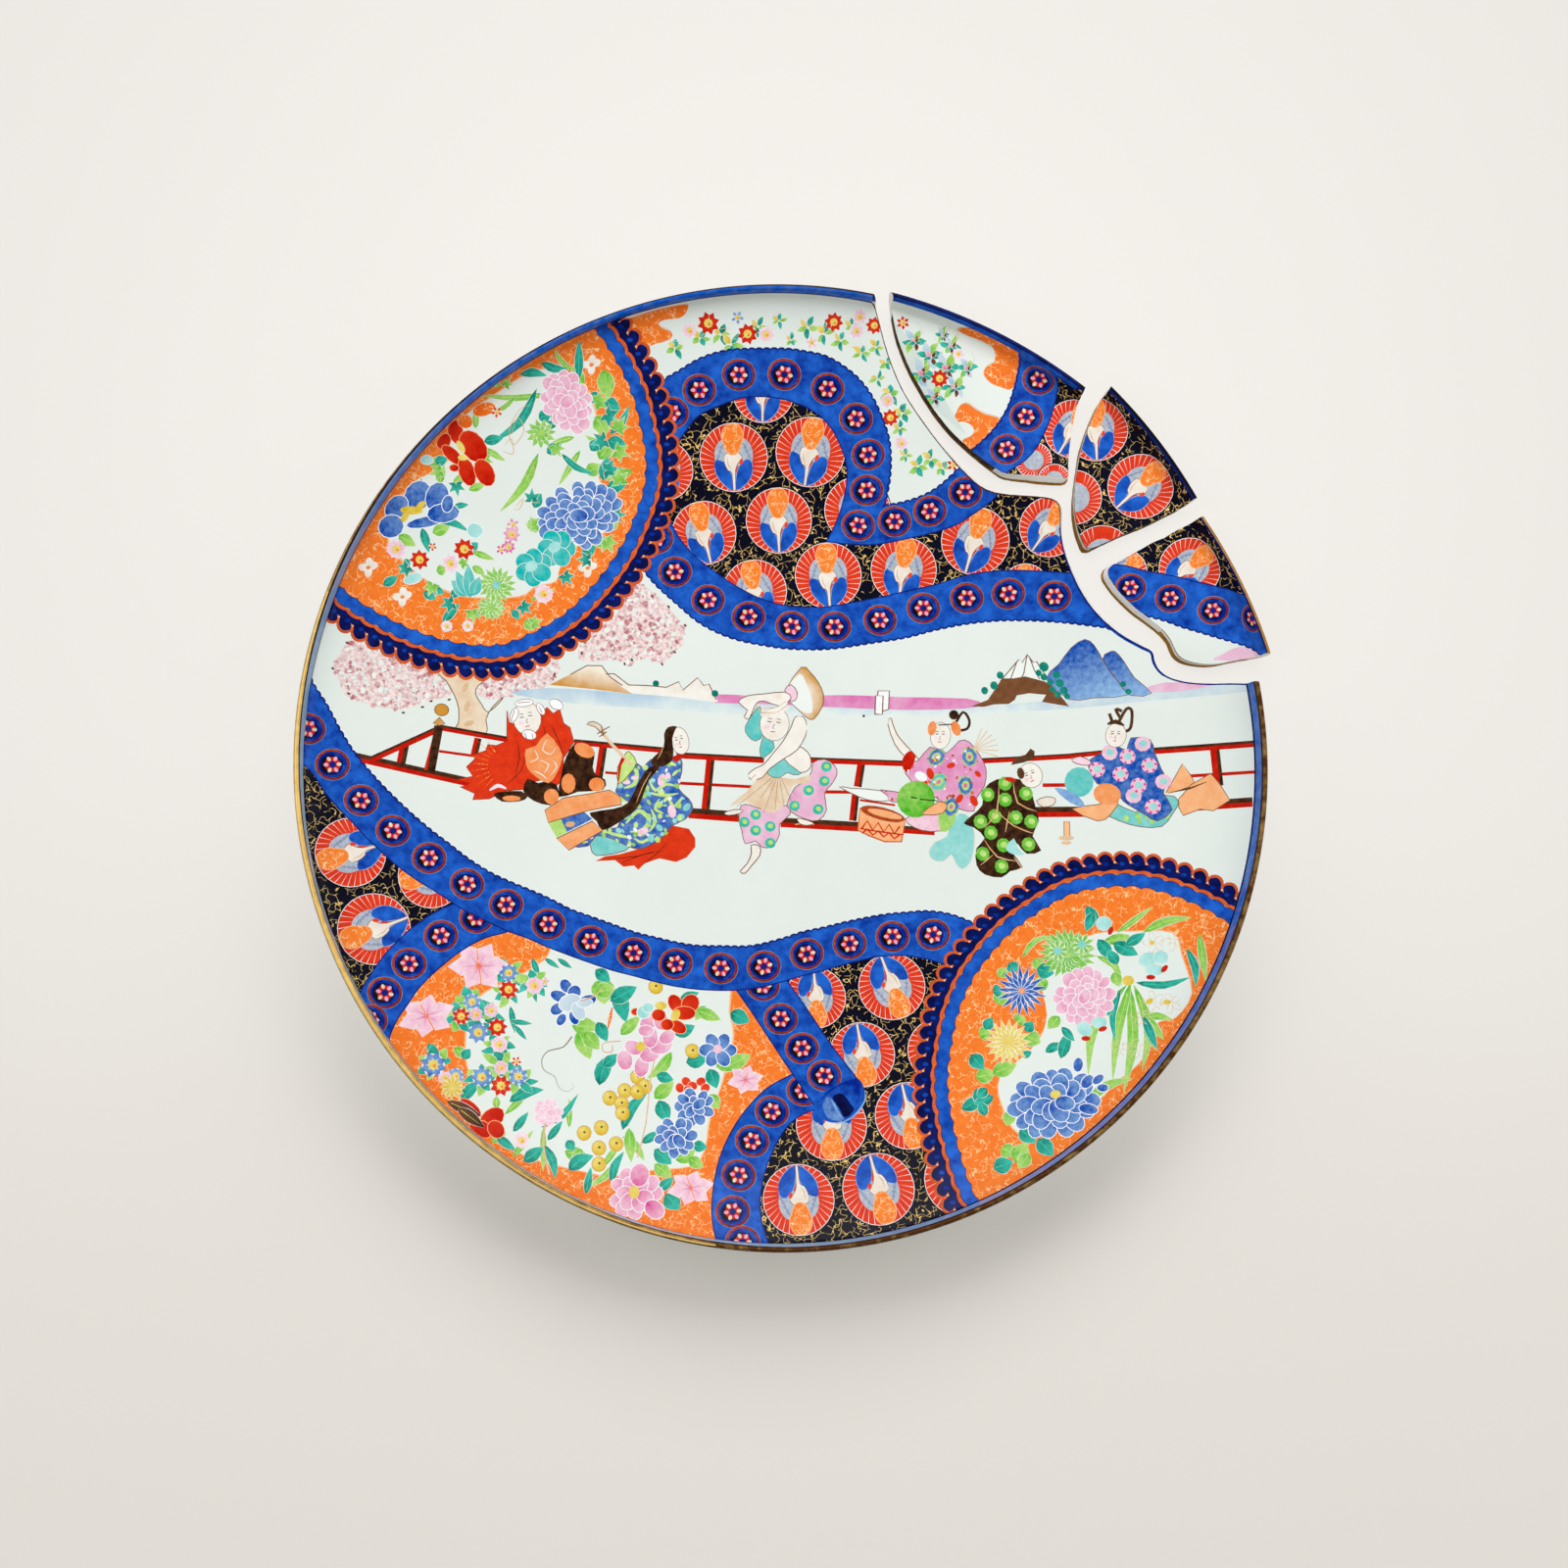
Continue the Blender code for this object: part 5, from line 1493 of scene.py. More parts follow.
def fence(p):
    """The red veranda rail behind the figures."""
    for row in plot("""
    -163,6.2,-145,4.2,1.3 -84,-2.6,-76,-3.2,1.3 -50,-7.4,-13,-9,1.5 20,-11.2,36,-11.2,1.6
    126,-7.4,138,-7.4,1.8 194,-4,226,-2.8,1.6 55,-17.4,38,-15,1"""):
        rail(p, *row)
    for row in plot("""
    -144.6,13,-146.6,4,3.4,.45 -179,9.6,-181,-1.5,4.2,.5 -85,10,-87.4,-7,3.8,.45
    -33.6,5,-36,-20,4,.4 39,4,37,-8.6,3.8,.4 36,-12,34.6,-25,3.6,.4 207,8.6,208.6,-9,4.4,.35"""):
        rail(p, *row)
    for row in plot("""
    -163,17.6,-129,12.4,2.8,.4 -99,12,-54,8.2,2.8,.4 -50,6,-8,4,3,.35 12,4.2,60,2.8,2.8,.3
    97,4.4,140,6.6,2.6,.3 138,6.6,160,8.6,2.4,.3 176,8.4,226,10.8,3.2,.4 -205,2.6,-148,-8.4,4.2,.5
    -44,-21.8,-16,-23.8,5,.5 0,-26,44,-28.2,4.6,.5 58,-29,74,-30,3.6,.4 122,-20.4,150,-20.4,5,.5
    196,-18.6,224,-17.2,4.6,.5 -196,.4,-165,16,3,.35"""):
        rail(p, *row)
    shape(p, "iron_red", plot("-165,17 -162.4,17 -166.6,-3 -170,-3"), 0.8, None, 0.3, 0)
    shape(p, "manganese", plot("-165.4,18.5 -161,18.5 -164.8,-4 -168.4,-3.6"), 0.85, None, 0.3, 0)
    shape(p, "ochre", plot("-166,19.5 -163,22.4 -160.4,19.4 -163,18.4"), 1.0, "manganese", 0.4, 0)
    p.area("manganese", oval((-162, 26), 3.1, 1.15, 90, 12), 0.1)
    p.area("ochre", oval((-162, 26), 2.7, 1.15, 90, 12), 1.0)


def red_robed_figure(p):
    """An old man in a red robe, seated at the left."""
    rays = plot("""
    -131,27 -130,21 -127,20 -122,14 -118,13 -117,22 -115.4,25 -112,28.5 -109,25.6 -106,28 -104,21
    -101,19 -99,12 -104,4 -104,-6 -107,-9 -113,-6 -120,-8 -121,-11 -131,-12 -139,-16 -147,-16.6
    -146,-13.6 -153,-10.6 -148,-9 -154,-7 -147,-5.4 -150,-1 -146,3 -147,5 -141,7 -140,10 -136,9.6
    -131,12""")
    shape(p, "iron_red", rays, 0.5, None, 0.3, 0)
    p.edge("iron_red_line", rays, 0.4, 0.9)
    for k in range(9):
        a = 125 + 13 * k
        p.line("orange_ground", [polar(8, a) + (-132, 0), polar(15 + k % 2 * 2, a) + (-132, 0)], 0.5,
               0.9, "tail")
    for points in plot("""
    -126:12,-125:4,-127:-4 -110:20,-107:14,-104:6 -114:20,-112:12,-116:8 -122:6,-124:-2,-131:-9"""):
        p.line("iron_red_line", curve(points, steps=2), 0.6, 0.95, "brush")
    shape(p, "manganese", plot("""
    -103,4 -99,11 -93,10 -89,7 -90,0 -88,-4 -84,-6 -85,-11 -97,-12 -106,-14.6 -105,-4"""), 0.9)
    shape(p, "manganese",
          plot("-121,-6 -116,-8 -112,-7 -107,-9 -106,-15 -110,-18.6 -118,-16.6 -123,-12"), 0.9)
    shape(p, "manganese", plot("-137,-14 -134,-12.6 -124,-12 -121,-15 -125,-17 -133,-17.2"), 0.85)
    for x, y, a, b, turn in plot("""
    -94,8,5.2,3.3,-25 -101.5,-8,3.4,4.8,0 -88,-8.4,3.8,3.4,0 -109.6,-14.4,3.6,3.8,0
    -128.5,-15.6,4.4,1.4,0"""):
        p.area("pale_orange", oval((x, y), a, b / a, turn, 12), 0.8)
    shape(p, "pale_orange", plot("""
    -112,16 -106,9 -104.6,4 -107,-3 -111,-8 -117,-5 -121,-1 -122,3 -122,8 -117,10"""), 0.72)
    for points in (plot("-112,13 -114,8 -110,6 -108,9"), plot("-118,8 -116,4 -120,2"),
                   plot("-115,3 -111,1 -113,-3"), plot("-109,3 -107,0 -110,-4"),
                   plot("-118,-2 -114,-4 -112,-6")):
        p.line("sand_wash", curve(points, steps=2), 0.6, 0.2, "brush")
    p.line("mist_wash", curve(plot("-139,-12 -135,-9.6 -131,-11"), steps=3), 1.8, 0.05, "brush")
    head(p, -121.5, 23, 6.6, 8.0, 8)
    for x, y, a, b, turn in plot("""
    -127.6,24.6,3.4,1.7,70 -123,30.4,4.4,1.7,8 -115,27.6,3,1.5,-60 -120.4,15.2,3.4,2.2,-14
    -107.6,30,3.4,2.2,-30"""):
        p.area("manganese", oval((x, y), a + 0.2, (b + 0.2) / a, turn, 12), 0.1)
        p.area("white_enamel", oval((x, y), a, b / a, turn, 12), 0.1)
    for points in plot("""
    -129:22,-127.4:27 -126:30.4,-120:31 -122.6:16,-121.6:13.4 -119:15.8,-118.6:13.4
    -116:29,-114.4:26"""):
        p.line("manganese", points, 0.3, 0.1)


def long_haired_figure(p):
    """A seated figure with long hair and a flowered robe."""
    shape(p, "iron_red", plot("""
    -52,-28 -44,-29.5 -41,-34 -41,-38 -45,-43 -50,-45.2 -58,-43.5 -65,-46 -68,-49 -70,-47
    -75,-47.6 -79,-44.5 -88,-45 -84,-43 -77,-42
    -70,-40 -62,-37 -55,-32"""), 0.5, "iron_red_line", 0.4, 1)
    for points in plot("-84:-44,-70:-43,-60:-40 -76:-46,-66:-42,-56:-40 -66:-47,-60:-42,-54:-36"):
        p.line("iron_red_line", curve(points, steps=2), 0.5, 0.95, "brush")
    shape(p, "turquoise", plot("-91,-31 -80,-34 -72,-36 -74,-40 -85,-42.4 -90,-41"), 0.6, "manganese")
    robe = plot("""
    -79,-12 -76,-4 -75,0 -69,2 -66,0 -62,4 -55,3 -48,5 -47.4,-2 -49,-10 -44,-15 -42,-20 -46,-25
    -52,-28 -57,-34 -66,-39 -73,-38 -80,-34.6 -88,-33 -92,-38 -100,-38 -96,-33 -88,-30 -78,-29
    -76,-22 -71,-18""")
    shape(p, "blue_enamel", robe, 0.8, "manganese")
    for points, width in ((plot("-73,0 -69,-2 -70,-8 -75,-10"), 3.4),
                          (plot("-59,1 -54,2.4 -50,1"), 3.6),
                          (plot("-63,-6 -60,-11 -55,-8 -50,-9"), 2.6),
                          (plot("-64,-12 -56,-13.4 -49,-12.4"), 2.4),
                          (plot("-58,-15 -60,-20 -56,-22"), 2.4),
                          (plot("-54,-14 -51,-19 -47,-14"), 3.0),
                          (plot("-74,-27 -68,-21 -63,-25 -66,-30 -72,-31"), 3.4),
                          (plot("-62,-20 -60,-26 -63,-31"), 2.6),
                          (plot("-84,-31 -78,-32.6 -71,-34"), 2.6),
                          (plot("-70,-34 -66,-36 -60,-32"), 2.4), (((-98, -36), (-92, -36)), 2.4),
                          (((-78, -14), (-74, -17)), 2.6), (((-52, -4), (-49, -1)), 2.4)):
        p.line("leaf_green", curve(points, steps=3), width * 0.62, 0.15, "brush")
    for x, y, a in plot("""
    -57,-6,3.2 -54,-4.6,2.4 -52,-21,3.4 -66,-31,3.2 -62,-2,2.2 -74,-7,2.2 -70,-5,1.8"""):
        p.area("rose", oval((x, y), a, 0.6, x * 5, 8), 0.18)
    for x, y, a in plot("-62,-34,2.2 -48,-24,2.4 -45,-19,2.2 -77,-9,1.8 -58,-29,2"):
        p.area("turquoise", oval((x, y), a, 0.7, x * 7, 8), 0.5)
    dabs(p, "leaf_green", robe, 5.2, 1.5, 0.3, 73, 0.8)
    dabs(p, "turquoise", robe, 7.0, 1.4, 0.4, 74, 0.7)
    dabs(p, "white_enamel", robe, 8.0, 1.1, 0.2, 75, 0.7)
    shape(p, "blue_enamel", plot("-111,-27 -94,-21.5 -90,-25 -107,-34"), 0.8, None, 0.3, 0)
    shape(p, "leaf_green", plot("-111,-27 -105,-25 -102,-31.4 -107,-34"), 0.3, None, 0.3, 0)
    shape(p, "pale_orange", plot("""
    -112.6,-21 -104,-15 -92,-13 -82,-11 -77,-14 -76,-18
    -84,-19.4 -92,-21 -111,-27"""), 0.6, "manganese", 0.4, 0)
    shape(p, "pale_orange", plot("-107,-34.5 -90,-26 -85,-30.5 -101,-40"), 0.55, "manganese", 0.5, 0)
    p.area("ochre", oval((-100.5, -27.6), 2.4, 0.6, 10, 8), 0.8)
    shape(p, "leaf_green", plot("-77.6,-8 -78,0 -74,7 -72,7 -69,2 -73,-4"), 0.15, "manganese")
    p.line("ochre", plot("-87,18 -80,10 -71.6,1"), 1.6, 0.45)
    shape(p, "sand_wash", plot("-93,20.6 -90,22 -86,20 -83.6,17 -86,16.6 -89,19.4"), 0.6, "manganese",
          0.4)
    for ends in plot("-88:16,-82:19.6 -87:14.6,-83.4:17 -86:20,-85:15"):
        p.line("manganese", ends, 0.5, 0.3)
    p.line("iron_red", plot("-75.4,4.4 -77,1 -78,-10"), 1.8, 0.9, "tail")
    head(p, -48.4, 13, 4.2, 6.6, 12)
    p.area("iron_red", oval((-50, 4.4), 2.0, 0.8, 0, 8), 0.9)
    shape(p, "manganese", plot("""
    -50,20 -54,19.6 -56,16 -56,10 -61,5 -62,1.4 -57,.4 -52.4,3 -51.4,8 -52,14 -50.4,18.6"""), 0.9)
    shape(p, "manganese", plot("""
    -61,1 -58,0 -63,-6 -66,-14 -69,-20 -77,-26.4 -85,-30.4 -88,-26 -91.4,-22 -80,-20 -73,-17
    -69,-9 -65,-2"""), 0.9)
    for points in (plot("-59,4 -57,8 -56,12"), plot("-62,-2 -66,-9 -69,-17")):
        p.line("ochre", curve(points, steps=2), 0.45, 0.8, "brush")


def dancer(p):
    """The dancing figure with a fan in the middle of the scene."""
    shape(p, "ochre", plot("2.5,38 10,49.2 14,47 18,42 20.6,36 20,30 16,24 13,24.5 9,28 4,33"),
          around((6, 34), 15, -0.9, 1.0), "manganese", 0.4)
    shape(p, "white_glaze", plot("3,38 9,46 12,42 15,34 15,27 10,28 4,33"), 0.0)
    shape(p, "rose", plot("2,38 5,40.6 8,37 7,33 4,33"), 0.22, "manganese")
    for points, wash in ((plot("-17,20 -13,27 -10,30 -9,24 -8,17 -12,13 -16,16"), 0.75),
                         (plot("-10,9 -8,16 -5,15 -3,10 -7,6 -9,5"), 0.75)):
        shape(p, "turquoise", points, wash, "manganese", 0.35)
    shape(p, "sand_wash",
          plot("-20.4,32 -16,35 -8,36 2,37 5,34 0,30 -8,32.6 -12,31 -15,24 -17.6,25 -16,28"), 0.05,
          "manganese", 0.45)
    for points, wash in ((plot("""
    15,-1 15.6,3 21,4.6 26,1.6 27,-3 24,-8 21,-12 22,-20 18,-25
    12,-24.4 5,-21 3,-17 7,-9 12,-6"""), 0.5),
                         (plot("""
    -19,-18 -14,-18 -8,-20 -3,-18 3,-18 4.6,-22 -.6,-27 -.6,-32 -4,-37.6 -9,-38 -12,-35 -17,-36.4
    -18.6,-30 -20,-25"""), 0.45)):
        shape(p, "mist_wash", points, wash, "manganese")
    spots(p, plot("22,1 21,-6 13.4,-10.5 6.6,-18 18,-19.6 -5,-28 -12,-30 -5,-36 -12,-22.4 -17.4,-26"),
          "deep_green", "leaf_green", 2.7, (0.35, 0.3))
    shape(p, "ochre", plot("""
    -8,-2 -1,-4 7,-5 14,-3 13,-7 6,-8 3,-15 1,-18 -3,-21.4 -8,-20.4 -17,-16 -25,-18.6 -16,-11"""), 0.42)
    for k in range(13):
        a = 212 + 7.5 * k
        tip = polar(15 + 3 * (k % 3) + (8 if k < 3 else 0), a) + (-1, -2)
        p.line("manganese" if k % 2 else "sand_wash", [polar(3, a) + (-1, -2), tip], 0.55, 0.3 if k % 2
               else 0.5, "brush")
    shape(p, "sand_wash", plot("1,4 3,9 8,11 13,8 14.6,4 14,0 10,-2 5,0"), 0.04, "manganese", 0.45)
    shape(p, "turquoise", plot("-6,-3 -6,2 -2,4 1,5.4 4,2 10,-2.4 6,-3 3,-2 -1,-4.6"), 0.6, "manganese",
          0.35)
    shape(p, "sand_wash", plot("""
    11,25 7,25 5,20 1,13 -3,8 -8,2 -12,0 -15.6,-3 -14,-5.6 -9,-4.6
    -5,0 2,5 8,9 12,16 12.6,21"""), 0.04, "manganese", 0.45)
    for points in (((-12, 31), (-9, 27)), ((-14, -5), (-12, -3)), plot("7,-27 13,-26 16,-27")):
        p.line("ochre", points, 0.5, 0.7)
    head(p, -3, 21.4, 7.0, 8.0, -8)
    for points in (plot("-9.6,26 -2,26.4 4,30"), plot("-9.4,28 -2,28.6 3,32")):
        p.line("sand_wash", curve(points, steps=3), 1.4, 0.1)
        p.line("ochre", moved(curve(points, steps=3), 0.8), 0.3, 0.7)
    shape(p, "sand_wash",
          plot("-14,-37 -10,-37.6 -10,-42 -14,-47 -17,-50.6 -19.4,-49.6 -16,-46 -14,-41"), 0.06,
          "manganese", 0.5)
    shape(p, "sand_wash", plot("8,-24 13,-25 16,-26.6 12,-27.4 9,-26.4"), 0.06, "manganese", 0.4)
    shape(p, "sand_wash", plot("-27,-21.6 -22,-20 -18,-20.4 -20,-22 -25,-22.8"), 0.1, "manganese", 0.4)


def drummer(p):
    """The kneeling figure in a pink robe with a hand drum, and the red laced drum."""
    shape(p, "pale_orange", plot("38,-19 60,-24 58,-35 50,-35 42,-32 37,-29.5"), 0.35, "iron_red_line",
          0.7, 1)
    p.area("iron_red_line", oval((49, -21.6), 11, 0.28, -14, 16), 0.6)
    p.area("pale_orange", oval((50, -21.6), 8.6, 0.2, -13, 14), 0.4)
    zigzag = [(39 + 2.6 * k, (-24.6 if k % 2 else -28.6) - 0.42 * k) for k in range(8)]
    p.line("iron_red", zigzag, 0.9, 0.7)
    p.line("iron_red", [(x, y - 3.2 - (0.8 if k % 2 else -0.8)) for k, (x, y) in enumerate(zigzag)],
           0.9, 0.7)
    p.line("iron_red", curve(plot("38,-28.6 46,-30 59,-31.6"), steps=2), 0.7, 0.8)
    shape(p, "sand_wash", plot("53,25 51.6,22 55,12 60,6 66,1 68,3 60,12 56,17 54,22"), 0.1,
          "manganese", 0.45)
    shape(p, "rose", plot("60,-24 68,-20 76,-20 80,-28 72,-30 64,-28"), 0.25, "manganese")
    shape(p, "leaf_green", plot("76,-20 84,-21 82,-28 77,-30"), 0.5)
    robe = plot("""
    60,-2 61,4 66,4 72,11 80,8 86,14 91,13.4 96,7 99,0 98,-8 94,-14 93,-20 86,-19 78,-16 72,-12
    62,-12 48,-10 50,-14 58,-16 64,-8""")
    shape(p, "mist_wash", robe, 0.72, "manganese")
    shape(p, "iron_red", plot("59,0 58.6,5 62,9 65,6 62,-1"), 0.9)
    for x, y, pigment in plot("""
    91,6.4,blue_enamel 89,-7.6,blue_enamel 75,6,blue_enamel 82,-18,blue_enamel 76,-6,turquoise"""):
        p.area(pigment, oval((x, y), 4.6, 0.8, x * 3, 10), 0.75)
        p.edge("leaf_green", oval((x, y), 4.6, 0.8, x * 3, 10), 0.8, 0.5)
        p.area("leaf_green", oval((x, y), 2.5, 0.8, x * 3, 8), 0.3)
        p.area("rose", oval((x, y), 1.3, 0.8, x * 3, 6), 0.8)
    dabs(p, "iron_red_line", robe, 4.6, 0.9, 0.4, 76, 0.6)
    dabs(p, "white_enamel", robe, 5.4, 0.8, 0.2, 77, 0.6)
    for x, y, a in plot("69,-8,3.2 72,-2,3 93,-15,3 95,-2,2 70,-14,2.4 86,-14,2.6 82,2,2.2"):
        p.area("iron_red", oval((x, y), a, 0.6, x * 9, 8), 0.5)
    p.area("white_enamel", oval((67.5, -3.4), 3.2, 0.7, -30, 9), 0.1)
    shape(p, "white_glaze", plot("28,-8.6 34,-9.4 48,-10.4 52,-15 45,-15.4 38,-13.6"), 0.0, "manganese")
    p.area("leaf_green", oval((65, -14.4), 9.2, 0.96, 20, 18), around((62, -11), 12, 0.6, 0.95))
    p.line("black_enamel", [(62.6, -13.4), (65.6, -14)], 1.8, 0.9, "brush")
    p.line("black_enamel", [(67, -14.4), (76, -15.2)], 1.7, 0.9, "brush")
    shape(p, "pale_orange", plot("68,-21 76,-15.6 80,-17 78,-21 72,-22"), 0.4, "manganese")
    for k in range(7):
        a = 100 - 22 * k
        p.line("ochre", [(93, 10), polar(12, a * 0.62 + 8) + (93, 9)], 0.5, 0.45 + 0.1 * (k % 2))
    p.line("manganese", curve(plot("84,22 88,28 91,24 90,20 86,19"), steps=3), 1.3, 0.85)
    p.area("manganese", oval((83.5, 26.6), 2.4, 1.0, 0, 9), 0.85)
    head(p, 77, 16.4, 4.8, 6.4, -6)
    for x, y, a, turn in ((73, 20, 3.6, 80), (84.5, 20, 3.8, 110)):
        p.area("pale_orange", oval((x, y), a, 0.6, turn, 9), 0.85)
    p.line("manganese", [(76, 21.6), (82.6, 22)], 1.9, 0.9, "brush")


def brown_robed_figure(p):
    """The figure in brown and green, bent forward by the lamp."""
    shape(p, "turquoise", plot("""
    86,-21 91,-23 93,-30 93,-37 91,-45 87,-48 84,-45.4 82,-41 78,-44.4 73,-43.6 71,-40 74,-35
    80,-32 81,-26"""), 0.42, "sand_wash", 0.4)
    robe = plot("""
    97,-17 98,-9 104,-4.6 112,-4 118,-6 121,-12 123,-20 124,-25 121,-32 125,-39 118,-40.6 114,-36
    111,-35 112,-41 116,-47 110,-49 106,-52 98,-50.6 94,-46 94,-38 98,-33 93,-28 88,-26 92,-22""")
    shape(p, "manganese", robe, 0.88)
    spots(p, plot("""
    108,-14.4 118,-11.4 99.6,-12 103,-22.4 113,-23 120.4,-25 101,-30.4 107,-36.4 119,-36 97,-40.6
    106,-46.6 96,-25 108,-6.6"""), "leaf_green", "leaf_green", 3.5, (0.85, 0.25))
    for points in (plot("105,-8 104,-20 98,-28"), plot("112,-6 114,-16 123,-20"),
                   plot("104,-20 112,-27 122,-31"), plot("98,-34 104,-42 113,-44"),
                   ((110, -20), (108, -30)), ((96, -46), (102, -41)), ((116, -48), (112, -42))):
        p.line("ochre", curve(points, steps=2), 0.7, 0.75, "brush")
    shape(p, "turquoise", plot("112,-33 114,-38 117,-41 112,-41 108,-38"), 0.2)
    p.area("iron_red", oval((110.6, -4.6), 3, 0.4, -10, 8), 0.8)
    shape(p, "sand_wash", plot("123,-15 128,-13 132,-14 131,-17 126,-18"), 0.3, "manganese", 0.4)
    head(p, 120.4, -2.6, 5.4, 6.0, 20)
    p.area("manganese", oval((115.6, -1.6), 1.8, 1.6, 10, 9), 0.6)
    shape(p, "manganese", plot("111,2.4 113,6 118,7.4 120.4,10.4 122.4,9 122,5.4 117,3.6"), 0.6, None,
          0.3, 1)
    shape(p, "pale_orange", plot("136,-25 138.6,-25 138.8,-33 136,-33"), 0.15, "manganese", 0.35, 0)
    for y, a in ((-33, 3.8), (-35.4, 2.6)):
        p.area("ochre", oval((137, y), a, 0.34, 0, 10), 0.5)


def blue_robed_figure(p):
    """The seated figure in a blue robe at the right."""
    for points in (plot("184,-12 192,2 196,-4 198,-8 190,-11"),
                   plot("190,-15 196,-8 205,-3 209,-8 213.6,-16 206,-21 200,-20 192,-23 190,-19")):
        shape(p, "pale_orange", points, 0.32, "manganese", 0.4, 1)
    p.line("manganese", plot("185,-12 195,-10 203,-7"), 0.9, 0.7, "brush")
    shape(p, "turquoise",
          plot("154,-20 160,-16 170,-21 184,-13 190,-16 187,-22 182,-28 172,-28 162,-25"), 0.62,
          "manganese")
    dabs(p, "leaf_green", plot("156,-20 170,-22 186,-16 184,-26 164,-26"), 3.4, 1.8, 0.4, 71, 0.8)
    shape(p, "pale_orange", plot("140,-19 152,-17 162,-15 158,-22 152,-25"), 0.35, "manganese")
    robe = plot("""
    148,1 149,5 156,9 160,12 166,9 168,15 177,14 179,8 182,0 184.6,-6 183,-12 187,-20 180,-25.4
    174,-22 166,-17 163,-14 160,-8 152,-7""")
    shape(p, "blue_enamel", robe, 0.88, "manganese")
    spots(p, plot("""
    152,0 163,-2.4 166.4,6 176.6,1.6 171.4,-8 178,-18.4
    173.6,12 158,8 183,-6.4 169,-13"""), "rose", "turquoise", 3.9, (0.3, 0.35))
    for x, y in plot("152,0 163,-2.4 166.4,6 176.6,1.6 171.4,-8 178,-18.4"):
        for k in range(6):
            p.area("rose", oval(polar(3.0, 60 * k + 10) + (x, y), 0.75, 1.0, 0, 5), 0.95)
    p.area("turquoise", oval((143.4, -6), 6.9, 1.05, 0, 15), 0.75)
    for k in range(8):
        p.line("leaf_green", [polar(2, 45 * k) + (143.4, -6), polar(5.8, 45 * k + 12) + (143.4, -6)],
               1.6, 0.4, "leaf")
    shape(p, "blue_enamel", plot("131.6,-9 137,-9.6 143,-13 146,-18 139,-16"), 0.4)
    p.area("pale_orange", oval((156.6, -12), 6.6, 0.8, -10, 13), 0.7)
    shape(p, "rose", plot("140,5 144,6.4 149,4 148,2 142,3"), 0.12, "manganese", 0.4)
    for points in (((158, 27), (160, 21)), plot("162,22 166,29 168.6,28 168,20 165,18"),
                   plot("163.6,24 161,29 164,28")):
        p.line("manganese", curve(points, steps=3), 1.5, 0.7)
    head(p, 161, 16.4, 4.8, 5.8, -6)
    p.line("manganese", curve(plot("157,21.8 161,23 165,21"), steps=2), 2.2, 0.75, "brush")


def figures(p):
    """The company on the veranda, from left to right."""
    red_robed_figure(p)
    long_haired_figure(p)
    dancer(p)
    brown_robed_figure(p)
    drummer(p)
    blue_robed_figure(p)


# --- The decoration, in the order it is laid ----------------------------------------------

UPPER_STUDS = plot("""
    -53,171 -40,182 -21,189.5 1,190 22,183.5 36,169.5 42,152.5 41.5,135.5 37.5,118.5 55,120.5
    72,125.5 89,134.5 123.5,186.5 117.5,168.5 108,152.5""")
MIDDLE_STUDS = plot("""
    -60,111 -51,95 -35,81.5 -15.5,73.5 5.5,69 26,69 48,72.5 69,78.5 90,83.5 110,85.5 132,84
    162.5,89 181.5,82.7 201.5,75.7 222.5,70.5""")
LOWER_STUDS = plot("""
    -224,14.5 -212.5,-2 -199,-18.5 -184,-32.5 -167,-45 -149,-57 -130.5,-66.5 -110.5,-75.5
    -90.5,-83.5 -70,-89 -50,-94 -28.5,-96 -8,-95 12.5,-89 33,-84 53.5,-80.5 73,-79.5""")
SIDE_STUDS = plot("-144.5,-73 -161,-82 -175.5,-95.5 -186.5,-109.5 -193,-122.5")
STRAIGHT_STUDS = plot("-8.5,-104 0,-120 10,-134 20.5,-147")
FOOT_STUDS = plot("10.5,-154 -4.5,-164 -14,-178 -20.5,-194 -23.5,-211 -19,-225")

# Roundels as x, y, radius and turn.
UPPER_ROUNDELS = {"plate_main": plot("""
    -23,150.5,16.5,3 14,153.5,16.8,-8 -1,120.5,16,2 -37,114,15.5,14 -9,182,15,0 -12.5,86,15.5,10
    23,94,16.2,4 59.5,97,16,-8 94,111,16.5,-16 -57,143.5,14.5,0 37,126,16,0 118,88.5,11.5,0
    129.5,117.3,14.5,-35"""),
                  "shard_upper": ((140.5, 162, 14.5, -30), (121, 147, 9, 0, False),
                                  (131, 137, 8, 0, False)),
                  "shard_middle": ((142.5, 159.5, 15.5, 8), (166.5, 133.5, 16, -42),
                                   (135, 125.5, 13.5, 0, False), (151, 98, 15, 0, False)),
                  "shard_lower": ((191.5, 97, 15, -52), (160, 97, 11, -50)),}
LEFT_ROUNDELS = plot("-203.5,-43.5,16.5,108 -192,-79.5,17,112 -166,-53.5,15.5,100")
LOWER_ROUNDELS = plot("""
    16.5,-110,14.6,184 53,-104.5,16,200 38.5,-137,15.6,190 23.5,-170.5,16.8,180 60,-166,16,192
    7.5,-205.5,16.8,184 45,-200.5,17,194 75.5,-135,15.5,190 84,-196,17.5,190""")

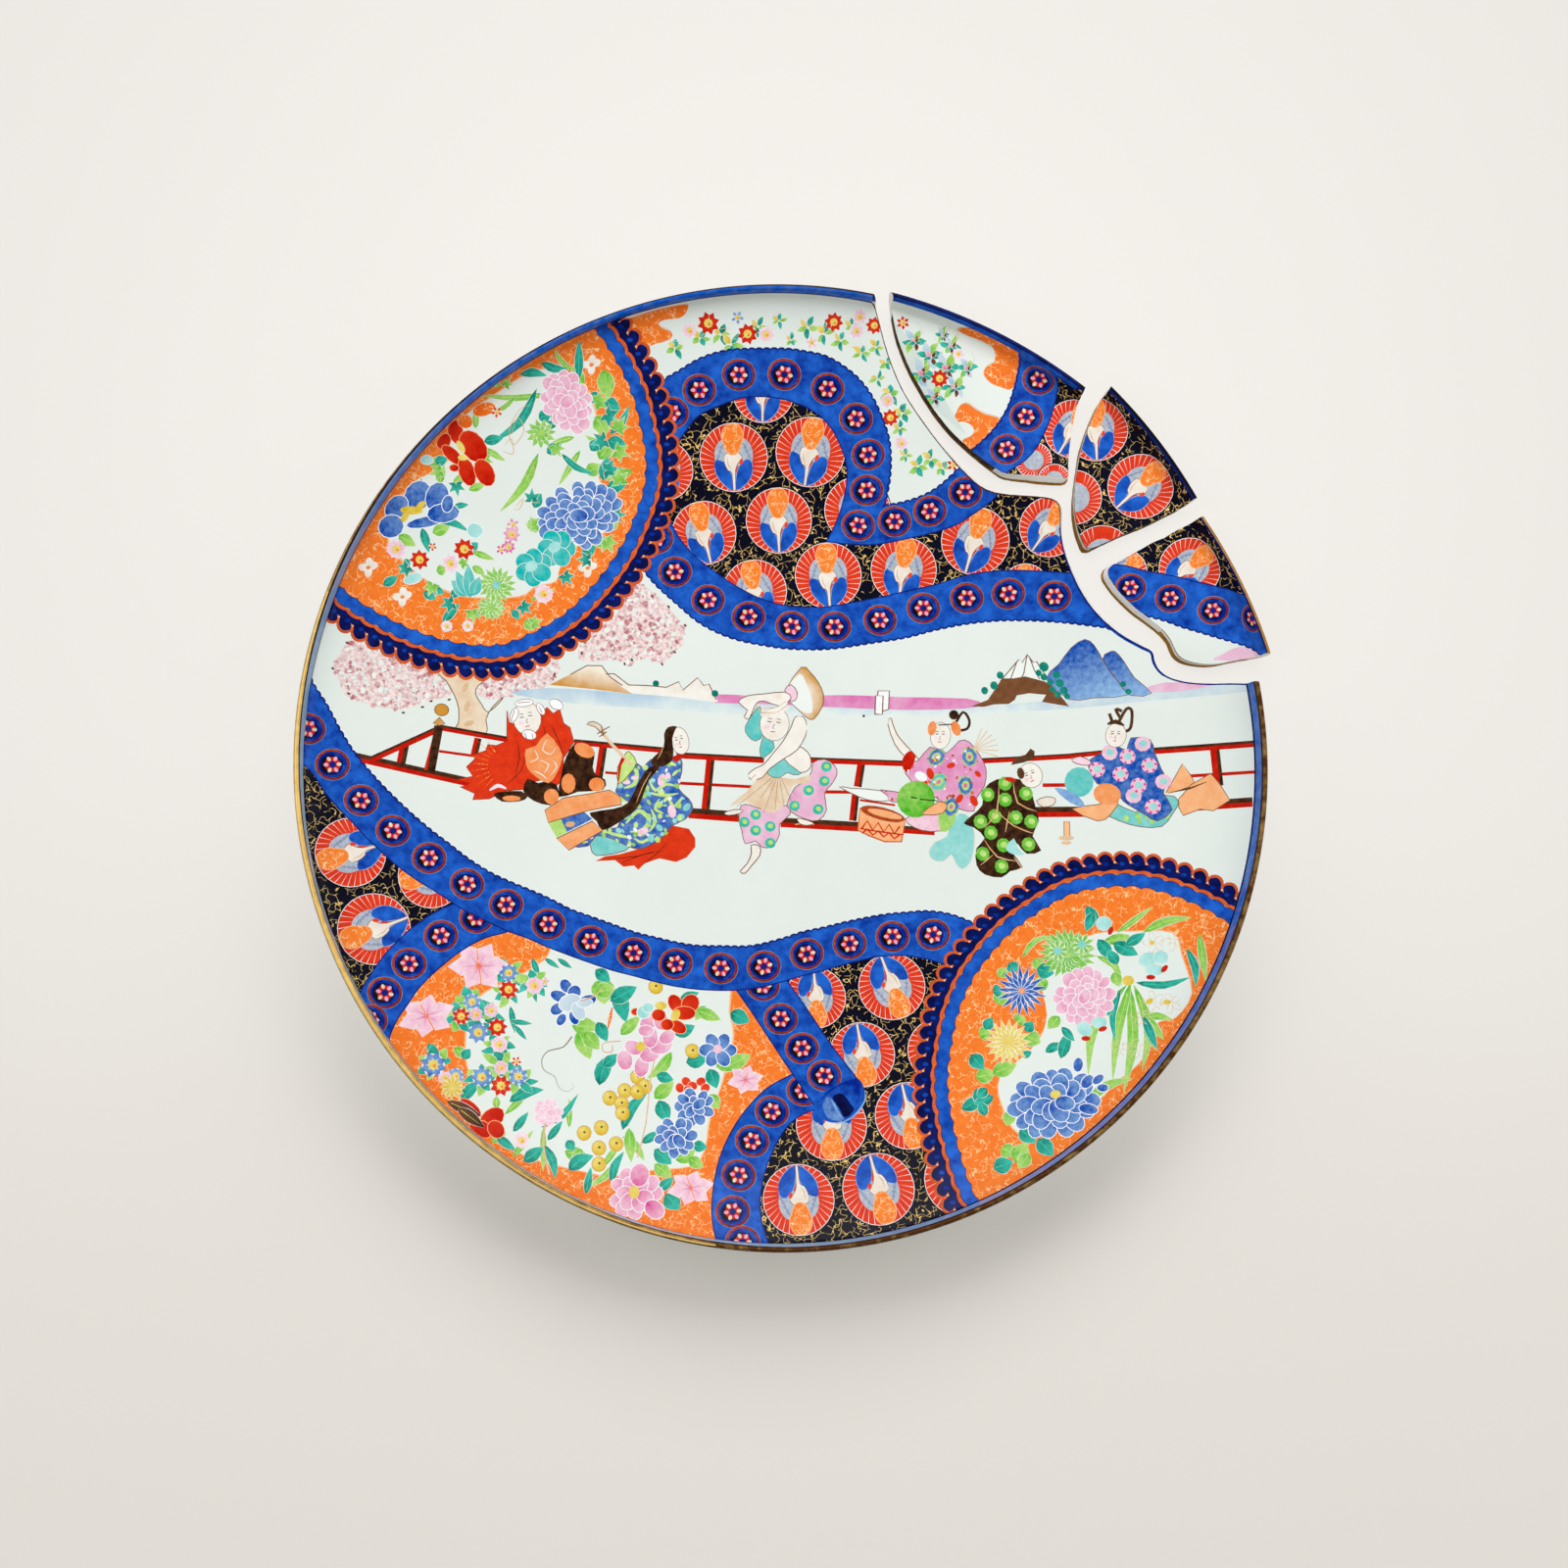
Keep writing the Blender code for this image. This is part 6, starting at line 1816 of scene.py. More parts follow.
UPPER_OUTER = plot("""
    -66,176 -58,185 -50,190 -40,196 -30,199.5 -20,201 0,201.5 10,200.5 20,198.5 28,194.5 36,188.5
    43,180 48,170 51.5,160 52.5,150 52,140 50,130 49,127.5""")
UPPER_INNER = plot("""
    -54,150 -50,157 -46,163 -40,170 -30,175 -20,178.5 -10,179.5 0,178.5 10,175.5 18,171 24,165
    28,158 31,150 32,142 31,134 29,126 26,118 22,110.5""")
BRANCH_LOWER = plot("22,110.5 35,109.3 47,109.5 60,112 75,115.5 85,119 93,124 102,130.5 108,137")
BRANCH_UPPER = plot("49,127.5 60,129.5 70,133 78,138 87,146.5 93,153")
SHARD_RIBBON_LEFT = plot("""
    88,150 91.5,153 95,156 100,161 104,166 108,173 110.5,180 112.5,188 114,197 114.5,206""")
SHARD_RIBBON_RIGHT = plot("102,136 108,141 117,147 123,154 127.5,163 130,170 132,178 133,184 133.5,194")
MIDDLE_UPPER = plot("""
    -60,130 -54,120 -48,110 -40,101.5 -30,94 -20,87.5 -10,82.5 0,79.5 10,78.6 20,78.5 30,80 45,83
    60,86.5 75,90 90,94.5 105,96.5 120,96.5 140,95 146,94""")
MIDDLE_LOWER = plot("""
    -75,105 -67,97 -60,89 -50,80 -40,71.5 -30,66 -20,62.5 -10,60.5 0,59 10,58.4 20,58.5 30,59.5
    45,62 60,64.5 75,68.5 90,71.5 105,73 120,73 135,72 150,70 158,68.5 166,64""")
SHARD_LOWER_TOP = plot("""
    148,101 154,100.5 160,100 168,97.5 176,95.5 184,93.5 192,91 200,88.5 206,86.5 213,84.5 221,82
    229,79 237,76""")
SHARD_LOWER_BOTTOM = plot("""
    149,100 151.7,96 155,90 160,83 166,77 172,74.5 178,72.5 186,69 194,66 202,63 210,60 217,57
    224,52.5 231,47 238,41""")
LOWER_UPPER = plot("""
    -226,42 -222,35 -216,26 -210,15 -203,4 -196,-4.5 -188,-13 -178,-22.5 -168,-31 -158,-38.5
    -148,-46 -138,-52 -128,-56.5 -118,-60.5 -110,-64 -100,-69 -90,-72.5 -80,-76 -70,-79.5 -60,-82
    -50,-84.3 -40,-85.8 -28,-86 -14,-85.8 0,-82.5 10,-79.2 20,-77 30,-74.5 40,-72.3 50,-70.5
    60,-69.5 70,-68.8 80,-70 90,-73.5 98,-78""")
LOWER_LOWER = plot("""
    -229,-1 -222,-6 -216,-15 -210,-22 -203,-29 -197,-35.5 -190,-42 -182,-49 -172,-56 -162,-62
    -152,-68.5 -142,-73.5 -130,-79 -120,-82.5 -112,-86 -100,-90.5 -90,-94 -80,-97.3 -70,-99.8
    -60,-102.5 -50,-104.7 -40,-106 -30,-106.5 -20,-106.3 -10,-105 0,-102.5 10,-99.5 20,-97 30,-94
    40,-91.5 48,-90 58,-89.5 66,-90.5 76,-93 88,-98""")
SIDE_UPPER = plot("-150,-64 -156,-67 -165,-71.5 -175,-79 -184,-88 -190,-96 -196,-106 -202,-117")
SIDE_LOWER = plot("""
    -124,-76 -130,-79.5 -140,-82.5 -150,-88 -160,-96 -170,-106 -176,-115 -181,-123 -185,-133
    -188,-142""")
STRAIGHT_LEFT = plot("-27,-98 -21,-106.5 -12,-119.5 0,-138 10,-153 15.5,-161")
STRAIGHT_RIGHT = plot("-1,-96 4.5,-104 14,-117.5 24,-132.5 33,-144.5 38.5,-152")
FOOT_LEFT = plot("""
    10,-144 4,-147 -6,-152.5 -14,-160 -21,-169 -27,-180 -31,-192 -33,-205 -33,-215 -31,-226
    -29,-232""")
FOOT_RIGHT = plot("""
    24,-161 16,-163 8,-166.5 2,-172 -3,-180 -8,-192 -10.5,-205 -10,-215 -7,-226 -5,-232""")

# Outer edges of the two medallions, with the medallion on their left.
LEFT_MEDALLION = plot("""
    -224,74 -210,63.5 -190,53 -170,46 -150,42.5 -130,43.5 -110,52 -92,64 -77,80 -64,99 -56,117
    -51,134 -50.5,152 -53.5,168 -57.5,183 -64,197 -73,211 -82,222""")
RIGHT_MEDALLION = plot("""
    234,-75 218,-61 205,-53 190,-46.5 175,-42.5 160,-41.5 145,-43 130,-47.5 115,-56 100,-67 88,-80
    78,-94 70,-112 65.5,-132 63.5,-150 65,-168 68.5,-186 73,-202 79,-216 84,-226""")


def rim_points(start, end, radius=236.0):
    """Points past the lip's foot, from one turn round the plate to another."""
    return arc((0, 0), radius, start, end, 24)


def black_grounds(p, name):
    """Black grounds with gold scrollwork and crane roundels."""
    upper = np.concatenate([plot("""
    -60,160 -50,172 -35,184 -20,190 0,190 20,185 35,170 42,152 40,130 36,119 55,120 72,125 89,134
    100,146 114,160 120,175 123,190"""), rim_points(57, 18),
                            plot("""
    201,76 181,83 162,89 132,84 110,85 90,83 69,78 48,72 26,69 5,69 -15,73 -35,81 -51,95 -64,110""")])
    left = np.concatenate([plot("""
    -212,-2 -199,-18 -184,-32 -167,-45 -149,-57 -140,-70
    -161,-82 -175,-95 -190,-112"""), rim_points(208, 180)])
    lower = np.concatenate([plot("-5,-98 12,-90 33,-84 53,-80 80,-84 75,-110 72,-150 78,-190 84,-215"),
                            rim_points(290, 265),
                            plot("-22,-215 -22,-200 -16,-185 -8,-170 8,-158 20,-150 0,-120")])
    for region, roundels in ((upper, UPPER_ROUNDELS[name]), (left, LEFT_ROUNDELS),
                             (lower, LOWER_ROUNDELS)):
        p.area("scrolled_enamel", region, 0.55)
        for roundel in roundels:
            crane_roundel(p, *roundel)


RIBBON_EDGES = (
    (SHARD_RIBBON_RIGHT, SHARD_RIBBON_LEFT, (False, True)),
    (SIDE_LOWER, SIDE_UPPER, (False, False)),
    (FOOT_RIGHT, FOOT_LEFT, (False, False)),
    (STRAIGHT_LEFT, STRAIGHT_RIGHT, (False, False)),
    (BRANCH_UPPER, BRANCH_LOWER, (True, False)),
    (UPPER_OUTER, UPPER_INNER, (True, False)),
    (MIDDLE_UPPER, MIDDLE_LOWER, (False, True)),
    (SHARD_LOWER_TOP, SHARD_LOWER_BOTTOM, (False, True)),
    (LOWER_UPPER, LOWER_LOWER, (True, False)),
)


def rolled_end(p):
    """The rolled end of the straight ribbon."""
    roll = plot("""
    16.5,-160 16.5,-165 21,-168.5 26,-169.3 31,-167.5 36,-164 39.3,-158.5 39.2,-153 36.5,-148.5
    31,-149.5 25,-151.5 20,-154.5""")
    p.area("cobalt_wash",
           curve(plot("16,-160 15.6,-165 17.5,-169.8 19.8,-170.2 20,-166 21,-160"), True, 3), 0.35)
    p.area("cobalt_wash", curve(roll, True, 4), across((20, -168), (36, -150), 0.3, 0.8), inner=True)
    p.line("blue_enamel", curve(plot("39.6,-154 39.4,-159 35,-165.3 29,-169 25,-169.8")), 0.9, 0.35,
           "brush")
    p.area("blue_enamel", curve(plot("19.5,-161 23,-157 29,-167.5 25,-168.2 21.5,-166.5"), True, 3), 0.72)
    p.line("blue_enamel", curve(plot("23.5,-158 26.5,-164 29.5,-167.8")), 1.1, 0.45, "brush")
    p.area("cobalt_line",
           curve(plot("24.3,-157 28.8,-155.6 32.5,-160 34.2,-163.2 30.2,-166.8 27,-162"), True, 3), 0.9)
    p.line("cobalt_wash", curve(plot("17.5,-160 22,-155 29,-151 35.5,-151.5 37,-157 34,-162")), 0.9,
           0.95, "brush")


def ribbons(p):
    """Cobalt ribbons with their studs, the overlapping ones last."""
    studs = {1: SIDE_STUDS, 2: FOOT_STUDS, 3: STRAIGHT_STUDS, 5: UPPER_STUDS, 6: MIDDLE_STUDS[:11],
             7: MIDDLE_STUDS[11:], 8: LOWER_STUDS}
    for number, (first, second, wavy) in enumerate(RIBBON_EDGES):
        ribbon(p, first, second, wavy)
        for x, y in studs.get(number, ()):
            stud(p, x, y, 8.2 if number != 7 else 7.6, turn=(x * 3.7 + y * 1.9) % 30 - 15)
        if number == 3:
            rolled_end(p)


def medallion_grounds(p):
    """Orange grounds and cusped borders of the two medallions."""
    for line, turns in ((LEFT_MEDALLION, (108, 165)), (RIGHT_MEDALLION, (-73, -14))):
        inner = cusped_border(p, curve(line))
        near = math.degrees(math.atan2(inner[-1][1], inner[-1][0]))
        ground = np.concatenate([inner, rim_points(*sorted(turns, key=lambda t: abs(t - near)))])
        p.area("orange_ground", ground, 0.42)


def band(inner, outer, start, end, shift=(0, 0)):
    """Outline of a band between two circles, from one turn to another. The shift moves the
    inner circle."""
    steps = max(4, int((end - start) / 2))
    return np.concatenate([arc((0, 0), outer, start, end, steps),
                           arc(shift, inner, start, end, steps)[::-1]])


# Turns between which each piece holds its part of the lip.
LIP_SPANS = {"plate_main": (79.3, 371.0), "shard_upper": (51.9, 79.3),
             "shard_middle": (32.4, 51.9), "shard_lower": (11.0, 32.4)}
LIP_STEPS = 180       # points along the large piece's lip
GLAZE_REACH = 262.0   # past the end of the unrolled face
GOLD_HIGHLIGHT_LINE = 236.1, 160, 262   # radius of the painted highlight along the gold, and its turns


# How the large piece's lip changes round the plate: turns in degrees, where its cobalt and its gold begin
# on the unrolled plan, and their washes. The washes are lighter round the left, partly thinner pigment
# and partly painted highlight.
RIM_TURNS = (79, 90, 110, 135, 160, 180, 205, 225, 245, 270, 300, 330, 371)
COBALT_FROM = (229.8, 230.3, 231.0, 229.6, 227.0, 226.6, 229.2, 229.4, 228.2, 226.6, 225.8, 225.6, 225.6)
GOLD_FROM = (236.4, 236.6, 236.8, 236.4, 235.2, 234.0, 233.0, 232.6, 233.2, 234.6, 234.2, 234.0, 234.0)
COBALT_WASH_AND_HIGHLIGHT = (0.9, 0.95, 0.95, 0.85, 0.35, 0.12, 0.05, -0.1, 0.0, 0.2, 0.6, 0.85, 0.85)
GOLD_WASH_AND_HIGHLIGHT = (0.95, 0.95, 0.95, 0.85, 0.5, 0.2, 0.15, 0.3, 0.65, 1.05, 0.95, 0.9, 0.95)


# The bands of each shard's lip, as pigment, inner and outer radius and wash.
SHARD_LIPS = {
    "shard_upper": plot("""
    cobalt_wash,231.6,234.6,.45 cobalt_line,234.4,240,.75 rim_gilding,240,244.6,.6"""),
    "shard_middle": plot("cobalt_line,233.8,235,.5 black_enamel,235,240,.9 rim_gilding,240,244.6,.6"),
    "shard_lower": plot("""
    cobalt_line,234.4,235.4,.7 stained_body,235.4,237,.3 manganese,237,240,.7
    rim_gilding,240,244.6,.6"""),
}


def rim(p):
    """The painted bands of the lip. The large piece has thin cobalt inside and worn gold over the top
    with a dark edge, both paler round the left as painted highlight, and the shards have a dark edge
    only."""
    whole = LIP_SPANS["plate_main"]
    p.area("white_glaze", band(244.5, GLAZE_REACH, 11.0, 371.0), 0.3)
    turns = np.linspace(*whole, LIP_STEPS)

    def round_lip(radii):
        """A line round the lip whose radius changes with the turn."""
        return np.array([polar(r, a) for r, a in zip(np.interp(turns, RIM_TURNS, radii), turns)])

    def wash(tones):
        """A wash that changes with the turn, which goes on past the full circle."""
        def tone(xy):
            """The wash at each of these points."""
            x, y = xy.T
            turn = np.degrees(np.arctan2(y, x)) % 360 + 360 * (y > 0) * (x > 5 * y)
            return np.interp(turn, RIM_TURNS, tones)
        return tone

    foot, gold = round_lip(COBALT_FROM), round_lip(GOLD_FROM)
    top = arc((0, 0), 238.0, *whole, LIP_STEPS)
    # Cobalt and gold are paler round the left of the lip: partly thin pigment and partly painted
    # highlight.
    p.area("thinned_cobalt", np.concatenate([foot, gold[::-1]]), wash(COBALT_WASH_AND_HIGHLIGHT))
    p.area("rim_gilding", np.concatenate([gold, top[::-1]]), wash(GOLD_WASH_AND_HIGHLIGHT))
    p.line("cobalt_line", foot, 0.9, 1.0)
    p.line("manganese", gold, 1.1, 1.0)
    # A pale gold line at the near left: a painted highlight on the lip.
    p.line("rim_gilding", arc((0, 0), *GOLD_HIGHLIGHT_LINE, 70), 0.7, -0.6)
    for pigment, inner, outer, dark in (("manganese", 237.4, 240.5, 0.85),
                                        ("rim_gilding", 240.5, 244.6, 0.6)):
        p.area(pigment, band(inner, outer, *whole), dark)
    for name, bands in SHARD_LIPS.items():
        for pigment, inner, outer, dark in bands:
            p.area(pigment, band(inner, outer, *LIP_SPANS[name]), dark)


def broken_margin(p):
    """Thin dark and cobalt lines where pigment drew back from the large piece's break."""
    line = np.array(MAIN_FRACTURE)[:, :2]
    p.line("manganese", curve(line[:14], steps=3), 0.9, 0.85)
    p.line("cobalt_line", curve(line[13:], steps=3), 1.5, 0.5)
    p.line("cobalt_wash", curve(line[16:24], steps=3), 2.9, 0.7, "brush")
    p.line("cobalt_line", curve(line[16:24], steps=3), 1.5, 0.5)


def decoration(name):
    """Everything painted on the face of one piece."""
    p = Painting()
    p.area("white_glaze", oval((0, 0), GLAZE_REACH, 1.0, 0, 60), 0.4)
    landscape(p)
    fence(p)
    figures(p)
    black_grounds(p, name)
    sprays(p)
    panel = np.concatenate([plot("""
    -150,-78 -134,-72 -100,-80 -60,-93 -20,-96 0,-112 18,-140
    4,-157 -14,-178 -22,-205 -20,-222"""), rim_points(265, 213), [(-190, -125), (-170, -92)]])
    p.area("orange_ground", panel, 0.45)
    panel_flowers(p)
    ribbons(p)
    medallion_grounds(p)
    left_medallion_flowers(p)
    right_medallion_flowers(p)
    broken_margin(p)
    rim(p)
    return p


def underside_glaze():
    """The plain underside: white glaze, and a bare foot ring."""
    p = Painting()
    back = back_skin()
    p.area("white_glaze", oval((0, 0), 280.0, 1.0, 0, 60), 0.35)
    bare = [v for v, z in zip(back.v, back.z) if z <= FOOT_CHAMFER + 0.01]
    p.area("bare_body", oval((0, 0), bare[-1], 1.0, 0, 120), 0.55,
           hole=oval((0, 0), bare[0], 1.0, 0, 120))
    return p


# --- Pieces ------------------------------------------------------------------------------

def main_edge(along, depth):
    """Pigment of the large piece's broken face: cobalt at its lower run, dark above."""
    if depth == 0:
        return ("cobalt_wash", 0.7) if 0.06 < along < 0.40 else ("stained_body", 0.9)
    return ("bare_body", 0.3)


def upper_edge(along, depth):
    """Pigment of the upper shard's broken face: stained at the left, clean below."""
    if along < 0.56:
        return ("stained_body", 0.95 if depth < 3 else 0.6)
    return ("bare_body", -0.2) if depth < 3 else ("stained_body", 0.4)


def middle_edge(along, depth):
    """Pigment of the middle shard's broken face, stained down its left side."""
    if depth == 0 or along > 0.62:
        return ("stained_body", 0.9)
    return ("bare_body", 0.6) if depth == 1 else ("stained_body", 0.45)


def lower_edge(along, depth):
    """Pigment of the lower shard's broken face, with gold brown rubbed into its edges."""
    if depth > 2 or along > 0.62 and depth in (0, 2):
        return ("stained_body", 0.35)
    return ("stained_body", 1.0) if depth == 0 and along < 0.3 else ("bare_body", -0.2)


EDGE_PIGMENTS = {
    "plate_main": main_edge,
    "shard_upper": upper_edge,
    "shard_middle": middle_edge,
    "shard_lower": lower_edge,
}


SLACK = 1e-7   # rounding allowed where places along an edge are compared


def split_edge(edge, place):
    """The fracture's part of a side's edge, and its runs over the lip before and after."""
    ids, at, points = edge
    inner = np.flatnonzero(~np.isnan(place))
    first, last = inner[0] - SLACK, inner[-1] + SLACK
    lip_end = inner[-1] + inner[0] + SLACK
    on = (at >= first) & (at <= last)
    fracture = (ids[on], np.interp(at[on], inner, place[inner]), points[on])
    return fracture, ids[at <= inner[0] + SLACK], ids[(at >= inner[-1] - SLACK) & (at <= lip_end)]


# Where the sides lie on the map, which is 1 by 1. The large piece's face fills it, with the
# underside small in a corner. A shard's face has the upper part. A box for the broken face
# holds its corner, width and height.
FACE_MIDDLE, FACE_WIDTH, FACE_WALL = 0.5, 2.02, (0.88, 0.02, 0.10, 0.05)
BACK_MIDDLE, BACK_WIDTH = 0.074, 14.2
SHARD_FACE_AT, SHARD_FACE_SIZE = (0.01, 0.25), (0.98, 0.74)
SHARD_BACK_AT, SHARD_BACK_SIZE, SHARD_BACK_MARGIN = (0.01, 0.01), (0.5, 0.22), 0.95
SHARD_WALL = (0.55, 0.02, 0.40, 0.18)


def home_map(outline, whole):
    """Places the face on the map: the whole plate fills it, a shard the upper part of it."""
    low, high = outline.min(0), outline.max(0)
    if whole:
        reach = face_skin().end
        return (lambda plan: FACE_MIDDLE + plan / (FACE_WIDTH * reach),
                lambda plan: BACK_MIDDLE + plan / (BACK_WIDTH * reach), FACE_WALL)
    scale = (SHARD_FACE_SIZE / (high - low)).min()
    small = (SHARD_BACK_SIZE / (high - low)).min()
    return (lambda plan: SHARD_FACE_AT + (plan - low) * scale,
            lambda plan: SHARD_BACK_AT + np.clip(plan - low, 0, None) * small * SHARD_BACK_MARGIN,
            SHARD_WALL)


def rest_matrix(around, radius, tilt, roll, turn, slide):
    """How a shard is tipped onto its back, turned and slid outward."""
    angle = math.radians(around)
    outward = Vector((math.cos(angle), math.sin(angle), 0.0))
    along_rim = Vector((-math.sin(angle), math.cos(angle), 0.0))
    pivot = outward * radius + Vector((0.0, 0.0, float(back_height(radius))))
    tipped = (Matrix.Rotation(math.radians(turn), 4, "Z")
              @ Matrix.Rotation(math.radians(roll), 4, outward)
              @ Matrix.Rotation(math.radians(tilt), 4, along_rim))
    return Matrix.Translation(outward * slide + pivot) @ tipped @ Matrix.Translation(-pivot)


WELD = 0.01   # points closer than this in mm are one point


def build_piece(name, painting):
    """Makes one broken piece as a closed mesh that stands for its CAD node."""
    line = broken_line(name)
    face, back = face_skin(), back_skin()
    shell = Shell()
    outline, place, rows = unrolled_outline(face, line, LIP_FOOT_RADIUS, False)
    under, under_place, under_rows = unrolled_outline(back, line, BACK_END_RADIUS, True)
    face_map, back_map, wall_map = home_map(outline, name == "plate_main")
    face_edge = add_skin(shell, face, outline, rows, painting, False, face_map)
    back_edge = add_skin(shell, back, under, under_rows, underside_glaze(), True, back_map)
    add_broken_face(shell, name, split_edge(face_edge, place), split_edge(back_edge, under_place),
                    wall_map)
    points = np.concatenate(shell.points)
    corners = np.concatenate(shell.corners)
    normals, washes, maps = (np.concatenate(part) for part in (shell.normals, shell.washes, shell.maps))
    keys = np.round(points / WELD).astype(np.int64)
    _, first, merged = np.unique(keys, axis=0, return_index=True, return_inverse=True)
    points, corners = points[first], merged.ravel()[corners]
    sound = ((corners[:, 0] != corners[:, 1]) & (corners[:, 1] != corners[:, 2])
             & (corners[:, 0] != corners[:, 2]))
    used, corners = np.unique(corners[sound], return_inverse=True)
    points, corners = points[used], corners.reshape(-1, 3)
    if name in SHARD_POSES:
        rest = np.array(rest_matrix(**SHARD_POSES[name]))
        points = points @ rest[:3, :3].T + rest[:3, 3]
        normals = normals @ rest[:3, :3].T
        points[:, 2] -= points[:, 2].min()
    low, high = (np.array(corner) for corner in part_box(name))
    points = np.clip(points * MM + np.array(AXIS), low, high)
    names = sorted(set(shell.pigments))
    slot = np.array([names.index(n) for n in shell.pigments])[sound]
    mesh = bpy.data.meshes.new(name + "_painted")
    mesh.from_pydata(points.tolist(), [], corners.tolist())
    for pigment in names:
        mesh.materials.append(bpy.data.materials.get(pigment) or fired_pigment(pigment))
    mesh.polygons.foreach_set("material_index", slot.astype(np.int32))
    wash = mesh.attributes.new("wash", "FLOAT", "CORNER")
    wash.data.foreach_set("value", washes[sound].ravel().astype(np.float32))
    layer = mesh.uv_layers.new(name="OFBake")
    layer.data.foreach_set("uv", maps[sound].reshape(-1).astype(np.float32))
    mesh.polygons.foreach_set("use_smooth", np.ones(len(slot), bool))
    mesh.normals_split_custom_set(normals[sound].reshape(-1, 3).tolist())
    piece = bpy.data.objects.new(name + "_painted", mesh)
    bpy.context.scene.collection.objects.link(piece)
    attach(piece, "root")
    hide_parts(name)
    return piece


# --- Stage -------------------------------------------------------------------------------

# Names of the softboxes and where they hang, in metres.
LAMPS = (("back_softbox", (0.1, 1.6, 1.75)), ("left_softbox", (-1.9, 0.2, 1.5)),
         ("right_softbox", (1.9, 0.3, 1.5)), ("front_softbox", (0.0, -1.8, 1.7)))
CAMERA_SHIFT = -0.0004, -0.0153   # of the lens, as shares of the frame's width
SENSOR_WIDTH = 36.0
PAPER_ROUGHNESS = 0.9

# The paper's glow for the camera, a painted light on the floor, in metres from the middle of the floor:
# where it is strongest, the distances over which it fades, and its share in front of and behind the
# plate.
GLOW_MIDDLE = (0.0, 0.12, 0.0)
GLOW_FADES = 0.15, 0.62
GLOW_FRONT, GLOW_BACK = (-0.26, 0.12), (0.02, 0.85)   # each a place along Y and a share


def paper_floor(stage):
    """Material of the matt paper sweep: nearly white and without a sheen. Behind the plate it glows for
    the camera only, a painted light that is brightest near the plate and fades outward, so the floor
    stays pale there and the plate's shadow behind it is hidden, while the shadow in front stays."""
    material = bpy.data.materials.new("matt_paper")
    material.use_nodes = True
    tree = material.node_tree
    shader = tree.nodes["Principled BSDF"]
    shader.inputs["Roughness"].default_value = PAPER_ROUGHNESS
    shader.inputs["Base Color"].default_value = (*stage.floor_colour, 1.0)
    where = add_node(tree, "ShaderNodeTexCoord", {}).outputs["Object"]
    split = add_node(tree, "ShaderNodeSeparateXYZ", {0: where})
    reach = add_node(tree, "ShaderNodeVectorMath", {0: where, 1: GLOW_MIDDLE}, operation="DISTANCE")
    fall = add_node(tree, "ShaderNodeMapRange",
                    {0: reach.outputs["Value"], 1: GLOW_FADES[0], 2: GLOW_FADES[1]})
    glow = add_node(tree, "ShaderNodeMix",
                    {MIX_FACTOR: fall.outputs[0], MIX_FIRST: (*stage.glow_colour, 1.0),
                     MIX_SECOND: (*stage.glow_edge_colour, 1.0)}, data_type="RGBA")
    lit = add_node(tree, "ShaderNodeEmission", {"Color": glow.outputs[MIX_COLOUR]})
    front = add_node(tree, "ShaderNodeMapRange",
                     {0: split.outputs["Y"], 1: GLOW_FRONT[0], 2: GLOW_BACK[0],
                      3: GLOW_FRONT[1], 4: GLOW_BACK[1]},
                     interpolation_type="SMOOTHSTEP")
    seen = add_node(tree, "ShaderNodeLightPath", {})
    share = add_node(tree, "ShaderNodeMath", {0: seen.outputs["Is Camera Ray"], 1: front.outputs[0]},
                     operation="MULTIPLY")
    both = add_node(tree, "ShaderNodeMixShader",
                    {0: share.outputs[0], 1: shader.outputs[0], 2: lit.outputs[0]})
    tree.links.new(both.outputs[0], tree.nodes["Material Output"].inputs["Surface"])
    return material


def build_stage(stage):
    """Floor, soft lamps, room and camera."""
    half = stage.floor_size / 2
    mesh = bpy.data.meshes.new("floor")
    mesh.from_pydata([(-half, -half, 0), (half, -half, 0), (half, half, 0), (-half, half, 0)], [],
                     [(0, 1, 2, 3)])
    mesh.materials.append(paper_floor(stage))
    floor = bpy.data.objects.new("floor", mesh)
    bpy.context.scene.collection.objects.link(floor)
    azimuth, elevation = stage.azimuth, stage.elevation
    back = Vector((math.sin(azimuth) * math.cos(elevation), -math.cos(azimuth) * math.cos(elevation),
                   math.sin(elevation)))
    right = Vector((0.0, 1.0, 0.0)).cross(back).normalized()
    turn = Matrix((right, back.cross(right), back)).transposed().to_4x4()
    aim = AXIS + Vector((0.0, 0.0, RIM_HEIGHT * MM))
    data = bpy.data.cameras.new("camera")
    data.lens, data.sensor_width = stage.lens, SENSOR_WIDTH
    data.shift_x, data.shift_y = CAMERA_SHIFT
    camera = bpy.data.objects.new("camera", data)
    camera.matrix_world = Matrix.Translation(aim + back * stage.distance) @ turn
    bpy.context.scene.collection.objects.link(camera)
    bpy.context.scene.camera = camera
    for name, place in LAMPS:
        lamp = bpy.data.lights.new(name, "AREA")
        lamp.shape, lamp.size, lamp.energy = "SQUARE", stage.softbox_size, getattr(stage, name)
        holder = bpy.data.objects.new(name, lamp)
        holder.location = place
        holder.rotation_euler = (AXIS - Vector(place)).to_track_quat("-Z", "Y").to_euler()
        bpy.context.scene.collection.objects.link(holder)
    world = bpy.data.worlds.new("room")
    world.use_nodes = True
    background = world.node_tree.nodes["Background"].inputs
    background["Color"].default_value = (*stage.room_colour, 1.0)
    background["Strength"].default_value = stage.room_strength
    bpy.context.scene.world = world
    bpy.context.scene.view_settings.view_transform = "Standard"


# --- Add-on ------------------------------------------------------------------------------

def length(label, about, millimetres):
    """A length that may be changed."""
    return FloatProperty(name=label, description=about, default=millimetres * MM, min=0.0, precision=5,
                         unit="LENGTH", subtype="DISTANCE")


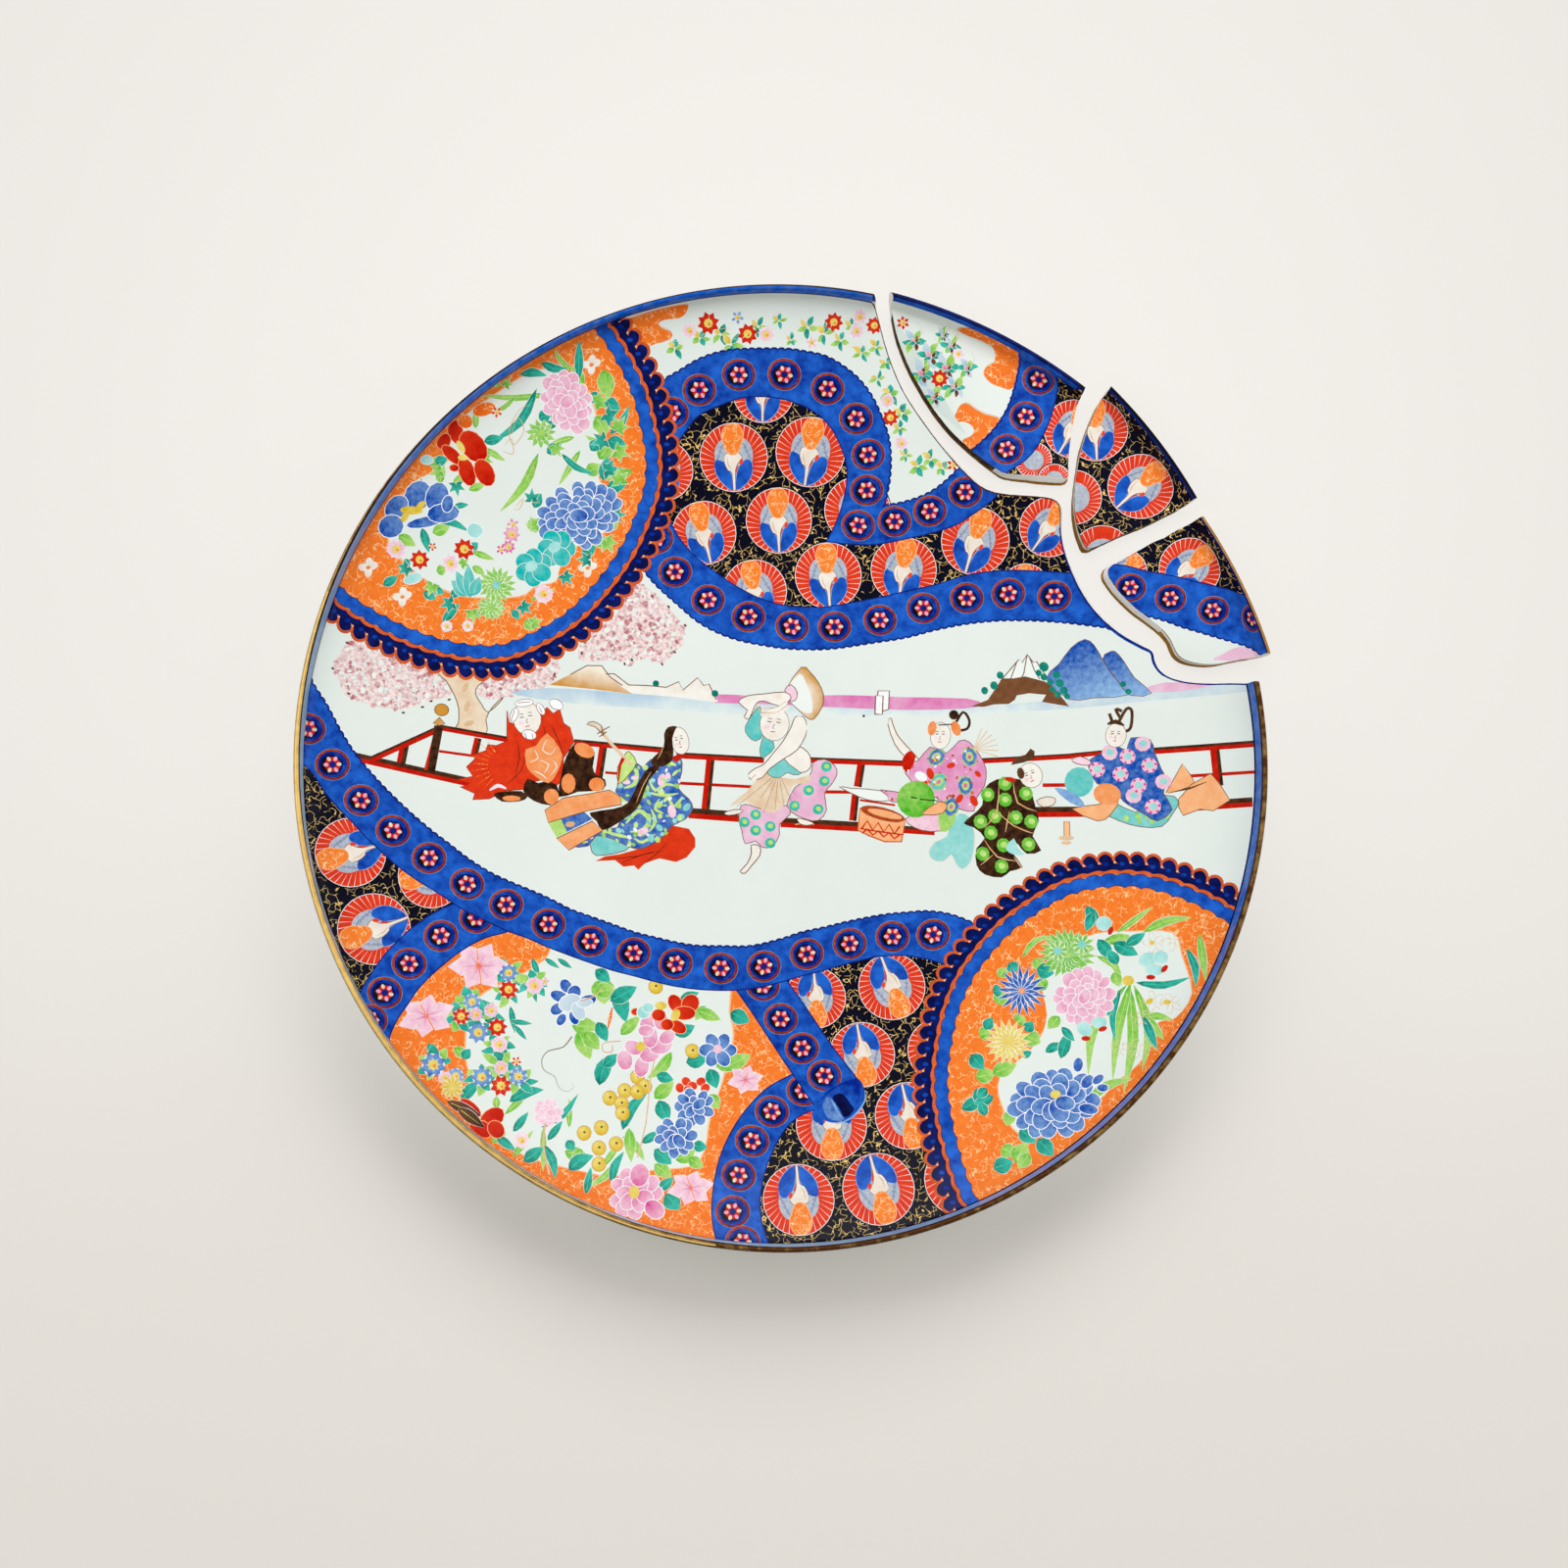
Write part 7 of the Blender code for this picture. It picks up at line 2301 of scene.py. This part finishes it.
def tint(label, about, hex_colour):
    """A colour that may be changed."""
    return FloatVectorProperty(name=label, description=about, default=linear(hex_colour)[:3],
                               min=0.0, max=1.0, subtype="COLOR")


def power(label, about, watts):
    """The power of a lamp."""
    return FloatProperty(name=label, description=about, default=watts, min=0.0, unit="POWER")


def spoken(name):
    """A name with its words apart."""
    return name.replace("_", " ")


class ChargerPigments(bpy.types.PropertyGroup):
    """Thin and thick washes of every pigment."""
    __annotations__ = {
        f"{pigment}_{wash}": tint(f"{spoken(pigment).capitalize()}, {wash}",
                                  f"Colour of the {spoken(pigment)} where it lies {wash}", row[number])
        for pigment, row in PIGMENTS.items() for number, wash in enumerate(("thin", "thick"))
    }


class ChargerSizes(bpy.types.PropertyGroup):
    """Sizes of the pieces' surface. The turned form and the breaks follow the frame."""
    lattice_pitch: length("Lattice", "Pitch of the corners that follow the plate's curve", 7.5)
    edge_pitch: length("Edge chord", "Longest chord of a broken edge", 1.6)
    edge_grain: length("Edge grain", "How far the body's grain moves a broken edge sideways", 0.07)
    wall_relief: length("Break relief", "How far a broken face swells and hollows", 0.22)
    swell_size: length("Enamel swell", "Size of the swell of fired enamel", 2.5)
    gloss: FloatProperty(name="Gloss",
                         description="Share of light that glaze and enamel mirror, low for soft light",
                         default=0.07, min=0.0, max=1.0, subtype="FACTOR")


class ChargerStage(bpy.types.PropertyGroup):
    """Sizes, colours and light of the stage."""
    floor_size: length("Floor", "Side of the square floor", 12000)
    softbox_size: length("Softbox", "Side of each softbox", 1600)
    distance: length("Distance", "From the camera to the height of the rim over the plate's middle",
                     1743)
    azimuth: FloatProperty(name="Azimuth",
                           description="The camera's turn round the plate from its front",
                           default=math.radians(-25.0), subtype="ANGLE")
    elevation: FloatProperty(name="Elevation",
                             description="The camera's height over the floor as an angle",
                             default=math.radians(82.0), subtype="ANGLE")
    lens: FloatProperty(name="Lens", description="Focal length of the camera", default=85.0, min=1.0,
                        unit="CAMERA")
    back_softbox: power("Back softbox", "Power of the lamp behind the plate", 35.0)
    left_softbox: power("Left softbox", "Power of the lamp on the left", 17.6)
    right_softbox: power("Right softbox", "Power of the lamp on the right", 17.6)
    front_softbox: power("Front softbox", "Power of the lamp in front", 9.0)
    room_strength: FloatProperty(name="Room light", description="Strength of the light from all round",
                                 default=0.24, min=0.0)
    room_colour: tint("Room", "Colour of the light from all round", "#F4F1EC")
    floor_colour: tint("Floor colour", "Colour of the paper floor", "#E6E2DB")
    # The glow's two colours are painted light on the floor, brightest near the plate.
    glow_colour: tint("Glow", "Colour of the paper behind the plate", "#F6F3EE")
    glow_edge_colour: tint("Glow edge", "Colour of the paper far from the plate", "#E6E3DE")


class OBJECT_OT_charger_plate(bpy.types.Operator):
    """Add the large piece with its painted face, glazed underside and broken edge"""
    bl_idname = "object.charger_plate"
    bl_label = "Add Large Piece"
    bl_options = {"REGISTER", "UNDO"}

    def execute(self, context):
        """Builds the large piece."""
        build_piece("plate_main", decoration("plate_main"))
        return {"FINISHED"}


class OBJECT_OT_charger_shards(bpy.types.Operator):
    """Add the three rim shards where they lie on their backs"""
    bl_idname = "object.charger_shards"
    bl_label = "Add Shards"
    bl_options = {"REGISTER", "UNDO"}

    def execute(self, context):
        """Builds the shards."""
        for name in SHARD_POSES:
            build_piece(name, decoration(name))
        return {"FINISHED"}


class OBJECT_OT_charger_stage(bpy.types.Operator):
    """Add the floor, the softboxes, the room and the camera"""
    bl_idname = "object.charger_stage"
    bl_label = "Add Stage"
    bl_options = {"REGISTER", "UNDO"}

    def execute(self, context):
        """Builds the stage."""
        build_stage(context.scene.charger_stage)
        return {"FINISHED"}


OPERATORS = OBJECT_OT_charger_plate, OBJECT_OT_charger_shards, OBJECT_OT_charger_stage
SETTINGS = {"charger_pigments": ChargerPigments, "charger_sizes": ChargerSizes,
            "charger_stage": ChargerStage}


class VIEW3D_PT_charger(bpy.types.Panel):
    """Operators and settings of the broken charger"""
    bl_label = "Broken Porcelain Charger"
    bl_space_type = "VIEW_3D"
    bl_region_type = "UI"
    bl_category = "Charger"

    def draw(self, context):
        """Lists the operators, and the settings of each group in a box."""
        for operator in OPERATORS:
            self.layout.operator(operator.bl_idname)
        for setting, group in SETTINGS.items():
            box = self.layout.box()
            for name in group.__annotations__:
                box.prop(getattr(context.scene, setting), name)


def register():
    """Adds the classes and the settings to Blender."""
    for kind in (*SETTINGS.values(), *OPERATORS, VIEW3D_PT_charger):
        bpy.utils.register_class(kind)
    for name, group in SETTINGS.items():
        setattr(bpy.types.Scene, name, PointerProperty(type=group))


def unregister():
    """Takes the settings and the classes out again."""
    for name in SETTINGS:
        delattr(bpy.types.Scene, name)
    for kind in reversed((*SETTINGS.values(), *OPERATORS, VIEW3D_PT_charger)):
        bpy.utils.unregister_class(kind)


def main():
    """Builds the pieces and the stage."""
    register()
    bpy.ops.object.charger_plate()
    bpy.ops.object.charger_shards()
    bpy.ops.object.charger_stage()


if __name__ == "__main__":
    main()
